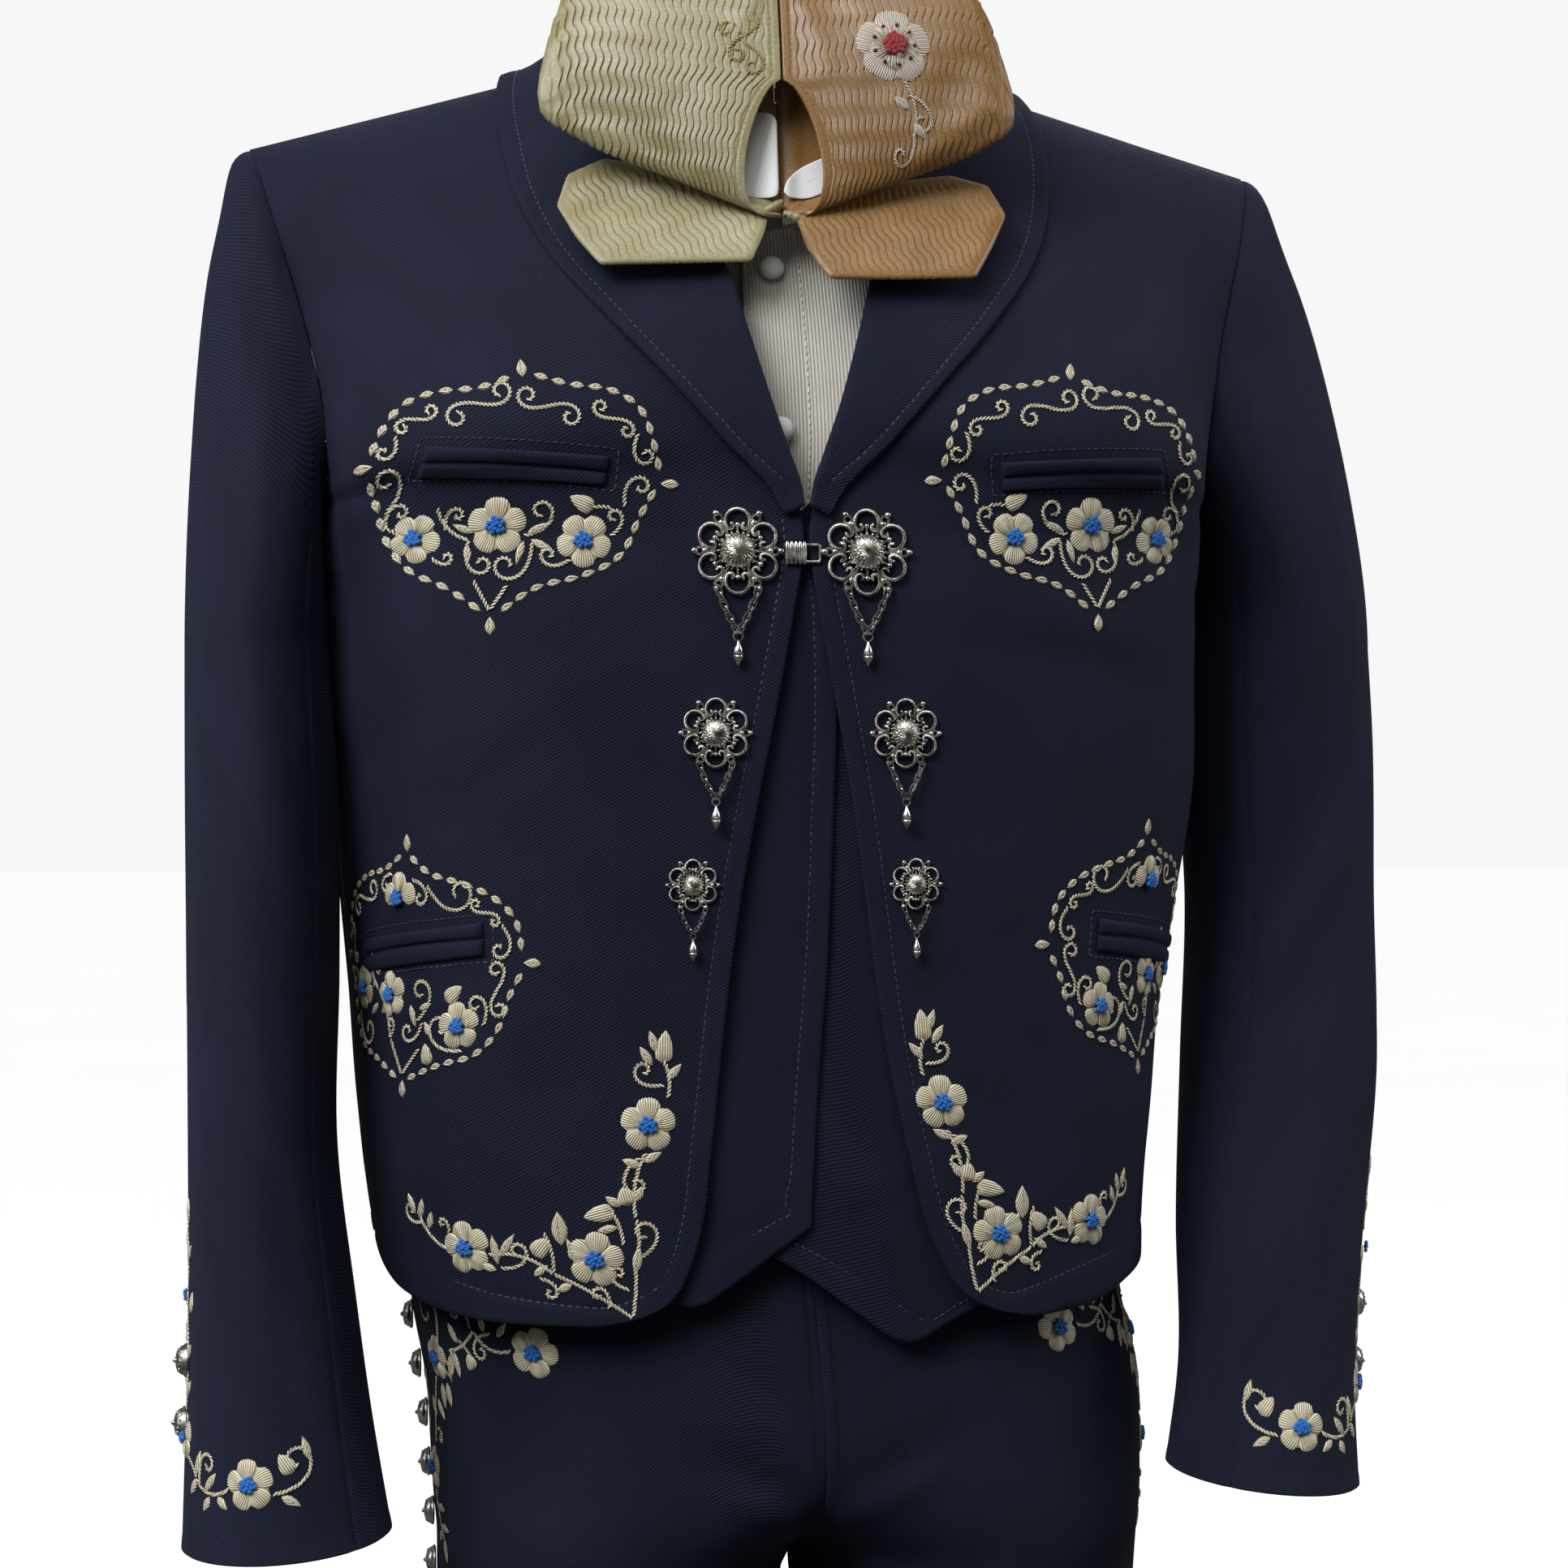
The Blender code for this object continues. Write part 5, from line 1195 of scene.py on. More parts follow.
def finish(key):
    """The shared finish of that name, made when it is first asked for."""
    cloth, trim = bpy.context.scene.suit_cloth, bpy.context.scene.suit_trim
    makers = {
        "navy": lambda: navy_twill("navy wool twill"),
        "cotton": lambda: corded_cotton("white corded cotton"),
        "satin": lambda: gold_satin("gold pleated satin", cloth.satin_weft_painted_shade, cloth.satin_weft_painted_highlight),
        # The warm side is the same satin with painted warm shade.
        "satin in painted warm shade": lambda: gold_satin("gold pleated satin, painted warm shade", cloth.warm_side_painted_shade,
                                         cloth.warm_side_painted_highlight),
        "interfacing": lambda: interfacing("white bonded interfacing"),
        "silver": lambda: cast_silver("cast silver"),
        "champagne": lambda: thread("champagne rayon thread", trim.champagne_gap_painted_shade,
                                    trim.champagne_strand_painted_highlight,
                                    trim.strand_pitch / MM),
        "blue": lambda: thread("blue cotton thread", trim.blue_hollow_painted_shade, trim.blue_light, 0.8, 0.75),
        # Each thread's first colour is painted shade in the gaps between its strands.
        "navy thread": lambda: thread("navy polyester thread", "10152a", "262e4a", 0.5, 0.55),
        "gold thread": lambda: thread("gold polyester thread", "6d5a2a", "b59a55", 0.5, 0.45),
        "silver thread": lambda: thread("silver grey rayon thread", "5f5244", "d2c5b0", 0.9, 0.45),
        "red": lambda: thread("red cotton thread", "5e0c12", "b3252b", 0.5, 0.6),
        "garnet": lambda: glass_bead("garnet glass bead"),
        "white thread": lambda: thread("white cotton thread", "b5b0a6", "efece5", 0.4, 0.6),
        "button cloth": lambda: interfacing("white moulded button", "f0ede6"),
        "floor": lambda: studio_floor("pale matt studio floor"),
    }
    if key not in FINISHES:
        FINISHES[key] = makers[key]()
    return FINISHES[key]


# ---------------------------------------------------------------- jacket

# place from the middle, height, and the same at the other end, then half width and depth of each
# soft fold
FRONT_FOLDS = {
    "right": [
        (170, -90, 182, -330, 11, 1.5), (160, -120, 172, -420, 9, -1.2),
        (60, -262, 176, -330, 14, 0.9),
        (80, -280, 180, -365, 12, -0.8), (150, -250, 186, -300, 9, 0.9),
        (70, -330, 150, -500, 20, 0.9),
        (110, -70, 175, -60, 16, -0.8), (60, -430, 160, -470, 15, -0.6),
        (185, -300, 178, -430, 12, -1.0),
        (75, -110, 150, -140, 18, 0.7), (40, -244, 84, -236, 6, 0.4),
        (40, -232, 90, -216, 5, -0.35),
        (184, -206, 184, -238, 10, 2.2),
    ],
    "left": [
        (165, -80, 176, -300, 10, 1.5), (178, -120, 168, -380, 9, -1.3),
        (50, -248, 170, -262, 9, 0.9),
        (60, -262, 180, -284, 9, -0.8), (120, -232, 186, -240, 8, 0.8),
        (70, -320, 140, -490, 20, 0.9),
        (184, -260, 160, -420, 11, -1.0), (120, -90, 180, -150, 12, 0.9),
        (150, -420, 120, -520, 14, 0.8),
        (100, -120, 165, -128, 12, -0.7), (40, -244, 84, -236, 6, 0.4),
        (184, -206, 184, -238, 10, 2.2),
    ],
}
BACK_FOLDS = [
    (0, -120, 10, -480, 26, -1.2), (70, -90, 130, -330, 22, 1.1), (150, -150, 168, -420, 14, -1.3),
    (40, -330, 150, -380, 20, -0.9), (30, -380, 150, -440, 22, 1.0), (110, -60, 180, -120, 16, 0.9),
    (60, -440, 70, -527, 16, 1.0), (184, -206, 184, -238, 10, 2.2),
]
ARMPIT_EASE = 44  # how far above and below the armpit the front's bend is eased
EASE_SHIFTS = (-26, -13, 0, 13, 26)
FRONT_EDGE_TOP_Z = -214


def front_edge_path(side_name):
    """The jacket front's free edge in the plane, from the closure down round the corner to the side
    seam."""
    heights = np.concatenate([np.linspace(FRONT_EDGE_TOP_Z, -500, 90), np.linspace(-501, -539, 60)])
    edge = np.column_stack([JACKET_EDGE(heights)[:, 0], heights])
    hem = JACKET_HEM[side_name]
    along = np.linspace(84, 189, 60)
    share = np.clip((along - 60) / 130, 0, 1)
    low = np.column_stack([along, hem(share)[:, 0]])
    return smooth_line(np.concatenate([edge[edge[:, 0] < 80], low]), 2.0)


def jacket_surface(side_name, across, height, lift):
    """The jacket front's outer face with its soft folds, in the wearer's left half, and its
    normals."""
    points, normal = body_layer(across, height, 1, lift)
    near = (np.clip(1 - np.abs(height - ARMPIT_Z) / ARMPIT_EASE, 0, 1)
            * np.clip((1 - across) / 0.07, 0, 1))
    near = near**2 * (3 - 2 * near)
    points[..., 1] = (sum(body_layer(across, height + shift * near, 1, lift)[0][..., 1]
                          for shift in EASE_SHIFTS) / 5)
    depth = folds(points[..., 0], points[..., 2], FRONT_FOLDS[side_name])
    return points + normal * depth[..., None], normal


def spread(start, end, near, count):
    """Shares from 0 to 1 with extra places near the start, given in millimetres of a length end -
    start."""
    near = np.array(near) / (end - start)
    rest = np.linspace(near[-1], 1, count)[1:]
    return np.concatenate([near, rest])


EDGE_STEPS = (0, 1.2, 2.6, 4.2, 5.6, 6.6, 7.4, 8.2, 9.2, 11)


def jacket_fronts():
    for name, side in SIDES.items():
        share = spread(0, 260, EDGE_STEPS, 56)
        hem = JACKET_HEM[name](share)[:, 0]
        rows = [ARMPIT_Z + (hem - ARMPIT_Z) * (1 - t) for t in spread(0, 330, EDGE_STEPS, 74)]
        rows += [np.full(len(share), z) for z in np.linspace(ARMPIT_Z, 0, 44)[1:]]
        height = np.array(rows)
        start = across_at(JACKET_EDGE(height[:, :1])[..., 0], height[:, :1])
        across = start + (1 - start) * share[None, :]
        outer, normal = jacket_surface(name, across, height, 0 * across)
        away = path_distance(outer[..., 0], outer[..., 2], front_edge_path(name))
        low = outer[..., 2] < FRONT_EDGE_TOP_Z
        outer = outer + normal * (edge_relief(away) * low)[..., None]
        outer = seam_gap(outer, across, height, 1)
        piece = shell(f"jacket_front_{name}_cloth", outer, normal, JACKET_WALL, finish("navy"),
                      side)
        dressed(piece, [f"jacket_front_{name}"])
        cloth_sheet(piece, outer)


def back_grid(heights, columns, neck_inset, layer, reach):
    """Grid of one half of a back: its centre column runs up the middle, then round one side of the
    neck."""
    share, height = np.meshgrid(np.linspace(0, 1, columns), np.array(heights, float))
    start = neck_inset * np.clip((height - BACK_NECK_Z) / -BACK_NECK_Z, 0, 1)
    across = start + (reach - start) * share
    outer, normal = layer(across, height)
    outer = seam_gap(outer, share + reach - 1, height, -1)
    middle = height[:, 0] <= BACK_NECK_Z + 1
    outer[middle, 0, 0] = 0
    normal[middle, 0, 0] = 0
    return outer, unit(normal)


def back_layer(across, height):
    points, normal = body_layer(across, height, -1, 0 * across)
    depth = folds(points[..., 0], points[..., 2], BACK_FOLDS)
    hem_away = height - BACK_HEM_Z
    depth = depth + edge_relief(hem_away) * (hem_away < 30)
    return points + normal * depth[..., None], normal


def jacket_back():
    heights = np.concatenate([
        BACK_HEM_Z + np.array(EDGE_STEPS), np.linspace(BACK_HEM_Z + 11, ARMPIT_Z, 52)[1:],
        np.linspace(ARMPIT_Z, 0, 38)[1:],
    ])
    outer, normal = back_grid(heights, 42, 0.045, back_layer, 1)
    piece = shell("jacket_back_cloth", outer, normal, JACKET_WALL, finish("navy"), mirrored=True)
    dressed(piece, ["jacket_back"])
    cloth_sheet(piece, outer, doubled=2)


# ---------------------------------------------------------------- sleeves

# along the arm in mm from the fold line round it, height, the same at the other end, half width and
# depth
SLEEVE_FOLDS = {
    "right": [
        (20, -70, 26, -300, 9, -0.9), (60, -240, 90, -330, 9, 1.3), (40, -300, 95, -380, 10, -1.6),
        (50, -345, 100, -410, 9, 1.5), (70, -400, 98, -450, 8, -1.2), (30, -430, 60, -600, 13, 1.0),
        (88, -460, 80, -600, 9, -1.1), (0, -180, 6, -520, 7, 0.7), (-40, -330, -10, -420, 14, 1.0),
        (58, -120, 76, -250, 9, 1.2), (70, -90, 92, -190, 8, -1.3),
    ],
    "left": [
        (46, -80, 52, -600, 5, 1.1), (60, -240, 96, -330, 9, 1.2), (60, -300, 100, -380, 9, -1.6),
        (62, -345, 104, -410, 9, 1.4), (80, -400, 100, -450, 8, -1.2),
        (20, -430, 40, -560, 13, 0.9),
        (94, -440, 86, -590, 10, -1.2), (10, -200, 0, -520, 12, 0.9), (64, -110, 82, -220, 8, 1.1),
        (78, -80, 100, -170, 8, -1.4),
    ],
}
HEAD_ROLL = 1.5  # the roll of wadding-free cloth just outside the armhole seam


def sleeve_surface(turn, length, side_name, lift=0.0):
    """The sleeve's outer face with its rolled head, soft folds and cuff edge, and its normals."""
    normal = normals_of(lambda a, b: sleeve(a, b, side_name), turn, length, 0.004, 0.004)
    points = sleeve(turn, length, side_name)
    girth = ((turn + 0.31) % 1.0 - 0.31) * 305
    depth = folds(girth, points[..., 2], SLEEVE_FOLDS[side_name])
    top = np.clip(np.cos(2 * math.pi * turn) * 1.6, 0, 1)
    depth = depth + HEAD_ROLL * top * np.exp(-(((length - 0.035) / 0.028) ** 2))
    depth = depth - 0.9 * top * np.exp(-(((length - 0.1) / 0.03) ** 2))
    cuff = (1 - length) / 0.65 * (HEAD_END_Z - CUFF_Z[side_name])
    cuff_edge = np.where(cuff < 4, 0.3 * np.clip(1 - (cuff / 4) ** 4, 0, 1), 0)
    return points + normal * (depth + cuff_edge + lift)[..., None], normal


def sleeves():
    lengths = np.concatenate([np.linspace(0, 0.35, 36), np.linspace(0.35, 0.985, 68)[1:],
                              [0.99, 0.995, 1]])
    part = 0.0009
    panels = {
        "top": (BACK_SEAM - 1 + part, FRONT_SEAM - part, 56),
        "under": (FRONT_SEAM + part, BACK_SEAM - part, 28),
    }
    for name, side in SIDES.items():
        for panel, (first, last, columns) in panels.items():
            turn, length = np.meshgrid(np.linspace(first, last, columns), lengths)
            outer, normal = sleeve_surface(turn, length, name)
            piece = shell(f"sleeve_{panel}_{name}_cloth", outer, normal, SLEEVE_WALL,
                          finish("navy"), side, swayed=False)
            dressed(piece, [f"sleeve_{panel}_{name}"])
            cloth_sheet(piece, outer)


# ---------------------------------------------------------------- shawl collar

COLLAR_GRIDS = {}


def collar_rows(tree):
    """Rows of the collar's outer face, from its sewn edge over the roll to its outer edge."""
    lengths = np.concatenate([np.linspace(0, 0.12, 14), np.linspace(0.12, 0.6, 56)[1:],
                              np.linspace(0.6, 1, 60)[1:]])
    folds_at, edges = COLLAR(lengths)[:, :3], COLLAR(lengths)[:, 3:]
    ups = unit(folds_at - edges)
    outs = unit(np.cross(np.gradient(folds_at, lengths, axis=0), ups))
    widths = np.linalg.norm(edges - folds_at, axis=1)
    finer = np.clip(widths / 16, 0.62, 1)
    across_places = np.concatenate([np.linspace(0, 0.8, 14)[1:],
                                    1 - np.array([0.16, 0.13, 0.1, 0.06, 0.03, 0])])
    grid = []
    for length, fold, edge, up, out, width, fine in zip(lengths, folds_at, edges, ups, outs,
                                                        widths, finer):
        radius, cloth = ROLL_RADIUS * fine, COLLAR_WALL * fine
        fold = np.array(rested(tree, fold, REST_GAP + radius))
        middle = fold - up * radius
        turn = min(LAPEL_TURN, max(radius + 0.4, 0.28 * width))
        seam = fold - up * turn - out * 2 * radius
        sewn = min(max((length - 0.55) / 0.2, 0), 1)
        stand = seam * (1 - sewn) + STAND(np.array([length]))[0] * sewn
        inside = middle - out * radius
        if sewn < 0.5:
            stand, inside = rested(tree, stand, REST_GAP), rested(tree, inside, REST_GAP)
        stand, inside = np.array(stand), np.array(inside)
        row = [stand, stand * 0.66 + inside * 0.34, stand * 0.33 + inside * 0.67, inside]
        for angle in (-60, -30, 0, 30, 60):
            radians = math.radians(angle)
            row.append(middle + up * radius * math.cos(radians) + out * radius * math.sin(radians))
        outside = middle + out * radius
        row.append(rested(tree, outside, REST_GAP + 2 * radius))
        for across in across_places:
            flatter = 1 - across * min(1, width / 30)
            lift = cloth + REST_GAP + (2 * radius - cloth) * flatter
            lift += RIDGE_LIFT * math.exp(-(edge[1] / 18) ** 2)
            row.append(rested(tree, outside * (1 - across) + edge * across, lift))
        grid.append([tuple(p) for p in row])
    outer = np.array(grid)
    outer[-1, :, 0] = SEAM / 2
    return outer, finer


def collars():
    outer, finer = collar_rows(jacket_skin())
    for _ in range(2):
        outer[1:-1, 3:] = (outer[:-2, 3:] + 2 * outer[1:-1, 3:] + outer[2:, 3:]) / 4
    normal = grid_normals(outer)
    normal = normal * np.sign(normal[len(outer) // 3, -2] @ np.array([0.3, -1, 0.2]))
    normal[-1, :, 0] = 0
    normal = unit(normal)
    reach = arc_lengths(outer, 1)
    away = reach[:, -1:] - reach
    outer = (outer + normal * (edge_relief(away) * (away < 12) * np.clip(finer[:, None] * 3 - 2, 0,
                                                                         1))[..., None])
    COLLAR_GRIDS["outer"], COLLAR_GRIDS["normal"] = outer, normal
    for name, side in SIDES.items():
        piece = shell(f"collar_{name}_cloth", outer, normal, COLLAR_WALL * finer[:, None, None],
                      finish("navy"), side)
        dressed(piece, [f"collar_{name}"])
        cloth_sheet(piece, outer)


# ---------------------------------------------------------------- waistcoat

WAISTCOAT_STITCH_IN = 8.6
WAISTCOAT_FOLDS = {
    "right": [(20, -250, 30, -480, 12, -0.7), (45, -300, 50, -470, 10, 0.6)],
    "left": [(6, -505, 32, -490, 5, -1.3), (8, -498, 40, -478, 6, 0.9),
             (40, -300, 34, -500, 12, 0.6)],
}
WAISTCOAT_GIRTH = 260  # from a front edge round to the side seam


def waistcoat_path(side_name):
    """The waistcoat front's free edge in the plane: down the front edge and along the pointed
    hem."""
    heights = np.linspace(-214, WAISTCOAT_HEM[side_name](np.array([0.0]))[0, 0] + 1, 60)
    edge = np.column_stack([WAISTCOAT_EDGE[side_name](heights)[:, 0], heights])
    first = edge[-1, 0]
    girth = np.linspace(0.5, 120, 60)
    hem = np.column_stack([first + girth, WAISTCOAT_HEM[side_name](girth)[:, 0]])
    return np.concatenate([edge, hem])


def waistcoat_grid(name):
    share = spread(0, WAISTCOAT_GIRTH, (0, 1.5, 3.5, 5.5, 7.2, 8.6, 10, 12), 34)
    hem = WAISTCOAT_HEM[name](share * WAISTCOAT_GIRTH)[:, 0]
    rows = [ARMPIT_Z + (hem - ARMPIT_Z) * (1 - t)
            for t in spread(0, 300, (0, 1.5, 3.5, 5.5, 7.2, 8.6, 10, 12), 54)]
    rows += [np.full(len(share), z) for z in np.linspace(ARMPIT_Z, 0, 20)[1:]]
    height = np.array(rows)
    start = across_at(WAISTCOAT_EDGE[name](height[:, :1])[..., 0], height[:, :1])
    end = np.minimum(WAISTCOAT_ARM(height[:, :1])[..., 0], 1)
    across = start + (end - start) * share[None, :]
    outer, normal = body_layer(across, height, 1, WAISTCOAT_LIFT[name] + 0 * across)
    depth = folds(outer[..., 0], outer[..., 2], WAISTCOAT_FOLDS[name])
    away = path_distance(outer[..., 0], outer[..., 2], waistcoat_path(name))
    depth = np.minimum(depth, 0.9) + edge_relief(away, WAISTCOAT_STITCH_IN) * (outer[..., 2] < -214)
    outer = seam_gap(outer + normal * depth[..., None], across, height, 1)
    return outer, normal


def waistcoat():
    for name, side in SIDES.items():
        outer, normal = waistcoat_grid(name)
        piece = shell(f"waistcoat_front_{name}_cloth", outer, normal, WAISTCOAT_WALL,
                      finish("navy"), side)
        dressed(piece, [f"waistcoat_front_{name}"])
        cloth_sheet(piece, outer)
    heights = np.concatenate([np.linspace(WAISTCOAT_BACK_HEM, ARMPIT_Z, 24),
                              np.linspace(ARMPIT_Z, 0, 22)[1:]])
    reach = np.minimum(WAISTCOAT_ARM(heights), 1)
    outer, normal = back_grid(heights, 22, 0.2,
                              lambda a, h: body_layer(a, h, -1, WAISTCOAT_BACK_LIFT + 0 * a), reach)
    piece = shell("waistcoat_back_cloth", outer, normal, WAISTCOAT_WALL, finish("navy"),
                  mirrored=True)
    dressed(piece, ["waistcoat_back"])
    cloth_sheet(piece, outer, doubled=2)


# ---------------------------------------------------------------- shirt

SHIRT_FOLDS = [(14, -90, 20, -205, 4, -0.7), (28, -80, 22, -190, 5, 0.7),
               (18, -150, 34, -215, 6, 0.6)]
PLACKET_WIDTH = 27  # the turned band that carries the buttons


def shirt():
    rows = np.concatenate([np.linspace(-480, TUCK_Z, 8), np.linspace(TUCK_Z, ARMPIT_Z, 24)[1:],
                           np.linspace(ARMPIT_Z, 0, 56)[1:]])
    for name, side in SIDES.items():
        share = spread(0, 260, (0, 0.8, 1.6, 2.6, 4, 8, 14, 20, 24, 26, 27, 28, 29.5, 32), 14)
        height = np.repeat(rows[:, None], len(share), 1)
        start = across_at(PLACKET_X[name], height[:, :1])
        start = np.where(height[:, :1] < PLACKET_TOP_Z, start, 0.02)
        across = start + (1 - start) * share[None, :]
        step = PLACKET_STEP[name] * np.clip(2 - 3 * share, 0, 1)[None, :]
        outer, normal = shirt_layer(across, height, 1, step + 0 * across)
        far = share[None, :] * 260
        depth = folds(outer[..., 0], outer[..., 2], SHIRT_FOLDS)
        if name == "left":
            depth = depth * (far > 24) + 0.45 * np.clip((PLACKET_WIDTH - far) / 1.2, 0, 1)
            depth = (depth - 0.25 * np.exp(-(((far - 2.6) / 0.7) ** 2))
                     - 0.25 * np.exp(-(((far - 24.5) / 0.7) ** 2)))
        outer = seam_gap(outer + normal * np.minimum(depth, 0.8)[..., None], across, height, 1)
        piece = shell(f"shirt_front_{name}_cloth", outer, normal, SHIRT_WALL, finish("cotton"),
                      side)
        dressed(piece, [f"shirt_front_{name}"])
        cloth_sheet(piece, outer)
    outer, normal = back_grid(rows, 20, 0.12, lambda a, h: shirt_layer(a, h, -1, 0 * a), 1)
    piece = shell("shirt_back_cloth", outer, normal, SHIRT_WALL, finish("cotton"), mirrored=True)
    dressed(piece, ["shirt_back"])
    cloth_sheet(piece, outer, doubled=2)
    for name, side in SIDES.items():
        turn, length = np.meshgrid(np.linspace(BACK_SEAM - 1, BACK_SEAM, 37),
                                   np.linspace(0.2, 0.87, 24))
        facing = normals_of(lambda a, b: sleeve(a, b, name), turn, length, 0.004, 0.004)
        outer = sleeve(turn, length, name) - facing * SLEEVE_INSET
        piece = shell(f"shirt_sleeve_{name}_cloth", outer, facing, SHIRT_WALL, finish("cotton"),
                      side, closed=True,
                      swayed=False)
        dressed(piece, [f"shirt_sleeve_{name}"])
        cloth_sheet(piece, outer)


def shirt_collar():
    """A turn-down collar: the stand rises from the neck seam, folds over and falls to its
    points."""
    section = Spline([(0, 1, -2.2), (0.25, 20, -2.4), (0.5, 37, -1.8), (0.6, 41, 0.4),
                      (0.7, 38, 2.8), (1, 9, 6)])
    angles = np.linspace(4, 356, 97)
    grid = []
    for angle in angles:
        signed = angle if angle <= 180 else angle - 360
        drop = 8 * math.exp(-((abs(signed) - 4) / 22) ** 2)
        row = []
        for t in np.linspace(0, 1, 34):
            rise, out = section(np.array([t]))[0]
            row.append(neck_point(signed, rise - drop * max(0, t - 0.7) / 0.3, out))
        grid.append(row)
    outer = np.array(grid)
    normal = grid_normals(outer)
    normal = normal * np.sign(normal[48, 0] @ np.array([0, -1, 0]))
    piece = shell("shirt_collar_cloth", outer, normal, SHIRT_WALL, finish("cotton"), swayed=False)
    dressed(piece, ["shirt_collar"])
    cloth_sheet(piece, outer)


# ---------------------------------------------------------------- trousers

# distance from the middle, height, and the same at the other end, half width and depth
TROUSER_FOLDS = {
    "right": [
        (4, -632, 44, -612, 7, 1.6), (2, -620, 60, -590, 8, -1.4), (10, -600, 80, -570, 12, 0.9),
        (84, -560, 90, -1400, 8, 1.0), (40, -700, 70, -1000, 16, -1.6),
        (110, -620, 124, -1000, 16, 1.2),
        (60, -900, 100, -1000, 18, 1.6), (50, -980, 110, -1060, 16, -1.8),
        (60, -1040, 100, -1110, 14, 1.4),
        (50, -1250, 80, -1400, 14, -1.2), (120, -1150, 116, -1400, 14, -1.2),
    ],
    "left": [
        (4, -630, 52, -602, 7, 1.7), (2, -618, 70, -578, 9, -1.5), (14, -604, 96, -548, 12, 1.3),
        (84, -560, 90, -1400, 8, 1.0), (40, -700, 66, -1010, 15, -1.6),
        (112, -640, 122, -1020, 16, 1.1),
        (64, -910, 104, -1010, 17, 1.6), (54, -990, 112, -1070, 16, -1.8),
        (62, -1050, 100, -1120, 14, 1.4),
        (56, -1260, 84, -1400, 14, -1.2), (118, -1160, 118, -1400, 14, -1.2),
    ],
}


LEGS_PART_Z = -656  # below this height each leg is a tube of its own
BAND_HEIGHT = 38


def trouser_surface(side_name, share, height, face, lift=0.0):
    outer = trouser(share, height, face)
    normal = normals_of(lambda s, h: trouser(s, h, face), share, height, 0.01, 3.0) * face
    calm = np.clip((1 - share) / 0.12, 0, 1) * np.clip((share - 0.02) / 0.1, 0, 1)
    table = TROUSER_FOLDS[side_name]
    depth = folds(outer[..., 0], outer[..., 2], table) * (calm if face > 0 else calm * 0.7)
    return outer + normal * (depth + lift)[..., None], normal


def trousers():
    heights = np.concatenate([np.linspace(HEM_Z, -700, 72), np.linspace(-700, -600, 36)[1:],
                              np.linspace(-600, WAIST_Z, 30)[1:]])
    for name, side in SIDES.items():
        for face, part, columns in ((1, "front", 44), (-1, "back", 28)):
            share, height = np.meshgrid(np.linspace(0, 1, columns), heights)
            outer, normal = trouser_surface(name, share, height, face)
            normal[:, -1] = (1, 0, 0)
            leg = heights < LEGS_PART_Z
            normal[leg, 0] = (-1, 0, 0)
            gap = SEAM / 2 * face
            outer[:, -1, 1] -= gap
            outer[leg, 0, 1] -= gap
            piece = shell(f"trouser_{part}_{name}_cloth", outer, normal, TROUSER_WALL,
                          finish("navy"), side)
            dressed(piece, [f"trouser_{part}_{name}"])
            cloth_sheet(piece, outer)
    angle, height = np.meshgrid(np.linspace(0, 2 * math.pi, 97),
                                np.linspace(WAIST_Z + SEAM, WAIST_Z + BAND_HEIGHT, 5))
    outer = waist_ring(angle, height)
    along = waist_ring(angle + 0.01, height) - waist_ring(angle - 0.01, height)
    normal = unit(np.stack([-along[..., 1], along[..., 0], 0 * angle], -1))
    normal = normal * np.sign(np.sum(normal * outer * (1, 1, 0), -1, keepdims=True))
    piece = shell("waistband_cloth", outer, normal, TROUSER_WALL + 1, finish("navy"), closed=True)
    dressed(piece, ["waistband"])
    cloth_sheet(piece, outer)


# ---------------------------------------------------------------- pockets

WELT_ARCH = 1.4  # how far the slit bows up at its middle


def welt_height(across):
    """Height of the two jetted welts above the cloth, from -1 at the lower edge to 1 at the
    upper."""
    lower = np.sqrt(np.clip(1 - ((across + 0.53) / 0.47) ** 2, 0, 1))
    upper = np.sqrt(np.clip(1 - ((across - 0.53) / 0.47) ** 2, 0, 1))
    return 0.35 + 1.45 * np.maximum(lower, upper) ** 0.8


def pockets():
    for name, side in SIDES.items():
        for place, (x, z, length, height, drop) in POCKETS.items():
            across = np.concatenate([np.linspace(-1, -0.06, 11), np.linspace(-0.06, 0.06, 3)[1:-1],
                                     np.linspace(0.06, 1, 11)])
            run = np.linspace(-length / 2, length / 2, 48)
            share, along = np.meshgrid(across, run)
            end = np.clip((length / 2 - np.abs(along)) / 1.6, 0, 1)
            arch = WELT_ARCH * (1 - (2 * along / length) ** 2) * (1 - np.abs(share)) * 0.8
            up = share * height / 2 + along / length * drop + arch
            lift = POCKET_LIFT - 0.2 + welt_height(share) * (0.35 + 0.65 * end**0.5)
            outer, normal = surface_grid(name, x, z, along, up, lift)
            depth = (lift - POCKET_LIFT + 0.55)[..., None]
            piece = shell(f"pocket_{place}_{name}_cloth", outer, normal, depth, finish("navy"),
                          side, soft_edges=False)
            dressed(piece, [f"pocket_{place}_{name}"])
            cloth_sheet(piece, outer)


# ---------------------------------------------------------------- bow tie

PLEAT_PITCH = 3.35
PLEATS_FROM, PLEATS_TO = 3.4, 97  # reach along a wing from its mouth to its closed end
PLEAT_STEPS = 6  # points across a pleat
PLEAT_DEPTH = 0.85
PLEAT_WAVE, PLEAT_SWING = 11.6, 0.8  # the pleats' wavy course: its length and its swing
WING_TURNS = 144  # points round a wing
MOUTH_HEM = 3.4  # the flat turned edge round the mouth
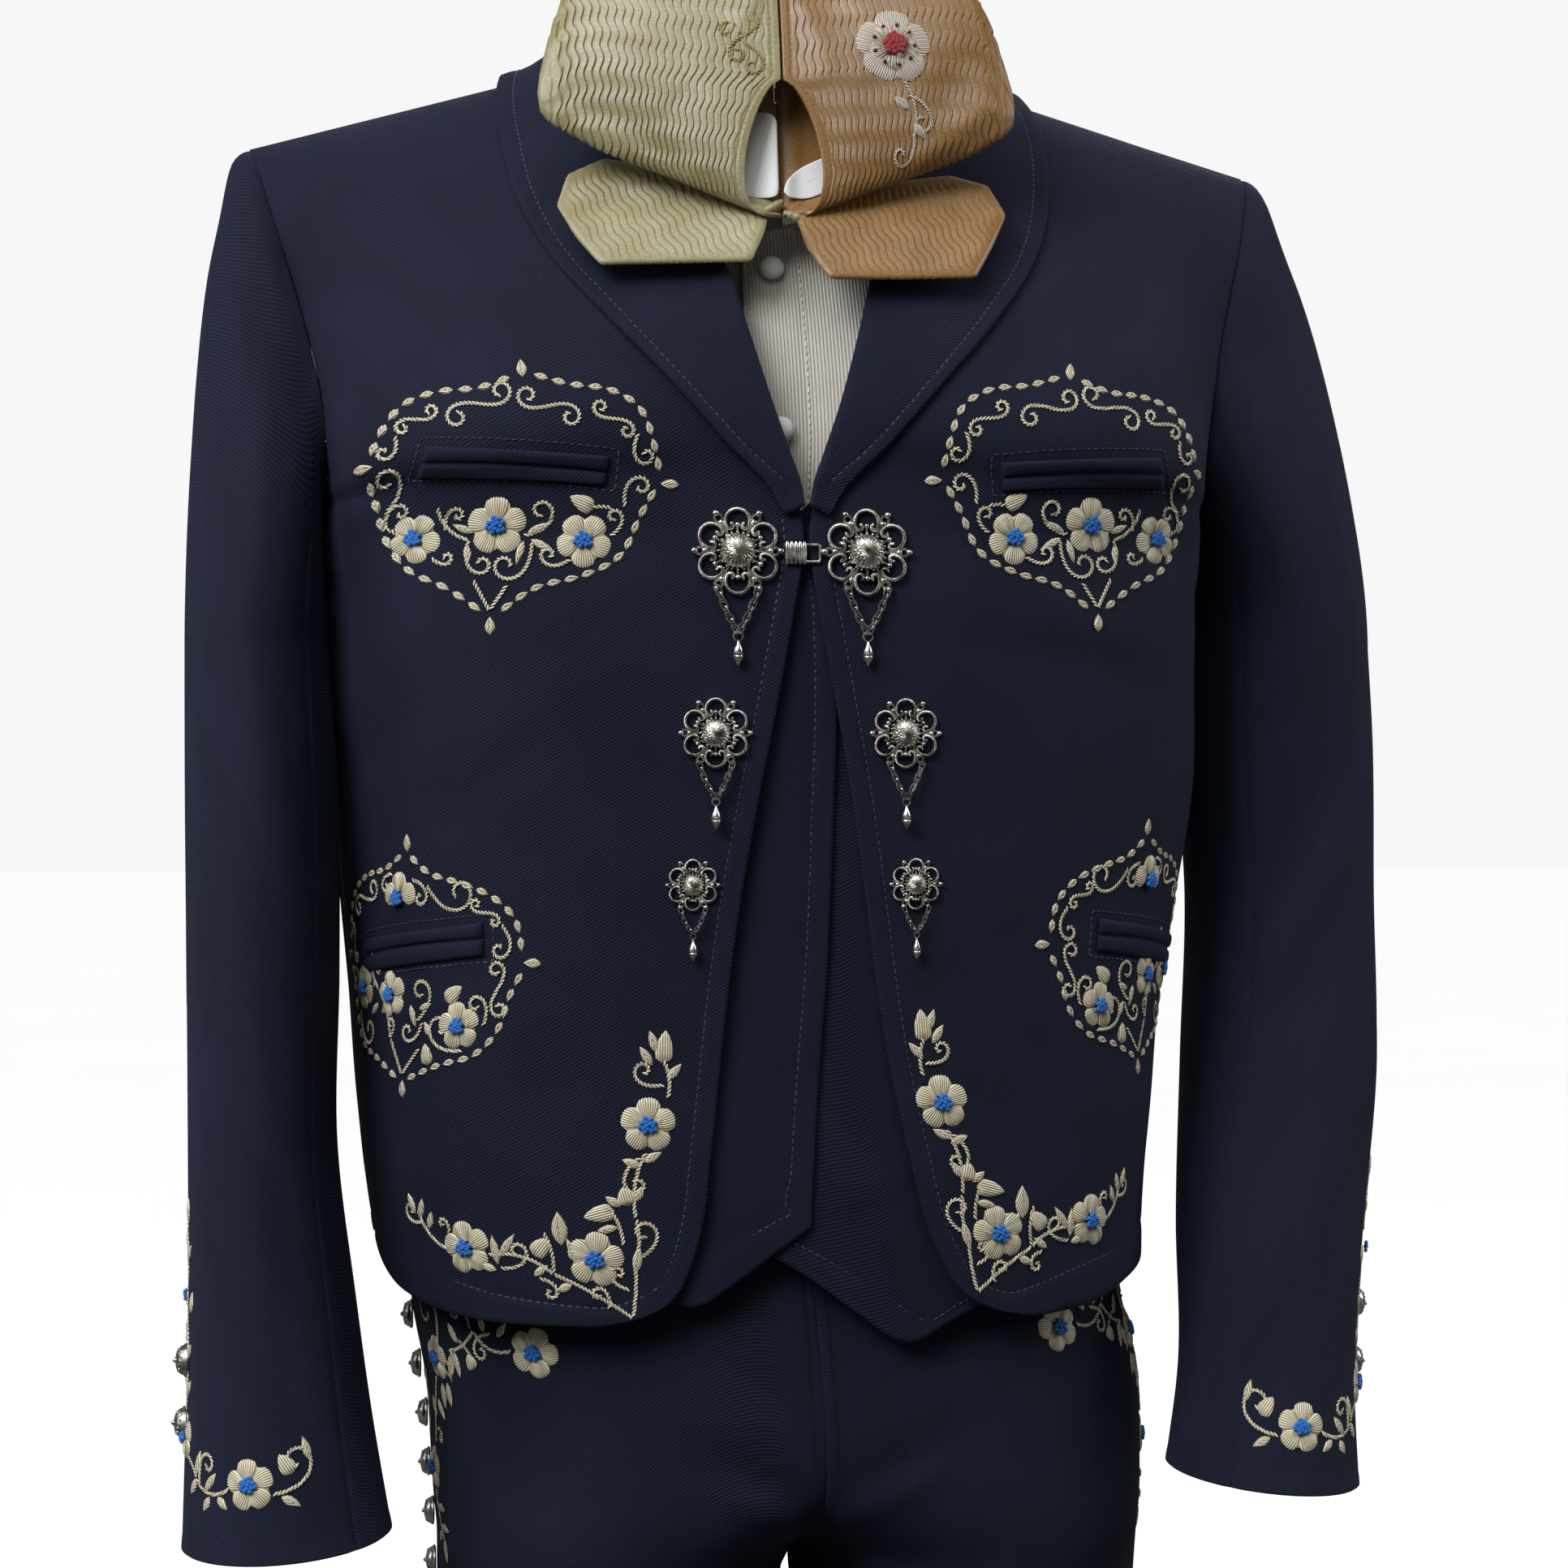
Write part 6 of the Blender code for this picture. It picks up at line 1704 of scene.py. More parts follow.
# One satin in two colours: the wearer's left side of the bow gets a copy in painted warm shade.
LIT_AND_SHADED_SATINS = {-1: "satin", 1: "satin in painted warm shade"}  # the two sides of the bow catch the light differently
WING_DENTS = {
    # round the wing from the front in degrees, reach, the same at the other end, half width, depth
    "right": [(80, 4, 30, 26, 6, -1.6), (60, 2, 14, 20, 5, 1.3), (100, 6, 60, 40, 8, 1.4),
              (-20, 40, 10, 90, 14, 1.5),
              (-60, 30, -30, 95, 12, -1.0)],
    "left": [(70, 4, 20, 30, 7, -1.5), (50, 2, 0, 22, 5, 1.2), (-30, 60, 20, 92, 12, -1.6),
             (-70, 50, -20, 96, 10, 1.3),
             (90, 10, 50, 50, 9, 1.2)],
}


def wing_surface(reach, angle):
    """A wing's plain tube: angle 0 faces forward, 90 degrees up. Low on the front its end is cut to
    a mouth."""
    middle_z, half_height, half_depth = np.moveaxis(WING(reach), -1, 0)
    rise, ahead = np.sin(angle), np.cos(angle)
    z = middle_z + half_height * rise
    y = BOW_Y - half_depth * ahead + BOW_LEAN * (z - WING_FOOT_Z)
    mouth = (np.clip(-rise, 0, 1) * np.clip(ahead, 0, 1) * 2) ** 0.6
    return np.stack([reach + MOUTH_DEPTH * mouth * np.clip(1 - reach / 60, 0, 1), y, z], -1)


def pleat_height(across):
    """Height of the pleats: each rises slowly and laps sharply over the next, which leaves a dark
    line."""
    share = np.mod(across / PLEAT_PITCH + 1e-6, 1.0)
    return PLEAT_DEPTH * (share**0.7 - 0.6)


def pleat_sway(along):
    """The pleats' wavy course: their shift to the side along their length."""
    return PLEAT_SWING * np.sin(2 * math.pi * along / PLEAT_WAVE)


def wings():
    step = PLEAT_PITCH / PLEAT_STEPS
    reaches = np.concatenate([[0.8, 1.2, 1.8, 2.6],
                              np.arange(round(PLEATS_FROM / step), round(PLEATS_TO / step)) * step,
                              [97.2, 97.8, 98]])
    turns = np.linspace(-math.pi, math.pi, WING_TURNS + 1)[:-1]
    for name, side in SIDES.items():
        reach, angle = np.meshgrid(reaches, turns, indexing="ij")
        across = reach
        far = np.clip((PLEATS_TO - reach) / 6, 0, 1)
        plain = wing_surface(reach, angle)
        around = np.cumsum(np.linalg.norm(np.diff(plain, axis=1, prepend=plain[:, -1:]), axis=-1),
                           axis=1)
        around = around - around[:, WING_TURNS // 2:WING_TURNS // 2 + 1]
        wander = 0.5 * np.sin(around / 9 + reach / 17) + 0.4 * np.sin(around / 23 - reach / 11)
        begun = np.clip((reach - PLEATS_FROM) / 4, 0, 1)
        reach = reach + (pleat_sway(around) + wander) * begun * far
        plain = wing_surface(reach, angle)
        normal = wrapped_normals(plain)
        from_mouth = arc_lengths(plain, 0)
        flat_hem = np.clip((from_mouth - MOUTH_HEM) / 2.0, 0, 1)
        depth = pleat_height(across * side) * flat_hem * far
        depth = (depth + 0.2 * (1 - flat_hem)
                 - 0.45 * np.exp(-(((from_mouth - MOUTH_HEM) / 0.6) ** 2)))
        depth = (depth + folds(np.degrees(angle), reach, WING_DENTS[name])
                 * np.clip(from_mouth / 8, 0, 1))
        outer = plain + normal * depth[..., None]
        piece = capped_wing(f"mono_wing_{name}_cloth", outer, normal, around, side)
        dressed(piece, [f"mono_wing_{name}"])
        cloth_sheet(piece, np.concatenate([outer, outer[:, :1]], 1))


def capped_wing(name, outer, normals, around, side):
    """A tube wall open at its first row and closed at its last, with a rolled rim round the
    mouth."""
    rows, columns = outer.shape[:2]
    inside = np.arange(0, rows - 10, 5)
    kept = len(inside)
    inner = outer[inside] - normals[inside] * WING_WALL
    lip = (outer[0] + inner[0]) / 2 - np.array([0.45, 0, 0])
    tips = np.array([outer[-1].mean(0) + (1.0, 0, 0), inner[-1].mean(0) + (1.0, 0, 0)])
    points = np.concatenate([outer.reshape(-1, 3), inner.reshape(-1, 3), lip, tips])
    points[:, 0] = points[:, 0] * side + BOW_X
    flat = np.stack([outer[..., 0] * side, around], -1)
    uvs = np.concatenate([flat.reshape(-1, 2), flat[inside].reshape(-1, 2), flat[0], flat[-1, :2]])
    size, low = rows * columns, rows * columns + (kept - 1) * columns
    lips = size + kept * columns
    j = np.arange(columns)
    k = (j + 1) % columns
    faces = []
    for i in range(rows - 1):
        faces.append(np.stack([i * columns + j, i * columns + k, (i + 1) * columns + k,
                               (i + 1) * columns + j], -1))
    for i in range(kept - 1):
        a, b = size + i * columns, size + (i + 1) * columns
        faces.append(np.stack([b + j, b + k, a + k, a + j], -1))
    faces.append(np.stack([j, lips + j, lips + k, k], -1))
    faces.append(np.stack([lips + j, size + j, size + k, lips + k], -1))
    last = (rows - 1) * columns
    ends = [(last + a, last + b, len(points) - 2) for a, b in zip(j, k)]
    ends += [(low + b, low + a, len(points) - 1) for a, b in zip(j, k)]
    return make_object(name, points, list(np.concatenate(faces)) + ends, [finish(LIT_AND_SHADED_SATINS[side])],
                       uvs)


def rounded_outline(corners, radius, step=1.4):
    """The corners joined by straight edges, with each corner eased over a radius."""
    corners = np.array(corners, float)
    count = len(corners)
    path = []
    for i in range(count):
        before, here, after = corners[i - 1], corners[i], corners[(i + 1) % count]
        into, out = unit(before - here), unit(after - here)
        first, last = here + into * radius, here + out * radius
        for t in np.linspace(0, 1, 5):
            path.append((1 - t) ** 2 * first + 2 * t * (1 - t) * here + t**2 * last)
    path = np.array(path + [path[0]])
    run = np.concatenate([[0], np.cumsum(np.linalg.norm(np.diff(path, axis=0), axis=-1))])
    at = np.linspace(0, run[-1], int(run[-1] / step) + 1)[:-1]
    return np.stack([np.interp(at, run, path[:, k]) for k in range(2)], -1)


def half_thickness(edge, thickness):
    """Half the thickness of a doubled piece at a distance from its edge, which is round."""
    round_edge = np.sqrt(np.clip(1 - (1 - np.clip(edge / thickness, 0, 1)) ** 2, 0, 1))
    return thickness / 2 * (0.35 + 0.65 * round_edge)


def leaf_of_cloth(name, outline, y_of, thickness, finish_key, relief_of, offset, rings=44):
    """A flat doubled piece of cloth inside an outline in x and z, its face raised by relief_of(x,
    z, edge)."""
    outline = np.array(outline, float)
    centre = outline.mean(0)
    shares = 1 - (1 - np.linspace(0, 1, rings)) ** 1.25
    count = len(outline)
    points, uvs, faces = [], [], []
    back_rings = 4
    for front in (True, False):
        for share in shares[1:] if front else np.linspace(0, 1, back_rings)[1:]:
            place = centre + (outline - centre) * share
            edge = np.linalg.norm(outline - centre, axis=-1) * (1 - share)
            y = y_of(place[:, 0], place[:, 1]) + offset
            half = half_thickness(edge, thickness)
            lift = relief_of(place[:, 0], place[:, 1], edge) if front else 0
            y = y + thickness / 2 + (-half - lift if front else half)
            points.append(np.stack([place[:, 0], y, place[:, 1]], -1))
            uvs.append(place)
        y = y_of(*centre) + offset + (0 if front else thickness)
        points.append(np.array([[centre[0], y - (relief_of(*centre, 20.0) if front else 0),
                                 centre[1]]]))
        uvs.append(centre[None])
    points, uvs = np.concatenate(points), np.concatenate(uvs)
    half = (rings - 1) * count + 1
    j = np.arange(count)
    k = (j + 1) % count
    for base, many in ((0, rings), (half, back_rings)):
        for i in range(many - 2):
            a, b = base + i * count, base + (i + 1) * count
            faces += list(np.stack([a + j, a + k, b + k, b + j], -1))
        faces += [(base + a, base + b, base + (many - 1) * count) for a, b in zip(j, k)]
    last, far = (rings - 2) * count, half + (back_rings - 2) * count
    faces += list(np.stack([last + j, last + k, far + k, far + j], -1))
    return make_object(name, points, faces, [finish(finish_key)], uvs)


# how far the tails' pleats lean from upright
TAIL_LEAN = {"right": math.radians(26), "left": math.radians(20)}
TAIL_THICK = 2.4
TAIL_HEM = 2.2  # the flat turned edge
TAIL_ROWS = 30
TAIL_SINK, TAIL_SINK_Z, TAIL_SINK_REACH = 0.9, -84, 7  # the hollow where the wings press on it


def pleated_tail(name, corners):
    """A doubled tail of the bow, on a grid whose columns follow the pleats from edge to edge."""
    outline = rounded_outline(corners, 1.6, 0.5)
    lean = TAIL_LEAN[name]
    sideways = np.array([math.cos(lean), math.sin(lean)])
    down = np.array([math.sin(lean), -math.cos(lean)])
    across, along = outline @ sideways, outline @ down
    low, high = across.min() + 0.15, across.max() - 0.15
    step = PLEAT_PITCH / PLEAT_STEPS
    columns = np.concatenate([[low],
                              np.arange(math.ceil(low / step + 0.5), math.floor(high / step))
                              * step, [high]])
    next_across, next_along = np.roll(across, -1), np.roll(along, -1)
    ends = []
    for column in columns:
        hit = (across - column) * (next_across - column) <= 0
        share = (column - across[hit]) / (next_across[hit] - across[hit] + 1e-9)
        meets = along[hit] + (next_along[hit] - along[hit]) * share
        ends.append((meets.min(), meets.max()))
    first, last = np.array(ends).T
    share = np.linspace(0, 1, TAIL_ROWS)[:, None]
    share = 0.6 * share + 0.4 * (0.5 - 0.5 * np.cos(math.pi * share))
    run = first + (last - first) * share
    spot = columns[None, :, None] * sideways + run[..., None] * down
    edge = np.linalg.norm(spot[:, :, None] - outline[None, None], axis=-1).min(-1)
    spot = spot + (pleat_sway(run) * np.clip((edge - 0.6) / 3, 0, 1))[..., None] * sideways
    x, z = spot[..., 0], spot[..., 1]
    flat_hem = np.clip((edge - TAIL_HEM) / 2, 0, 1)
    sunk = TAIL_SINK * np.exp(-(((z - TAIL_SINK_Z) / TAIL_SINK_REACH) ** 2))
    lift = (pleat_height(columns[None, :]) + 0.35) * flat_hem * 0.85 + 0.5 - sunk
    half = half_thickness(edge, TAIL_THICK)
    lift = lift * np.clip(edge / 1.5, 0.1, 1)
    y = np.vectorize(tail_y)(x, z) - TAIL_THICK / 2 - half - lift
    outer = np.stack([x, y, z], -1)
    facing = np.zeros_like(outer)
    facing[..., 1] = -1
    return shell(f"mono_tail_{name}_cloth", outer, facing, (2 * half + lift)[..., None],
                 finish(LIT_AND_SHADED_SATINS[SIDES[name]]), swayed=False)


# distance from the bow's middle, z; one has been folded down behind its wing's mouth
STIFFENERS = {
    "right": ((1, -48), (9, -46), (22, -53), (31, -58), (30, -74), (14, -83), (1, -83)),
    "left": ((1, -77), (8, -70), (18, -65), (30, -62), (30, -74), (12, -83), (1, -83)),
}


def stiffener_y(x, z):
    """The stiffener stands near the back wall inside a wing, and curls forward at its inner
    edge."""
    curled = 2.5 * np.exp(-(((np.abs(x - BOW_X) - 2) / 4) ** 2))
    return BOW_Y + BOW_LEAN * (z - WING_FOOT_Z) + 2.2 - curled


def bow_tie():
    wings()
    for name, corners in TAILS.items():
        piece = pleated_tail(name, corners)
        dressed(piece, [f"mono_tail_{name}"])
    for name, side in SIDES.items():
        outline = rounded_outline([(BOW_X + side * reach, z) for reach, z in STIFFENERS[name]], 4)
        piece = leaf_of_cloth(f"mono_stiffener_{name}_cloth", outline, stiffener_y, 0.8,
                              "interfacing", lambda x, z, edge: 0.0 * x, 0.0, rings=16)
        dressed(piece, [f"mono_stiffener_{name}"])
    knot()
    neck_band()


KNOT_Y, KNOT_SIDES, KNOT_GATHERS = -100.1, 72, 9


def knot():
    """The gathered knot behind the wings: a roll of satin drawn into folds along its length."""
    place = frame_matrix((BOW_X, KNOT_Y, KNOT_Z), (0, 1, -BOW_LEAN))
    profile = Spline([(0, 5.6), (1.2, 6.6), (3, 7.5), (16, 7), (22, 5.8), (KNOT_LENGTH, 5.0)])
    sides = KNOT_SIDES
    points, faces = [(0, 0, 0.0)], []
    heights = np.linspace(0, KNOT_LENGTH, 40)
    for height in heights:
        for k in range(sides):
            turn = 2 * math.pi * k / sides
            radius = (profile(np.array([height]))[0, 0]
                      * (1 + 0.045 * math.cos(KNOT_GATHERS * turn + 0.6 * math.sin(height / 5))))
            points.append((radius * math.cos(turn), radius * math.sin(turn), height))
    points.append((0, 0, KNOT_LENGTH))
    for k in range(sides):
        n = (k + 1) % sides
        faces.append((0, 1 + n, 1 + k))
        for i in range(len(heights) - 1):
            a, b = 1 + i * sides, 1 + (i + 1) * sides
            faces.append((a + k, a + n, b + n, b + k))
        faces.append((1 + (len(heights) - 1) * sides + k, 1 + (len(heights) - 1) * sides + n,
                      len(points) - 1))
    roll = Parts()
    local = np.array(points)
    roll.add(local, faces, uvs=local[:, [0, 2]] * (3, 1), place=place)
    piece = roll.build("mono_knot_cloth", [finish("satin")])
    dressed(piece, ["mono_knot"])


def neck_band():
    """The band that carries the bow, round the collar's stand and under its fall."""
    grid = []
    for rise in np.linspace(6, 20, 10):
        row = []
        for angle in np.linspace(0, 360, 121):
            row.append(neck_point(angle if angle <= 180 else angle - 360, rise, BAND_OUT))
        grid.append(row)
    outer = np.array(grid)
    normal = grid_normals(outer)
    normal = normal * np.sign(normal[4, 0] @ np.array([0, -1, 0]))
    piece = shell("mono_neck_band_cloth", outer, normal, 1.0, finish("satin"), closed=True,
                  swayed=False)
    dressed(piece, ["mono_neck_band"])
    cloth_sheet(piece, outer)


# ---------------------------------------------------------------- silver

def curl(start, end, turns, count=60):
    """A curve in the plane from start to end, bent by rows of (share of its length, curvature)."""
    share = np.linspace(0, 1, count)
    rows = np.array(turns, float)
    bend = np.interp(share, rows[:, 0], rows[:, 1])
    heading = np.concatenate([[0], np.cumsum((bend[1:] + bend[:-1]) / 2 * np.diff(share))])
    steps = np.stack([np.cos(heading), np.sin(heading)], -1)
    path = np.concatenate([[(0, 0)], np.cumsum((steps[1:] + steps[:-1]) / 2 / (count - 1), axis=0)])
    made = path[:, 0] + 1j * path[:, 1]
    first, last = complex(*start), complex(*end)
    made = first + made * (last - first) / made[-1]
    return np.stack([made.real, made.imag], -1)


# a lobe with a volute at each end
C_SCROLL = [(0, 27), (0.13, 24), (0.18, 6.2), (0.82, 6.2), (0.87, 24), (1, 27)]
SCROLL_POINTS = 150
LARGEST_RADIUS = 18.3  # of a rosette, whose dome and chains the others' are scaled from
DOME_RINGS, DOME_SIDES, DOME_RIBS, DOME_BEADS = 16, 120, 24, 20


def lifted(path, height):
    return np.column_stack([path, np.full(len(path), height)])


def rosette_parts(radius):
    """The openwork disc: six milled lobes with volutes, beads between them, ball-ended spokes and a
    ribbed dome."""
    made = Parts()
    wire = radius * 0.05
    for k in range(LOBES):
        turn = -math.pi / 2 + 2 * math.pi * k / LOBES
        spin = np.array([[math.cos(turn), math.sin(turn)], [-math.sin(turn), math.cos(turn)]])
        path = (curl((0.615 * radius, -0.15 * radius), (0.615 * radius, 0.15 * radius), C_SCROLL,
                     SCROLL_POINTS) @ spin)
        beat = 1 + 0.2 * np.cos(np.arange(SCROLL_POINTS) * 2 * math.pi / 3.0)
        made.add(*tube(lifted(path, wire * 1.5), wire * beat, 6))
        valley = turn + math.pi / LOBES
        out = np.array([math.cos(valley), math.sin(valley)])
        for reach, size in ((0.955, 0.078), (0.72, 0.07)):
            made.add(*ball((*(out * reach * radius), wire * 1.7), size * radius, 6, 10, 0.9))
        ring_turn = np.linspace(0, 2 * math.pi, 13)[:-1]
        ring_path = (out * 0.835 * radius + np.stack([np.cos(ring_turn), np.sin(ring_turn)], -1)
                     * 0.085 * radius)
        made.add(*tube(lifted(ring_path, wire * 1.3), wire * 0.75, 6, closed=True))
        made.add(*tube([(*(out * 0.36 * radius), wire * 1.6), (*(out * 0.7 * radius), wire * 1.4)],
                       wire * 0.7, 6))
        ahead = np.array([math.cos(turn), math.sin(turn)])
        made.add(*tube([(*(ahead * 0.36 * radius), wire * 1.6),
                        (*(ahead * 0.56 * radius), wire * 1.5)], wire * 0.7, 6))
        made.add(*ball((*(ahead * 0.58 * radius), wire * 1.6), 0.062 * radius, 6, 10))
    rings, sides, dome = DOME_RINGS, DOME_SIDES, radius * 0.4
    points, faces = [], []
    for i in range(rings):
        share = 1 - i / (rings - 1) * 0.97
        for j in range(sides):
            angle = 2 * math.pi * j / sides
            rib = 0.5 + 0.5 * math.cos(DOME_RIBS * angle + 1.2 * share)
            grain = 0.5 + 0.5 * math.cos(share * 26 + (j // 5 % 2) * math.pi)
            height = (5.4 * math.sqrt(max(0, 1 - share**1.7)) + 0.75 * rib * share**0.5
                      + 0.35 * grain * rib * share)
            height = (0.9 + height) * radius / LARGEST_RADIUS
            reach = dome * share * (1 + 0.03 * rib)
            points.append((reach * math.cos(angle), reach * math.sin(angle), height))
    points.append((0, 0, 6.3 * radius / LARGEST_RADIUS))
    points += [(dome * math.cos(2 * math.pi * j / sides), dome * math.sin(2 * math.pi * j / sides),
                0) for j in range(sides)]
    for j in range(sides):
        n = (j + 1) % sides
        for i in range(rings - 1):
            faces.append((i * sides + j, i * sides + n, (i + 1) * sides + n, (i + 1) * sides + j))
        faces.append(((rings - 1) * sides + j, (rings - 1) * sides + n, rings * sides))
        faces.append((j, n, rings * sides + 1 + n, rings * sides + 1 + j))
    faces.append([rings * sides + 1 + j for j in range(sides)])
    made.add(points, faces)
    for j in range(DOME_BEADS):
        angle = 2 * math.pi * j / DOME_BEADS
        place = (dome * 1.04 * math.cos(angle), dome * 1.04 * math.sin(angle), wire * 1.9)
        made.add(*ball(place, 0.032 * radius, 4, 6))
    return made


def brooches():
    for pair, (right_x, left_x, z, radius, drop, gap) in enumerate(BROOCHES, 1):
        for name, x in (("right", right_x), ("left", left_x)):
            place = front_place(x, z, SIDES[name], BROOCH_LIFT)
            made = rosette_parts(radius)
            turned_parts = Parts()
            turned_parts.add(np.concatenate(made.points), made.faces, place=place)
            piece = turned_parts.build(f"rosette_{pair}_{name}_silver", [finish("silver")])
            dressed(piece, [f"rosette_{pair}_{name}"])
            pendant(pair, name, place, radius, drop, gap)


LINK_WIRE = 0.36


def link_path(length, width):
    """A stadium-shaped link about its own middle, its length along x."""
    angle = np.linspace(0, 2 * math.pi, 17)[:-1]
    x = np.cos(angle) * width / 2 + np.sign(np.cos(angle)) * (length - width) / 2
    return np.stack([x, np.sin(angle) * width / 2, 0 * angle], -1)


def pendant(pair, name, place, radius, drop, gap):
    """Two lengths of chain that meet at a ring, and the acorn-shaped drop under it."""
    (left_x, y), (right_x, _) = hang_points(radius)
    waist = drop / 10 * 2.3
    out = place.to_3x3() @ Vector((0, 0, 1))
    down = Matrix.Translation(place.translation + out * (waist + gap))
    turn = Vector((0, 0, 1)).cross(out).normalized()
    level = Matrix((turn, Vector((0, 0, 1)), turn.cross(Vector((0, 0, 1))))).transposed().to_4x4()
    hang = down @ level
    low = -1.86 * radius
    size = radius / LARGEST_RADIUS
    links = Parts()
    for side_x in (left_x, right_x):
        bend = Spline([(0, side_x, y), (0.55, side_x * 0.5, (y + low) / 2 - 1),
                       (1, side_x * 0.04, low + 1.4 * size)])
        count = 7 if radius > 12 else 6
        at = bend(np.linspace(0, 1, count + 1))
        for i in range(count):
            start, end = at[i], at[i + 1]
            run = unit(end - start)
            length = np.linalg.norm(end - start) + 4 * LINK_WIRE * size
            flat = link_path(length, 2.5 * size)
            local = np.zeros((16, 3))
            local[:, :2] = (start + end) / 2 + flat[:, :1] * run
            if i % 2 == 0:
                local[:, :2] += flat[:, 1:2] * np.array([-run[1], run[0]])
            else:
                local[:, 2] = flat[:, 1] * 0.8
                local[:, :2] += flat[:, 1:2] * np.array([-run[1], run[0]]) * 0.45
            links.add(*tube(local, LINK_WIRE * size, 6, closed=True))
    turn_angle = np.linspace(0, 2 * math.pi, 17)[:-1]
    ring_path = np.stack([1.9 * size * np.cos(turn_angle),
                          low - 0.4 + 1.9 * size * np.sin(turn_angle), 0 * turn_angle], -1)
    links.add(*tube(ring_path, 0.42 * size, 6, closed=True))
    bottom = low - 2.2 - drop
    rows = [(0, bottom), (0.35, bottom + 0.2), (0.6, bottom + drop * 0.06),
            (waist * 0.5, bottom + drop * 0.14),
            (waist * 0.85, bottom + drop * 0.27), (waist * 0.98, bottom + drop * 0.36),
            (waist * 0.86, bottom + drop * 0.395), (waist * 0.86, bottom + drop * 0.42),
            (waist, bottom + drop * 0.45), (waist * 1.0, bottom + drop * 0.5),
            (waist * 0.84, bottom + drop * 0.53),
            (waist * 0.86, bottom + drop * 0.58), (waist * 0.7, bottom + drop * 0.72),
            (waist * 0.42, bottom + drop * 0.84),
            (0.45, bottom + drop * 0.95), (0.4, low - 2.3 * size), (0, low - 2.0 * size)]
    points, faces = turned(rows, 20)
    links.add(np.stack([points[:, 0], points[:, 2], points[:, 1]], -1), faces)
    placed = Parts()
    placed.add(np.concatenate(links.points), links.faces, place=hang)
    piece = placed.build(f"pendant_{pair}_{name}_silver", [finish("silver")])
    dressed(piece, [f"pendant_{pair}_{name}"], body=f"pendant_{pair}_{name}")


def hook_clasp():
    """The hook clasp: a ribbed bar on one side and an open wire loop on the other."""
    y = front_place(3, -228.7, -1, 0).translation.y - 0.5
    made = Parts()
    for k in range(5):
        x = -8.4 + k * 1.75
        rib = np.array([(x, y - 1.5, z) for z in np.linspace(-233.7, -224.7, 9)])
        made.add(*tube(rib, np.array([0.5, 0.85, 1, 1, 1, 1, 1, 0.85, 0.5]) * 1.0, 8, up=(1, 0, 0)))
    low, high = np.array([-9.0, y - 1.3, -233.2]), np.array([-0.9, y - 0.2, -225.2])
    corners = np.array([(x, yy, z) for x in (low[0], high[0]) for yy in (low[1], high[1])
                        for z in (low[2], high[2])])
    made.add(corners, [(0, 1, 3, 2), (4, 6, 7, 5), (0, 4, 5, 1), (2, 3, 7, 6), (0, 2, 6, 4),
                       (1, 5, 7, 3)])
    loop = rounded_outline([(-1.6, -232.6), (5.0, -232.6), (5.0, -225.8), (-1.6, -225.8)], 0.8, 0.5)
    made.add(*tube(np.column_stack([loop[:, 0], np.full(len(loop), y - 1.3), loop[:, 1]]), 0.6, 8,
                   closed=True))
    piece = made.build("hook_clasp_silver", [finish("silver")])
    dressed(piece, ["hook_clasp"])


def domed_button(radius, height, sides=48):
    """A domed filigree button: rope rim, ribbed dome with a ring of grains, and a bead on top."""
    made = Parts()
    angle = np.linspace(0, 2 * math.pi, sides + 1)[:-1]
    rim = np.stack([radius * 0.93 * np.cos(angle), radius * 0.93 * np.sin(angle), 0 * angle + 0.9],
                   -1)
    made.add(*tube(rim, radius * 0.08 * (1 + 0.25 * np.cos(np.arange(sides) * math.pi)), 4,
                   closed=True))
    rings = 5 if sides > 40 else 4
    points, faces = [(0, 0, 0.2)], []
    rows = ([(0.93, 0.2)] + [(0.92 * math.cos(t), 1 + (height - 1.6) * math.sin(t))
                             for t in np.linspace(0, 1.35, rings)])
    for reach, lift in rows:
        for k in range(sides):
            turn = 2 * math.pi * k / sides
            rib = 0.5 + 0.5 * math.cos(12 * turn)
            points.append((reach * radius * math.cos(turn), reach * radius * math.sin(turn),
                           lift + 0.35 * rib * (lift > 0.9) * reach))
    points.append((0, 0, height - 0.4))
    for k in range(sides):
        n = (k + 1) % sides
        faces.append((0, 1 + n, 1 + k))
        for i in range(len(rows) - 1):
            a, b = 1 + i * sides, 1 + (i + 1) * sides
            faces.append((a + k, a + n, b + n, b + k))
        faces.append((1 + (len(rows) - 1) * sides + k, 1 + (len(rows) - 1) * sides + n,
                      len(points) - 1))
    made.add(points, faces)
    for k in range(12):
        turn = 2 * math.pi * (k + 0.5) / 12
        place = (radius * 0.66 * math.cos(turn), radius * 0.66 * math.sin(turn),
                 1 + (height - 1.6) * 0.68)
        made.add(*ball(place, radius * 0.085, 3 if sides < 40 else 4, 4 if sides < 40 else 5))
    made.add(*ball((0, 0, height - 0.5), radius * 0.16, 4, 8))
    return made


def side_buttons():
    count = int((FIRST_SIDE_BUTTON_Z - HEM_Z - 8) / SIDE_BUTTON_PITCH) + 1
    button = domed_button(SIDE_BUTTON_RADIUS, SIDE_BUTTON_HEIGHT, 24)
    points, faces = np.concatenate(button.points), button.faces
    for name, side in SIDES.items():
        made = Parts()
        for k in range(count):
            z = FIRST_SIDE_BUTTON_Z - k * SIDE_BUTTON_PITCH
            seat = (side_seam(z, side) + side * 0.3, 0, z)
            made.add(points, faces, place=frame_matrix(seat, (side, 0, 0)))
        piece = made.build(f"side_buttons_{name}_silver", [finish("silver")])
        dressed(piece, [f"side_buttons_{name}"])


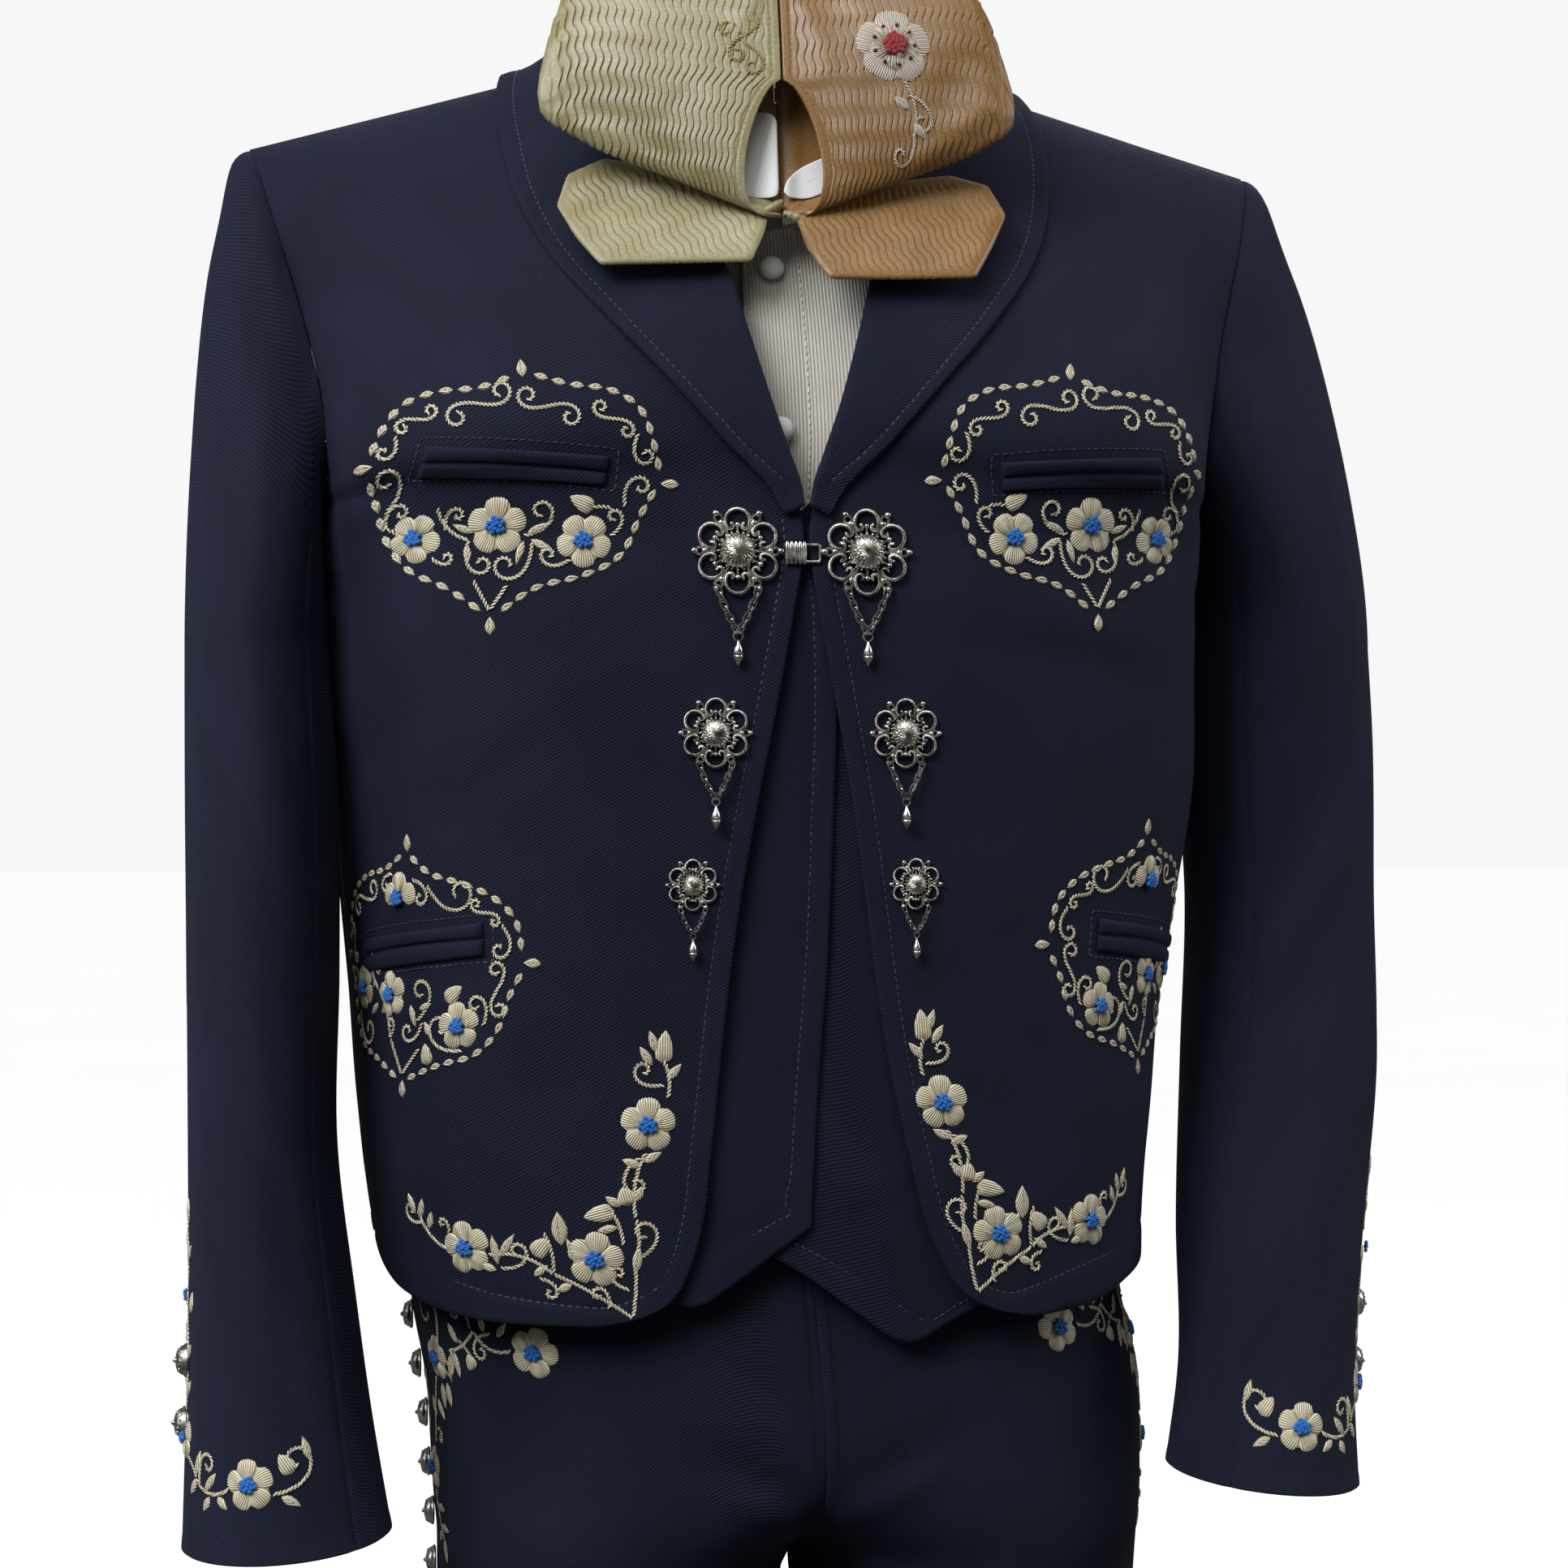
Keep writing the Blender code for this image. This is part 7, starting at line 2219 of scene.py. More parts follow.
def cuff_buttons():
    button = domed_button(6.8, 5.6)
    points, faces = np.concatenate(button.points), button.faces
    for name, side in SIDES.items():
        for index, length in enumerate(CUFF_BUTTON_LENGTHS, 1):
            spot, facing = sleeve_surface(np.array([CUFF_BUTTON_TURN]), np.array([length]), name)
            flip = np.array([side, 1, 1])
            made = Parts()
            made.add(points, faces, place=frame_matrix(spot[0] * flip, facing[0] * flip))
            piece = made.build(f"cuff_button_{index}_{name}_silver", [finish("silver")])
            dressed(piece, [f"cuff_button_{index}_{name}"])


def shirt_buttons():
    """Ball buttons of moulded white, each sewn on by its shank."""
    rows = [(0, 0.4), (3.0, 0.4), (4.4, 1.2), (5.2, 2.2), (5.3, 3.1), (4.7, 4.3), (3.3, 5.3),
            (1.6, 5.85), (0, 6.0)]
    for index, (x, z) in enumerate(((-10.2, -106.5), (-7.6, -177.5)), 1):
        across, height = locate(np.array(-x), np.array(z))
        point, normal = body_layer(across, height, 1, SHIRT_LIFT + PLACKET_STEP["left"])
        made = Parts()
        made.add(*turned(rows, 32), place=frame_matrix(point * (-1, 1, 1), normal * (-1, 1, 1)))
        piece = made.build(f"shirt_button_{index}_moulded", [finish("button cloth")])
        dressed(piece, [f"shirt_button_{index}"])


# ---------------------------------------------------------------- places for embroidery

# heights at which distances round the cloth are measured
SKIRT_Z, LEG_Z, CUFF_REF_Z = -430, -640, -590
FIELD_STEP = 1.5  # spacing of the cloth places that embroidery is laid between


def distance_table(points):
    return np.concatenate([[0], np.cumsum(np.linalg.norm(np.diff(points, axis=0), axis=-1))])


SKIRT_SHARES = np.linspace(0, 1.9, 260)
SKIRT_REACH = distance_table(body(SKIRT_SHARES, np.full(260, float(SKIRT_Z)), 1))
LEG_SHARES = np.linspace(1, 0, 120)
LEG_REACH = distance_table(trouser(LEG_SHARES, np.full(120, float(LEG_Z)), 1))
CUFF_TURNS = np.linspace(0, 0.5, 120)


def chest_place(side_name, s, z):
    """Cloth at a distance s from the middle, measured straight across, and height z."""
    across, height = locate(s, z)
    return jacket_surface(side_name, across, height, 0 * across)


def skirt_place(side_name, s, z):
    """Cloth at a distance s from the middle, measured round the jacket, and height z."""
    reach = s * TORSO(np.array([float(SKIRT_Z)]))[0, 0] / TORSO(z)[..., 0]
    return jacket_surface(side_name, np.interp(reach, SKIRT_REACH, SKIRT_SHARES), z, 0 * z)


def leg_place(side_name, s, z):
    """Cloth at a distance s in front of the outer seam, or behind it where s is negative."""
    share = np.interp(np.abs(s), LEG_REACH, LEG_SHARES)
    front, front_normal = trouser_surface(side_name, share, z, 1)
    back_face, back_normal = trouser_surface(side_name, share, z, -1)
    ahead = (s >= 0)[..., None]
    return np.where(ahead, front, back_face), np.where(ahead, front_normal, back_normal)


def cuff_place(side_name, s, z):
    """Cloth at a distance s in front of the sleeve's outermost line, or behind it where s is
    negative."""
    ring_points = sleeve_ring(CUFF_TURNS, np.full(120, float(CUFF_REF_Z)), side_name)
    turn = np.interp(np.abs(s), distance_table(ring_points), CUFF_TURNS) * np.sign(s)
    length = 0.35 + 0.65 * (HEAD_END_Z - z) / (HEAD_END_Z - CUFF_Z[side_name])
    return sleeve_surface(turn, length, side_name)


def wing_place(side_name, s, z):
    """Front of a wing at a distance s from the bow's middle and height z."""
    middle_z, half_height, _ = np.moveaxis(WING(s), -1, 0)
    angle = np.arcsin(np.clip((z - middle_z) / half_height, -0.96, 0.96))
    normal = normals_of(wing_surface, s, angle, 0.5, 0.02)
    normal = normal * np.sign(-normal[..., 1:2])
    return wing_surface(s, angle) + (BOW_X * SIDES[side_name], 0, 0), normal


PLACES = {"chest": chest_place, "skirt": skirt_place, "leg": leg_place, "cuff": cuff_place,
          "wing": wing_place}
SWAYING = ("chest", "skirt", "leg")


def sewn_on(place, side_name):
    """Maps local points (distance, height, rise off the cloth) to the suit, between places on a
    fine grid."""
    def mapping(points):
        low, high = points[:, :2].min(0) - FIELD_STEP, points[:, :2].max(0) + 2 * FIELD_STEP
        axes = [np.arange(a, b, FIELD_STEP) for a, b in zip(low, high)]
        spot, normal = PLACES[place](side_name, *np.meshgrid(*axes, indexing="ij"))
        field = np.concatenate([spot, normal], -1)
        at = (points[:, :2] - low) / FIELD_STEP
        i, j = at.astype(int).T
        a, b = (at - at.astype(int)).T[..., None]
        spots = (field[i, j] * (1 - a) + field[i + 1, j] * a) * (1 - b)
        spots = spots + (field[i, j + 1] * (1 - a) + field[i + 1, j + 1] * a) * b
        made = (spots[:, :3] + spots[:, 3:] * points[:, 2:3]) * (SIDES[side_name], 1, 1)
        if place in SWAYING:
            made[:, 0] += sway(made[:, 0], made[:, 2])
        return made
    return mapping


# ---------------------------------------------------------------- stitches

SPINDLE = turned([(0, -0.5), (0.72, -0.36), (1, 0), (0.72, 0.36), (0, 0.5)], 5)


def stitches(made, path, facing, pitch, length, radius, slant=0.0, finish=0, squash=0.7, rise=0.3):
    """Sews a row of stitches along a path. Facing is the cloth's normal, for all of it or at each
    point."""
    path = np.asarray(path, float)
    facing = np.broadcast_to(np.asarray(facing, float), path.shape)
    run = distance_table(path)
    if run[-1] < length:
        at = np.array([run[-1] / 2])
    else:
        at = np.linspace(length / 2, run[-1] - length / 2,
                         max(int(round((run[-1] - length) / pitch)), 1) + 1)
    ahead, behind = np.minimum(at + length / 2, run[-1]), np.maximum(at - length / 2, 0)
    ends = [np.stack([np.interp(place, run, path[:, k]) for k in range(3)], -1)
            for place in (behind, at, ahead)]
    out = unit(np.stack([np.interp(at, run, facing[:, k]) for k in range(3)], -1))
    along = unit(ends[2] - ends[0])
    across = unit(np.cross(out, along))
    turned_along = along * math.cos(slant) + across * math.sin(slant)
    turned_across = across * math.cos(slant) - along * math.sin(slant)
    shape, faces = SPINDLE
    middle = (ends[1] * 2 + ends[0] + ends[2]) / 4 + out * rise
    points = middle[:, None] + turned_across[:, None] * shape[None, :, :1] * radius
    points = points + out[:, None] * shape[None, :, 1:2] * radius * squash
    points = points + turned_along[:, None] * shape[None, :, 2:] * length
    uvs = (np.broadcast_to(shape[:, [0, 2]] * (radius, length), (len(at), len(shape), 2))
           + at[:, None, None] * 7)
    count = len(shape)
    faces = [[corner + k * count for corner in face] for k in range(len(at)) for face in faces]
    made.add(points.reshape(-1, 3), faces, uvs=uvs.reshape(-1, 2), finish=finish)


def domed_patch(made, along, across, rise, turn, centre, uvs, finish=0):
    """Adds a raised patch of laid thread from grids of its length, width and rise; its rim lies on
    the cloth."""
    rows, columns = along.shape
    direction = np.array([math.cos(turn), math.sin(turn)])
    side = np.array([-direction[1], direction[0]])
    flat = np.asarray(centre, float) + along[..., None] * direction + across[..., None] * side
    points = np.concatenate([flat, rise[..., None]], -1).reshape(-1, 3)
    faces = [list(face) for face in grid_faces(rows, columns)]
    faces.append([int(corner) for corner in border(rows, columns)[::-1]])
    made.add(points, faces, uvs=uvs.reshape(-1, 2), finish=finish)


def petal(made, centre, turn, reach, wide, height, finish=0, rows=8, columns=17):
    """A round petal of satin stitch, its threads fanned out from the flower's middle."""
    t, s = np.meshgrid(np.linspace(0, 1, rows), np.linspace(-1, 1, columns), indexing="ij")
    edge = np.sqrt(np.clip(1 - np.abs(s) ** 2.3, 0, 1))
    ragged = 1 + 0.022 * np.cos(np.arange(columns) * math.pi)[None, :] * (t > 0.95)
    along = reach * (0.24 + (0.4 + 0.36 * edge) * t) * ragged
    across = s * wide * np.sin(0.42 + 1.26 * t) ** 1.1
    dome = (np.sqrt(np.clip(1 - np.abs(s) ** 2.4, 0, 1))
            * np.sin(math.pi * (0.22 + 0.78 * t)) ** 0.55)
    groove = 0.11 * np.cos(np.arange(columns) * math.pi)[None, :]
    rise = 0.08 + height * (dome + groove * (dome > 0.2))
    domed_patch(made, along, across, rise, turn, centre,
                np.stack([s * wide + 40 * turn, along], -1), finish)


def flower(made, centre, reach, first, petals=5, finish=0, middle=1, sweep=360):
    """Satin-stitch petals round a heap of French knots."""
    for k in range(petals):
        turn = math.radians(first + sweep / (petals if sweep == 360 else petals - 1) * k)
        petal(made, centre, turn, reach, 0.45 * reach, 1.15 + 0.3 * (k % 2), finish)
    knots(made, centre, 0.3 * reach, 14, middle, 1.15, 2.5)


def knots(made, centre, spread_radius, count, finish=1, size=0.98, rise=2.1):
    for k in range(count):
        reach = spread_radius * math.sqrt((k + 0.4) / count)
        place = (centre[0] + reach * math.cos(2.4 * k), centre[1] + reach * math.sin(2.4 * k),
                 rise - 0.2 * reach)
        points, faces = ball(place, size, 5, 7, 0.85)
        made.add(points, faces,
                 uvs=(points[:, :2] - place[:2]) @ np.array([[0.8, 0.6], [-0.6, 0.8]]),
                 finish=finish)


def leaf(made, start, end, wide, bud=False, dimple=0.0, height=0.9, finish=0, rows=7, columns=9):
    """A leaf, bud or seed of laid thread. A bud is round at its start; a seed's loop leaves a
    dimple."""
    start, end = np.array(start, float), np.array(end, float)
    length = np.linalg.norm(end - start)
    turn = math.atan2(*(end - start)[::-1])
    t, s = np.meshgrid(np.linspace(0, 1, rows), np.linspace(-1, 1, columns), indexing="ij")
    swell = np.sin(math.pi * t**0.62) ** 0.62 if bud else np.sin(math.pi * t**0.85) ** 0.85
    along = t * length - (0.1 * length * np.abs(s) ** 2 * (1 - t) if bud else 0)
    across = s * wide * np.maximum(swell, 0.04)
    dome = np.sqrt(np.clip(1 - s**2, 0, 1)) * np.maximum(swell, 0.0) ** 0.6
    hollow = (dimple * np.exp(-((s / 0.34) ** 2)) * np.sin(math.pi * t) ** 0.5
              + 0.12 * np.exp(-((s / 0.16) ** 2)))
    rise = 0.08 + height * dome * (1 - hollow)
    uvs = np.stack([across + 0.42 * along * np.sign(s + 1e-9) * (not bud), along], -1)
    domed_patch(made, along, across, rise, turn, start, uvs, finish)


SCROLLS = {
    # share of the length, curvature: a stem's bend from its start to its end
    "s": [(0, 28), (0.1, 21), (0.3, 12.5), (0.42, 3), (0.58, -3), (0.7, -12.5), (0.9, -21),
          (1, -28)],
    "j": [(0, 0.8), (0.25, 2.6), (0.5, 6.5), (0.75, 10), (1, 17)],
    "bow": [(0, 1.1), (1, 1.1)],
    "line": [(0, 0.2), (1, -0.2)],
}


def stem(made, kind, start, end, flip, radius=0.56, finish=0):
    """A stem or scroll in rope-like stem stitch."""
    path = curl(start, end, [(share, bend * flip) for share, bend in SCROLLS[kind]], 70)
    stitches(made, lifted(path, 0.0), (0, 0, 1), 1.6, 2.7, radius, slant=0.62, finish=finish,
             rise=0.34)


def seeds(made, path, pitch=7.3):
    """Lazy-daisy seeds along a path, from its start to its end."""
    run = distance_table(path)
    count = max(int(round(run[-1] / pitch)), 1)
    for at in (np.arange(count) + 0.5) / count * run[-1]:
        ends = [np.array([np.interp(place, run, path[:, k]) for k in range(2)])
                for place in (at - 2.9, at + 2.9)]
        leaf(made, ends[0], ends[1], 1.5, dimple=0.75, height=1.0, rows=6, columns=8)


def draw(made, rows, fit=(1.0, 0.0, 0.0)):
    """Works a design's rows. Fit scales and shifts their places, and leaves the stitches' sizes
    alone."""
    def spot(u, v):
        return np.array([u * fit[0] + fit[1], v + fit[2]])

    for kind, *row in rows:
        if kind == "flower":
            flower(made, spot(*row[:2]), *row[2:])
        elif kind in ("leaf", "bud"):
            start, end = np.array(row[:2]), np.array(row[2:4])
            middle = spot(*(start + end) / 2)
            leaf(made, middle - (end - start) / 2, middle + (end - start) / 2, row[4],
                 bud=kind == "bud",
                 height=1.2 if kind == "bud" else 0.9, rows=9 if kind == "bud" else 7, columns=13)
        elif kind == "knots":
            knots(made, spot(*row[:2]), row[2], row[3])
        elif kind == "seeds":
            seeds(made, smooth_line([spot(*place) for place in row[0]], 0.8))
        elif kind == "tip":
            middle, turn = spot(*row[:2]), math.radians(row[2])
            reach = np.array([math.cos(turn), math.sin(turn)]) * 3.6
            leaf(made, middle - reach, middle + reach, 2.0, dimple=0.35, height=1.1)
        else:
            stem(made, kind, spot(*row[:2]), spot(*row[2:4]), row[4])


# ---------------------------------------------------------------- designs

# Places in mm from the pocket's middle: outward from the body's middle, and up.
CHEST_MOTIF = [
    ("tip", -4.5, 37.5, 85), ("tip", 57.5, -1, 170), ("tip", -64, -9, 5), ("tip", 8, -65.5, 90),
    ("seeds", [(-0.5, 34), (12, 29.5), (29, 28.5), (43, 24), (50, 15), (55, 3)]),
    ("seeds", [(55.5, -5), (52, -17), (48.5, -31), (41, -42), (26, -49.5), (11, -60)]),
    ("seeds", [(4, -60), (-10, -50.5), (-28, -46), (-44, -38), (-52, -22), (-58.5, -10.5)]),
    ("seeds", [(-60, -4.5), (-57, 8), (-52, 21), (-40, 28.5), (-24, 30.5), (-8.5, 35)]),
    ("s", 43.5, 15.5, 31.5, 19.5, 1), ("s", 22, 19.5, 3.5, 26, 1), ("s", -6, 24, -24, 19, -1),
    ("s", -35, 20, -47, 13, -1),
    ("j", -51, 11, -53, 2, -1), ("j", -46, -18.5, -51, -9.5, 1), ("j", -40, -30, -42.5, -22.5, -1),
    ("bow", -33, -18.5, -41, -19, 0.5), ("bud", -32.5, -18.5, -24, -14, 3.3),
    ("j", 46, 11.5, 49, 4.5, 1), ("j", 48.5, -18, 47.5, -6.5, -1), ("j", 49, -26, 44.5, -18.5, 1),
    ("bow", 49, -25, 43, -30, 0.8),
    ("flower", 37.5, -29.5, 9.9, -94), ("flower", 5, -25.5, 11.5, 90),
    ("flower", -29.5, -31.5, 10.8, -88),
    ("bow", 28.5, -17.5, 15.5, -31, -1.1), ("j", 25, -27, 21.5, -20.5, 1),
    ("leaf", 14.5, -28, 22.5, -24.5, 1.5),
    ("j", 16, -31, 12.5, -41, -1), ("leaf", 17, -32.5, 16.5, -40.5, 1.5),
    ("j", -5.5, -29.5, -13.5, -21, -1), ("leaf", -7, -28.5, -16.5, -24.5, 1.6),
    ("leaf", -8.5, -31, -17.5, -36, 1.6),
    ("leaf", -5.5, -31.5, -2.5, -41, 1.5), ("j", -9, -31.5, 0, -42.5, 1),
    ("j", -24.5, -39, -15.5, -38.5, 1),
    ("j", 31, -37.5, 25, -38.5, -1), ("line", 14.5, -47, 8, -59.5, 1),
    ("line", 1, -49, 8, -59.5, 1),
]
HIP_MOTIF = [
    ("tip", 16, 43, 85), ("tip", -45.5, -5, 5), ("tip", 17, -58.5, 88), ("tip", 76, -5, 175),
    ("seeds", [(14.5, 38), (4, 31), (-12, 27), (-28, 21), (-38, 12), (-41, -1)]),
    ("seeds", [(-41.5, -8.5), (-36, -19), (-32.5, -31), (-22, -42.5), (-6, -47), (14.5, -54.5)]),
    ("seeds", [(19, 38), (30, 32), (46, 29), (60, 22), (69, 11), (72.5, -1)]),
    ("seeds", [(72.5, -8.5), (68, -20), (63, -32), (53, -42), (37, -47), (20.5, -54.5)]),
    ("s", -19.5, 17.5, -29, 12.5, -1), ("j", 12.5, 28, 6.5, 21.5, 1), ("j", 4, 26, -11.5, 21, -1),
    ("j", 25, 30, 30.5, 25.5, -1), ("s", 40, 22, 57, 17, 1), ("j", -31.5, 10.5, -32.5, 0.5, 1),
    ("s", -31.5, -8, -30.5, -23.5, 1), ("j", -25, -31, -22.5, -22, -1), ("j", 8.5, -30, 5, -18, -1),
    ("j", 5, -30, 13, -35.5, 1), ("j", -16, -41, -3.5, -34, 1), ("leaf", 0.5, -36, 4, -30, 1.6),
    ("line", 25.5, -38, 17.2, -52.5, 1), ("line", 6.5, -41, 17.2, -52.5, 1),
    ("bow", 45, -6, 36, -18, -0.7), ("bow", 36, -18, 26, -38, 0.8), ("j", 40, -17.5, 38, -9.5, 1),
    ("j", 26.5, -38, 25, -32, -1), ("bud", -7.5, -20.5, -14.5, -15, 3.4),
    ("bud", 2, -47, 3.5, -39, 3.0),
    ("leaf", 7, -25, 0.5, -22.5, 1.5), ("leaf", 12.5, -23.5, 9, -32.5, 1.5),
    ("leaf", 40, -8, 43, 0, 1.6),
    ("leaf", 37, -24, 43, -29, 1.6), ("leaf", 33, -28, 28, -24, 1.4),
    ("flower", 20.5, 20.5, 10.4, 12, 3, 0, 1, 152), ("flower", 25.5, -19.5, 9.6, 78),
    ("flower", -13.5, -31, 9.8, 80),
    ("flower", 52, -18, 9.4, 60), ("j", 61, -24, 65, -14, -1), ("j", 58, -28, 47, -37, -1),
    ("s", 66, 6, 64, -6, 1),
]

# Places on the skirt in mm round the body from its middle, and heights.
CORNER_SPRAY = [
    ("bud", 57.5, -433, 56.5, -421, 3.6), ("leaf", 60, -430, 63, -421, 1.8),
    ("leaf", 62, -435, 67, -427.5, 1.8),
    ("leaf", 56, -441, 50.5, -434.5, 1.8), ("bow", 57.5, -433, 56, -448.5, 0.7),
    ("j", 57, -443, 66, -438.5, 1),
    ("flower", 64, -459, 11, 92), ("bow", 65, -470, 70, -497, -0.6),
    ("leaf", 67, -476, 74.5, -473, 1.9),
    ("leaf", 66, -474, 59, -470, 1.9), ("j", 67, -472, 70.5, -482.5, -1),
    ("bud", 73, -491, 74.5, -484, 3.5),
    ("leaf", 76, -492, 81.5, -488, 1.8), ("leaf", 70, -490, 66.5, -483.5, 1.7),
    ("j", 72.5, -514, 66, -503.5, -1),
    ("bow", 70, -497, 71.5, -516, 0.5), ("leaf", 71.5, -519, 69.5, -508, 1.9),
    ("bow", 71.5, -516, 74, -537.5, 0.25),
    ("flower", 87, -513.5, 11.2, 100), ("bud", 79.5, -494, 90.5, -496.5, 3.6),
    ("bow", 79.5, -494, 75.5, -508, 0.5),
    ("leaf", 77.5, -500.5, 85.5, -502, 1.7), ("j", 74, -526, 79, -520, 1),
    ("j", 83, -534, 86, -527.5, -1),
    ("bow", 74, -537.5, 104, -520, -0.25), ("leaf", 97, -524, 103, -527, 1.8),
    ("leaf", 92, -518, 98, -505, 2.0),
    ("bow", 104, -520, 107, -503, -0.6), ("leaf", 100, -508, 101, -494.5, 3.2),
    ("bud", 111, -512, 105, -505.5, 3.8),
    ("bow", 104, -520, 131, -513.5, -0.9), ("j", 110, -522, 105, -527, 1),
    ("leaf", 112, -521, 106, -516.5, 1.7),
    ("j", 126, -518.5, 117.5, -512.5, -1), ("leaf", 127, -517, 129, -505, 1.8),
    ("leaf", 126, -514, 119, -504, 1.8),
    ("leaf", 128, -519.5, 135, -517.5, 1.7), ("flower", 141, -511, 10.9, 78),
    ("j", 149, -506, 151.5, -501.5, -1),
    ("bow", 150, -512.5, 166, -497, 0.9), ("j", 163, -502, 171, -499, 1),
    ("leaf", 160, -505, 158, -497.5, 1.7),
    ("leaf", 165, -501, 163, -492.5, 1.7), ("leaf", 168, -499, 172, -491, 1.7),
]
# Places on a trouser leg in mm in front of its outer seam, and heights.
LEG_SPRAY = [
    ("flower", 108, -556, 10.6, 70), ("bow", 98, -556, 78, -549.5, -1.3),
    ("bow", 78, -549.5, 58, -560, -0.8),
    ("j", 88, -550, 80.5, -557, 1), ("j", 76, -549, 68, -541.5, 1),
    ("leaf", 91, -551, 96, -544.5, 1.7),
    ("leaf", 84, -549.5, 82, -542, 1.7), ("bud", 75, -561, 72, -567, 3.3),
    ("bow", 75, -561, 66, -554, 0.5),
    ("leaf", 66, -556, 60, -548, 1.8), ("leaf", 62, -560, 64, -571, 1.9),
    ("leaf", 58, -562, 55, -574, 1.9),
    ("j", 60, -559, 55, -568, -1), ("flower", 43.5, -565, 9.6, 84),
    ("leaf", 50, -575, 52, -585, 2.4),
    ("leaf", 44, -576, 45, -587, 2.4), ("j", 36, -572, 42, -546, 1),
    ("bow", 38, -574, 27, -604, 0.5),
    ("leaf", 35, -584, 43, -592, 1.8), ("leaf", 31, -592, 25, -584, 1.8),
    ("j", 30, -598, 36, -600, -1),
    ("flower", 20.5, -616, 9.2, 90), ("bow", 21, -625, 30, -646, 0.5),
    ("leaf", 24, -632, 34, -632, 1.9),
    ("leaf", 27, -640, 37.5, -640.5, 1.9), ("leaf", 29, -645, 34, -655, 2.0),
    ("leaf", 26, -642, 20, -648, 1.8),
    ("bow", 12, -574, 4, -604, -0.5), ("leaf", 10, -580, 4, -574, 1.8),
    ("leaf", 7, -592, 12, -586, 1.8),
]
# Places on a sleeve in mm in front of its outermost line, and heights.
CUFF_SPRAY = [
    ("flower", 60.5, -599.5, 10, 95), ("j", 69.5, -603.5, 81, -593, 1),
    ("bud", 77.5, -595.5, 73, -588.5, 3.3),
    ("leaf", 85.5, -592, 83, -582.5, 1.8), ("leaf", 73, -604.5, 80, -609, 1.8),
    ("bow", 51.5, -601, 30, -599, -1.2),
    ("leaf", 45, -604.5, 50, -609, 1.8), ("leaf", 40, -605, 36, -611, 1.8),
    ("leaf", 37, -603, 44, -595.5, 1.8),
    ("j", 33, -601, 38, -592, -1), ("leaf", 30, -599, 24, -606, 1.8),
    ("leaf", 29, -598, 33, -588, 1.9),
    ("bow", 30, -599, 19, -592, 0.6), ("flower", 13, -585, 9.3, 92),
    ("bow", 13, -576, 12, -536, 0.3),
    ("leaf", 13, -570, 20, -563, 1.8), ("leaf", 12.5, -566, 6, -559, 1.8),
    ("leaf", 12.5, -556, 19, -549, 1.8),
    ("j", 12, -552, 5, -546, 1), ("knots", 14, -530, 2.4, 5), ("leaf", 9, -536, 5, -528, 2.2),
    ("leaf", 18, -537, 21, -528, 2.2), ("bow", 13, -524, 12, -500, -0.4),
    ("leaf", 13, -516, 18.5, -510, 1.7),
    ("leaf", 12.5, -512, 7, -506, 1.7), ("leaf", 12, -502, 12.5, -492, 1.9),
]
# design, where it is worked, and the scale and shifts that fit it to each of the wearer's sides
EMBROIDERY = {
    "chest": (CHEST_MOTIF, "chest", {"right": (0.985, 118.5, -193), "left": (1.0, 116, -190)}),
    "hip": (HIP_MOTIF, "skirt", {"right": (1.0, 157, -389), "left": (0.93, 146, -383)}),
    "corner": (CORNER_SPRAY, "skirt", {"right": (1.0, 0, 0), "left": (0.86, 0, 7.5)}),
    "leg": (LEG_SPRAY, "leg", {"right": (1.0, 0, 0), "left": (1.06, 3, 6)}),
    "cuff": (CUFF_SPRAY, "cuff", {"right": (1.0, -2, 0), "left": (1.0, 10, 9)}),
}


def embroidery():
    for region, (rows, place, fits) in EMBROIDERY.items():
        for name in SIDES:
            made = Parts()
            draw(made, rows, fits[name])
            piece = made.build(f"embroidery_{region}_{name}", [finish("champagne"), finish("blue")],
                               sewn_on(place, name), sharp=70)
            dressed(piece)


# ---------------------------------------------------------------- sewing that shows

DASH, DASH_GAP, DASH_RADIUS = 2.5, 0.8, 0.36  # topstitching: stitch, gap and half width


def sewn_rows(name, rows, side, finish_key, swayed=True):
    """One object of dashed stitch rows, from lists of (path, normals) in the wearer's left half."""
    made = Parts()
    for path, facing in rows:
        stitches(made, path, facing, DASH + DASH_GAP, DASH, DASH_RADIUS, rise=0.05, squash=0.8)

    def mapping(points):
        moved = points * (side, 1, 1)
        if swayed:
            moved[:, 0] += sway(moved[:, 0], moved[:, 2])
        return moved

    piece = made.build(name, [finish(finish_key)], mapping)
    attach(piece, "suit")


def waistcoat_place(side_name, x, z):
    across, height = locate(x, z)
    return body_layer(across, height, 1, WAISTCOAT_LIFT[side_name] - 0.2 + 0 * across)


def collar_stitch_line():
    """The line on the collar that runs beside its outer edge."""
    outer, normal = COLLAR_GRIDS["outer"], COLLAR_GRIDS["normal"]
    reach = arc_lengths(outer, 1)
    line, facing = [], []
    for row, faces, run in zip(outer, normal, reach):
        place = run[-1] - min(STITCH_IN, 0.4 * run[-1])
        line.append([np.interp(place, run, row[:, k]) for k in range(3)])
        facing.append([np.interp(place, run, faces[:, k]) for k in range(3)])
    return np.array(line)[6:], np.array(facing)[6:]


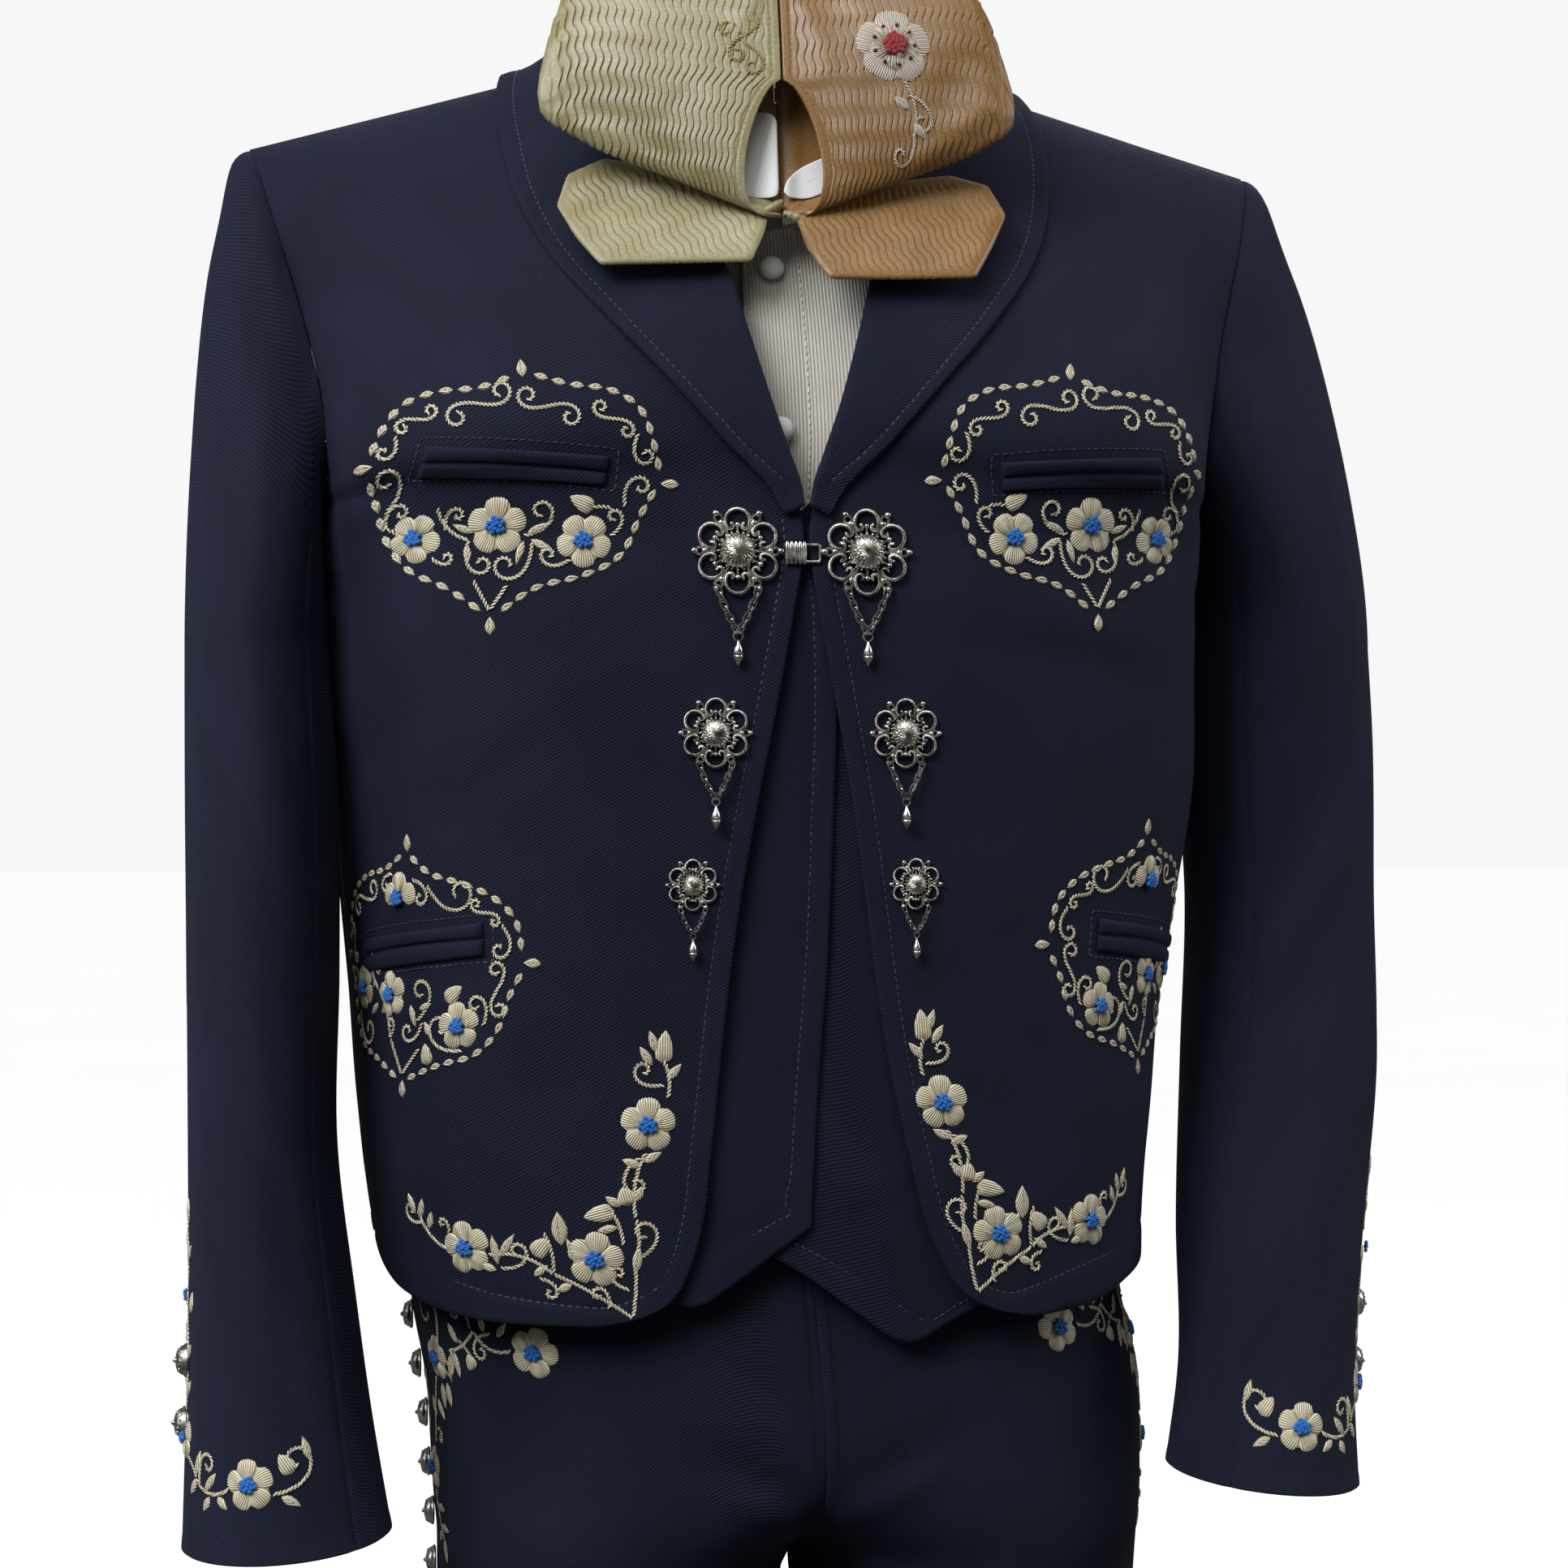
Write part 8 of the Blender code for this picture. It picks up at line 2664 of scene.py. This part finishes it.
def topstitching():
    for name, side in SIDES.items():
        edge = inset(front_edge_path(name), STITCH_IN)
        edge = smooth_line(edge[edge[:, 0] < 158][::4], 3.0)
        rows = [chest_place(name, edge[:, 0], edge[:, 1]), collar_stitch_line()]
        rows[0] = (rows[0][0] - rows[0][1] * 0.25, rows[0][1])
        line = inset(waistcoat_path(name), WAISTCOAT_STITCH_IN)
        line = smooth_line(line[line[:, 1] < -235][::3], 3.0)
        rows.append(waistcoat_place(name, line[:, 0], line[:, 1]))
        for x, z, length, height, drop in POCKETS.values():
            half, rise = length / 2 + 4.5, height / 2 + 2.8
            corners = [(-half, -rise), (half, -rise), (half, rise), (-half, rise)]
            outline = rounded_outline(corners, 1.0, 2.0)
            outline = np.concatenate([outline, outline[:1]])
            up = outline[:, 1] + outline[:, 0] / length * drop
            arch = WELT_ARCH * 0.6 * (1 - (outline[:, 0] / half) ** 2)
            rows.append(surface_grid(name, x, z, outline[:, 0], up + arch, 0.1 + 0 * up))
        sewn_rows(f"topstitching_{name}", rows, side, "navy thread")
    z = np.linspace(-96, -208, 40)
    for x in (PLACKET_X["left"] + 2.6, PLACKET_X["left"] + 24.5):
        across, height = locate(-x + 0 * z, z)
        facing = body_layer(across, height, 1, SHIRT_LIFT + PLACKET_STEP["left"] + 0.3 + 0 * z)
        sewn_rows(f"placket_stitching_{int(x - PLACKET_X['left'])}", [facing], -1, "white thread")


def bow_stitching():
    """Gold machine stitches beside each mouth's turned hem."""
    for name, side in SIDES.items():
        angle = np.linspace(-1.35, 1.25, 60)
        path = wing_surface(0.8 + MOUTH_HEM + 0 * angle, angle)
        facing = wrapped_normals(wing_surface(*np.meshgrid(np.linspace(3, 6, 3),
                                                           np.linspace(-math.pi, math.pi, 121)[:-1],
                                                           indexing="ij")))[1]
        turns = np.linspace(-math.pi, math.pi, 121)[:-1]
        facing = np.stack([np.interp(angle, turns, facing[:, k]) for k in range(3)], -1)
        made = Parts()
        stitches(made, path, facing, 2.6, 2.0, 0.26, rise=-0.1)
        piece = made.build(f"mouth_stitching_{name}", [finish("gold thread")],
                           lambda points, side=side:
                           points * (side, 1, 1) + (BOW_X, 0, 0))
        dressed(piece)


ROSE_CENTRE, ROSE_REACH = (46.5, -19.5), 15.6


def bow_embroidery():
    """A rose with a red heart and glass beads on one wing, and a gold chain-stitch curl on the
    other."""
    made = Parts()
    for ring_reach, count, first, height in ((1.0, 5, 90, 1.3), (0.72, 5, 54, 2.2),
                                             (0.46, 4, 20, 3.0)):
        for k in range(count):
            turn = math.radians(first + 360 / count * k)
            petal(made, ROSE_CENTRE, turn, ROSE_REACH * ring_reach, ROSE_REACH * ring_reach * 0.5,
                  height + 0.3 * (k % 2))
    knots(made, ROSE_CENTRE, 4.4, 22, size=1.4, rise=4.0)
    for k in range(9):
        turn = 2 * math.pi * k / 9
        place = (ROSE_CENTRE[0] + 8.6 * math.cos(turn), ROSE_CENTRE[1] + 8.6 * math.sin(turn), 2.1)
        made.add(*ball(place, 0.85, 5, 8), finish=2)
    stem(made, "bow", (49, -34), (52, -58), -0.9, 0.55)
    stem(made, "j", (50, -40), (58, -50), -1, 0.5)
    stem(made, "j", (52, -56), (46, -66), -1, 0.5)
    leaf(made, (50.5, -46), (43, -41), 2.2)
    leaf(made, (52, -52), (59.5, -58), 2.2)
    finishes = [finish("silver thread"), finish("red"), finish("garnet")]
    piece = made.build("embroidery_rose_left", finishes, sewn_on("wing", "left"), sharp=70)
    dressed(piece)
    made = Parts()
    for kind, start, end, flip in (("s", (11, -10), (19.5, -24), 1),
                                   ("j", (15, -18), (22, -14), -1),
                                   ("j", (16, -20), (11, -29), 1)):
        stem(made, kind, start, end, flip, 0.5)
    piece = made.build("embroidery_curl_right", [finish("gold thread")], sewn_on("wing", "right"),
                       sharp=70)
    dressed(piece)


ROLL_Y = -118.4


def bow_rolls():
    """Short gathered rolls of satin where each mouth is caught down."""
    for name, x, z, length, lean in (("right", -11.5, -87, 9.5, 0.5),
                                     ("left", -1.5, -90.5, 11, -0.25)):
        t = np.linspace(0, 1, 26)
        path = np.stack([x + (t - 0.5) * length * math.cos(lean),
                         ROLL_Y - 1.2 * np.sin(math.pi * t),
                         z + (t - 0.5) * length * math.sin(lean) - 0.8 * np.sin(math.pi * t)], -1)
        radius = (1.1 + 1.6 * np.sin(math.pi * t) ** 0.5) * (1 + 0.08 * np.cos(26 * t))
        points, faces = tube(path, radius, 18, flat=0.8)
        piece = make_object(f"mouth_roll_{name}_cloth", points, faces, [finish("satin")],
                            np.stack([points[:, 0] * 3, points[:, 2]], -1))
        dressed(piece)


# ---------------------------------------------------------------- stage

CAMERA_ASIDE = 0.012
CAMERA_Z = -0.322
FLOOR_REACH = 40.0
FLOOR_GAP = 0.002
CAMERA_SENSOR = 36
SUN_SPREAD, SUN_TILT = 50, (30, -14)  # in degrees
AMBIENT = 0.13  # the strength of the backdrop's light on the suit
LIT_PLACE = (0, 0, -0.35)
KEY_PLACE, KEY_SIZE = (-1.7, -1.7, 1.3), 1.2  # its power is a setting
# name, place in metres, width and height, power in watts, colour
LIGHTS = [
    ("right rim", (2.6, -0.5, 0.9), 0.8, 1.6, 34, "eef2ff"),
    ("left rim", (-2.6, -0.1, 0.6), 0.8, 1.6, 18, "eef2ff"),
    ("back", (0.6, 2.2, 1.2), 1.5, 1.2, 14, "ffffff"),
]


def area_light(name, place, width, height, power, colour):
    data = bpy.data.lights.new(name, "AREA")
    data.shape = "RECTANGLE"
    data.size, data.size_y = width, height
    data.energy = power
    data.color = srgb(colour)[:3]
    light = bpy.data.objects.new(name, data)
    bpy.context.scene.collection.objects.link(light)
    light.location = place
    light.rotation_mode = "QUATERNION"
    light.rotation_quaternion = (Vector(LIT_PLACE) - Vector(place)).to_track_quat("-Z", "Y")


def studio_ground():
    """The floor under the suit. It lights nothing and shows in nothing."""
    low = HEM_Z * MM - FLOOR_GAP
    points = [(x * FLOOR_REACH, y * FLOOR_REACH, low)
              for x, y in ((-1, -1), (1, -1), (1, 1), (-1, 1))]
    mesh = bpy.data.meshes.new("floor")
    mesh.from_pydata(points, [], [(0, 1, 2, 3)])
    mesh.materials.append(finish("floor"))
    floor = bpy.data.objects.new("floor", mesh)
    bpy.context.scene.collection.objects.link(floor)
    floor.visible_diffuse = False
    floor.visible_glossy = False


def studio_world():
    """A pale backdrop for the camera that is dim as a light, so that the cloth keeps its depth."""
    world = bpy.data.worlds.new("pale studio")
    world.use_nodes = True
    tree = world.node_tree
    seen = add_node(tree, "ShaderNodeLightPath").outputs["Is Camera Ray"]
    strength = add_node(tree, "ShaderNodeMapRange", {0: seen, 3: AMBIENT, 4: 1.0}).outputs[0]
    tree.nodes["Background"].inputs["Color"].default_value = srgb(BACKDROP)
    tree.links.new(strength, tree.nodes["Background"].inputs["Strength"])
    bpy.context.scene.world = world


def studio_lights():
    stage = bpy.context.scene.suit_stage
    area_light("key", KEY_PLACE, KEY_SIZE, KEY_SIZE, stage.key_power, "f2f5ff")
    for row in LIGHTS:
        area_light(*row)
    sky = bpy.data.objects.new("sky", bpy.data.lights.new("sky", "SUN"))
    sky.data.energy = stage.sky_strength
    sky.data.angle = math.radians(SUN_SPREAD)
    sky.rotation_euler = (*map(math.radians, SUN_TILT), 0)
    bpy.context.scene.collection.objects.link(sky)


def studio_camera():
    stage = bpy.context.scene.suit_stage
    turn = stage.camera_turn
    camera = bpy.data.objects.new("camera", bpy.data.cameras.new("camera"))
    bpy.context.scene.collection.objects.link(camera)
    right = Vector((math.cos(turn), math.sin(turn), 0))
    behind = Vector((math.sin(turn), -math.cos(turn), 0))
    camera.location = (right * CAMERA_ASIDE + behind * stage.camera_distance
                       + Vector((0, 0, CAMERA_Z)))
    camera.rotation_euler = (math.pi / 2, 0, turn)
    camera.data.lens = stage.camera_lens
    camera.data.sensor_width = CAMERA_SENSOR
    camera.data.clip_end = 200
    bpy.context.scene.camera = camera


# ---------------------------------------------------------------- operators

class SUIT_OT_jacket_fronts(bpy.types.Operator):
    """Hang the two fronts of the jacket"""

    bl_idname = "suit.jacket_fronts"
    bl_label = "Jacket fronts"

    def execute(self, context):
        jacket_fronts()
        return {"FINISHED"}


class SUIT_OT_jacket_back(bpy.types.Operator):
    """Hang the jacket's back"""

    bl_idname = "suit.jacket_back"
    bl_label = "Jacket back"

    def execute(self, context):
        jacket_back()
        return {"FINISHED"}


class SUIT_OT_sleeves(bpy.types.Operator):
    """Set the four halves of the sleeves"""

    bl_idname = "suit.sleeves"
    bl_label = "Sleeves"

    def execute(self, context):
        sleeves()
        return {"FINISHED"}


class SUIT_OT_collars(bpy.types.Operator):
    """Roll the two halves of the shawl collar"""

    bl_idname = "suit.collars"
    bl_label = "Shawl collar"

    def execute(self, context):
        collars()
        return {"FINISHED"}


class SUIT_OT_waistcoat(bpy.types.Operator):
    """Hang the waistcoat's fronts and back"""

    bl_idname = "suit.waistcoat"
    bl_label = "Waistcoat"

    def execute(self, context):
        waistcoat()
        return {"FINISHED"}


class SUIT_OT_shirt(bpy.types.Operator):
    """Hang the shirt's fronts, back and sleeves"""

    bl_idname = "suit.shirt"
    bl_label = "Shirt"

    def execute(self, context):
        shirt()
        return {"FINISHED"}


class SUIT_OT_shirt_collar(bpy.types.Operator):
    """Fold the shirt's collar over its stand"""

    bl_idname = "suit.shirt_collar"
    bl_label = "Shirt collar"

    def execute(self, context):
        shirt_collar()
        return {"FINISHED"}


class SUIT_OT_trousers(bpy.types.Operator):
    """Hang the trousers' panels and waistband"""

    bl_idname = "suit.trousers"
    bl_label = "Trousers"

    def execute(self, context):
        trousers()
        return {"FINISHED"}


class SUIT_OT_pockets(bpy.types.Operator):
    """Set the welts of the four pockets"""

    bl_idname = "suit.pockets"
    bl_label = "Pockets"

    def execute(self, context):
        pockets()
        return {"FINISHED"}


class SUIT_OT_bow_tie(bpy.types.Operator):
    """Pleat the bow's wings and tails, and tie its knot"""

    bl_idname = "suit.bow_tie"
    bl_label = "Bow tie"

    def execute(self, context):
        bow_tie()
        return {"FINISHED"}


class SUIT_OT_brooches(bpy.types.Operator):
    """Pin the silver rosettes and their pendants"""

    bl_idname = "suit.brooches"
    bl_label = "Brooches"

    def execute(self, context):
        brooches()
        return {"FINISHED"}


class SUIT_OT_hook_clasp(bpy.types.Operator):
    """Hook the silver clasp between the fronts"""

    bl_idname = "suit.hook_clasp"
    bl_label = "Hook clasp"

    def execute(self, context):
        hook_clasp()
        return {"FINISHED"}


class SUIT_OT_side_buttons(bpy.types.Operator):
    """Sew the silver buttons down the trousers' seams"""

    bl_idname = "suit.side_buttons"
    bl_label = "Side buttons"

    def execute(self, context):
        side_buttons()
        return {"FINISHED"}


class SUIT_OT_cuff_buttons(bpy.types.Operator):
    """Sew the silver buttons above the cuffs"""

    bl_idname = "suit.cuff_buttons"
    bl_label = "Cuff buttons"

    def execute(self, context):
        cuff_buttons()
        return {"FINISHED"}


class SUIT_OT_shirt_buttons(bpy.types.Operator):
    """Sew the shirt's ball buttons"""

    bl_idname = "suit.shirt_buttons"
    bl_label = "Shirt buttons"

    def execute(self, context):
        shirt_buttons()
        return {"FINISHED"}


class SUIT_OT_embroidery(bpy.types.Operator):
    """Work the flowers, scrolls and seeds on the cloth"""

    bl_idname = "suit.embroidery"
    bl_label = "Embroidery"

    def execute(self, context):
        embroidery()
        return {"FINISHED"}


class SUIT_OT_topstitching(bpy.types.Operator):
    """Stitch the edges of the jacket and the waistcoat"""

    bl_idname = "suit.topstitching"
    bl_label = "Topstitching"

    def execute(self, context):
        topstitching()
        return {"FINISHED"}


class SUIT_OT_bow_stitching(bpy.types.Operator):
    """Stitch the bow's edges"""

    bl_idname = "suit.bow_stitching"
    bl_label = "Bow stitching"

    def execute(self, context):
        bow_stitching()
        return {"FINISHED"}


class SUIT_OT_bow_embroidery(bpy.types.Operator):
    """Work the rose and the curl on the bow's wings"""

    bl_idname = "suit.bow_embroidery"
    bl_label = "Bow embroidery"

    def execute(self, context):
        bow_embroidery()
        return {"FINISHED"}


class SUIT_OT_bow_rolls(bpy.types.Operator):
    """Roll the edges at the bow's mouths"""

    bl_idname = "suit.bow_rolls"
    bl_label = "Bow rolls"

    def execute(self, context):
        bow_rolls()
        return {"FINISHED"}


class SUIT_OT_stage(bpy.types.Operator):
    """Set the floor, the backdrop, the lights and the camera"""

    bl_idname = "suit.stage"
    bl_label = "Stage"

    def execute(self, context):
        studio_ground()
        studio_world()
        studio_lights()
        studio_camera()
        context.scene.view_settings.view_transform = "Standard"
        return {"FINISHED"}


class SUIT_PT_panel(bpy.types.Panel):
    """The suit's sizes and colours, and a button for each of its pieces"""

    bl_idname = "SUIT_PT_panel"
    bl_label = "Charro suit"
    bl_space_type = "VIEW_3D"
    bl_region_type = "UI"
    bl_category = "Charro suit"

    def draw(self, context):
        for name, kind in SETTINGS.items():
            box = self.layout.box()
            for key in kind.__annotations__:
                box.prop(getattr(context.scene, name), key)
        for operator in OPERATORS:
            self.layout.operator(operator.bl_idname)


SETTINGS = {"suit_cloth": ClothSettings, "suit_trim": TrimSettings, "suit_stage": StageSettings}
# in the order in which the pieces are made
OPERATORS = [
    SUIT_OT_jacket_fronts,
    SUIT_OT_jacket_back,
    SUIT_OT_sleeves,
    SUIT_OT_collars,
    SUIT_OT_waistcoat,
    SUIT_OT_shirt,
    SUIT_OT_shirt_collar,
    SUIT_OT_trousers,
    SUIT_OT_pockets,
    SUIT_OT_bow_tie,
    SUIT_OT_brooches,
    SUIT_OT_hook_clasp,
    SUIT_OT_side_buttons,
    SUIT_OT_cuff_buttons,
    SUIT_OT_shirt_buttons,
    SUIT_OT_embroidery,
    SUIT_OT_topstitching,
    SUIT_OT_bow_stitching,
    SUIT_OT_bow_embroidery,
    SUIT_OT_bow_rolls,
    SUIT_OT_stage,
]


def register():
    for kind in (*SETTINGS.values(), *OPERATORS, SUIT_PT_panel):
        bpy.utils.register_class(kind)
    for name, kind in SETTINGS.items():
        setattr(bpy.types.Scene, name, bpy.props.PointerProperty(type=kind))


def unregister():
    for name in SETTINGS:
        delattr(bpy.types.Scene, name)
    for kind in (SUIT_PT_panel, *reversed(OPERATORS), *reversed(SETTINGS.values())):
        bpy.utils.unregister_class(kind)


def main():
    """Makes every piece in order."""
    register()
    for operator in OPERATORS:
        group, name = operator.bl_idname.split(".")
        getattr(getattr(bpy.ops, group), name)()


if __name__ == "__main__":
    main()
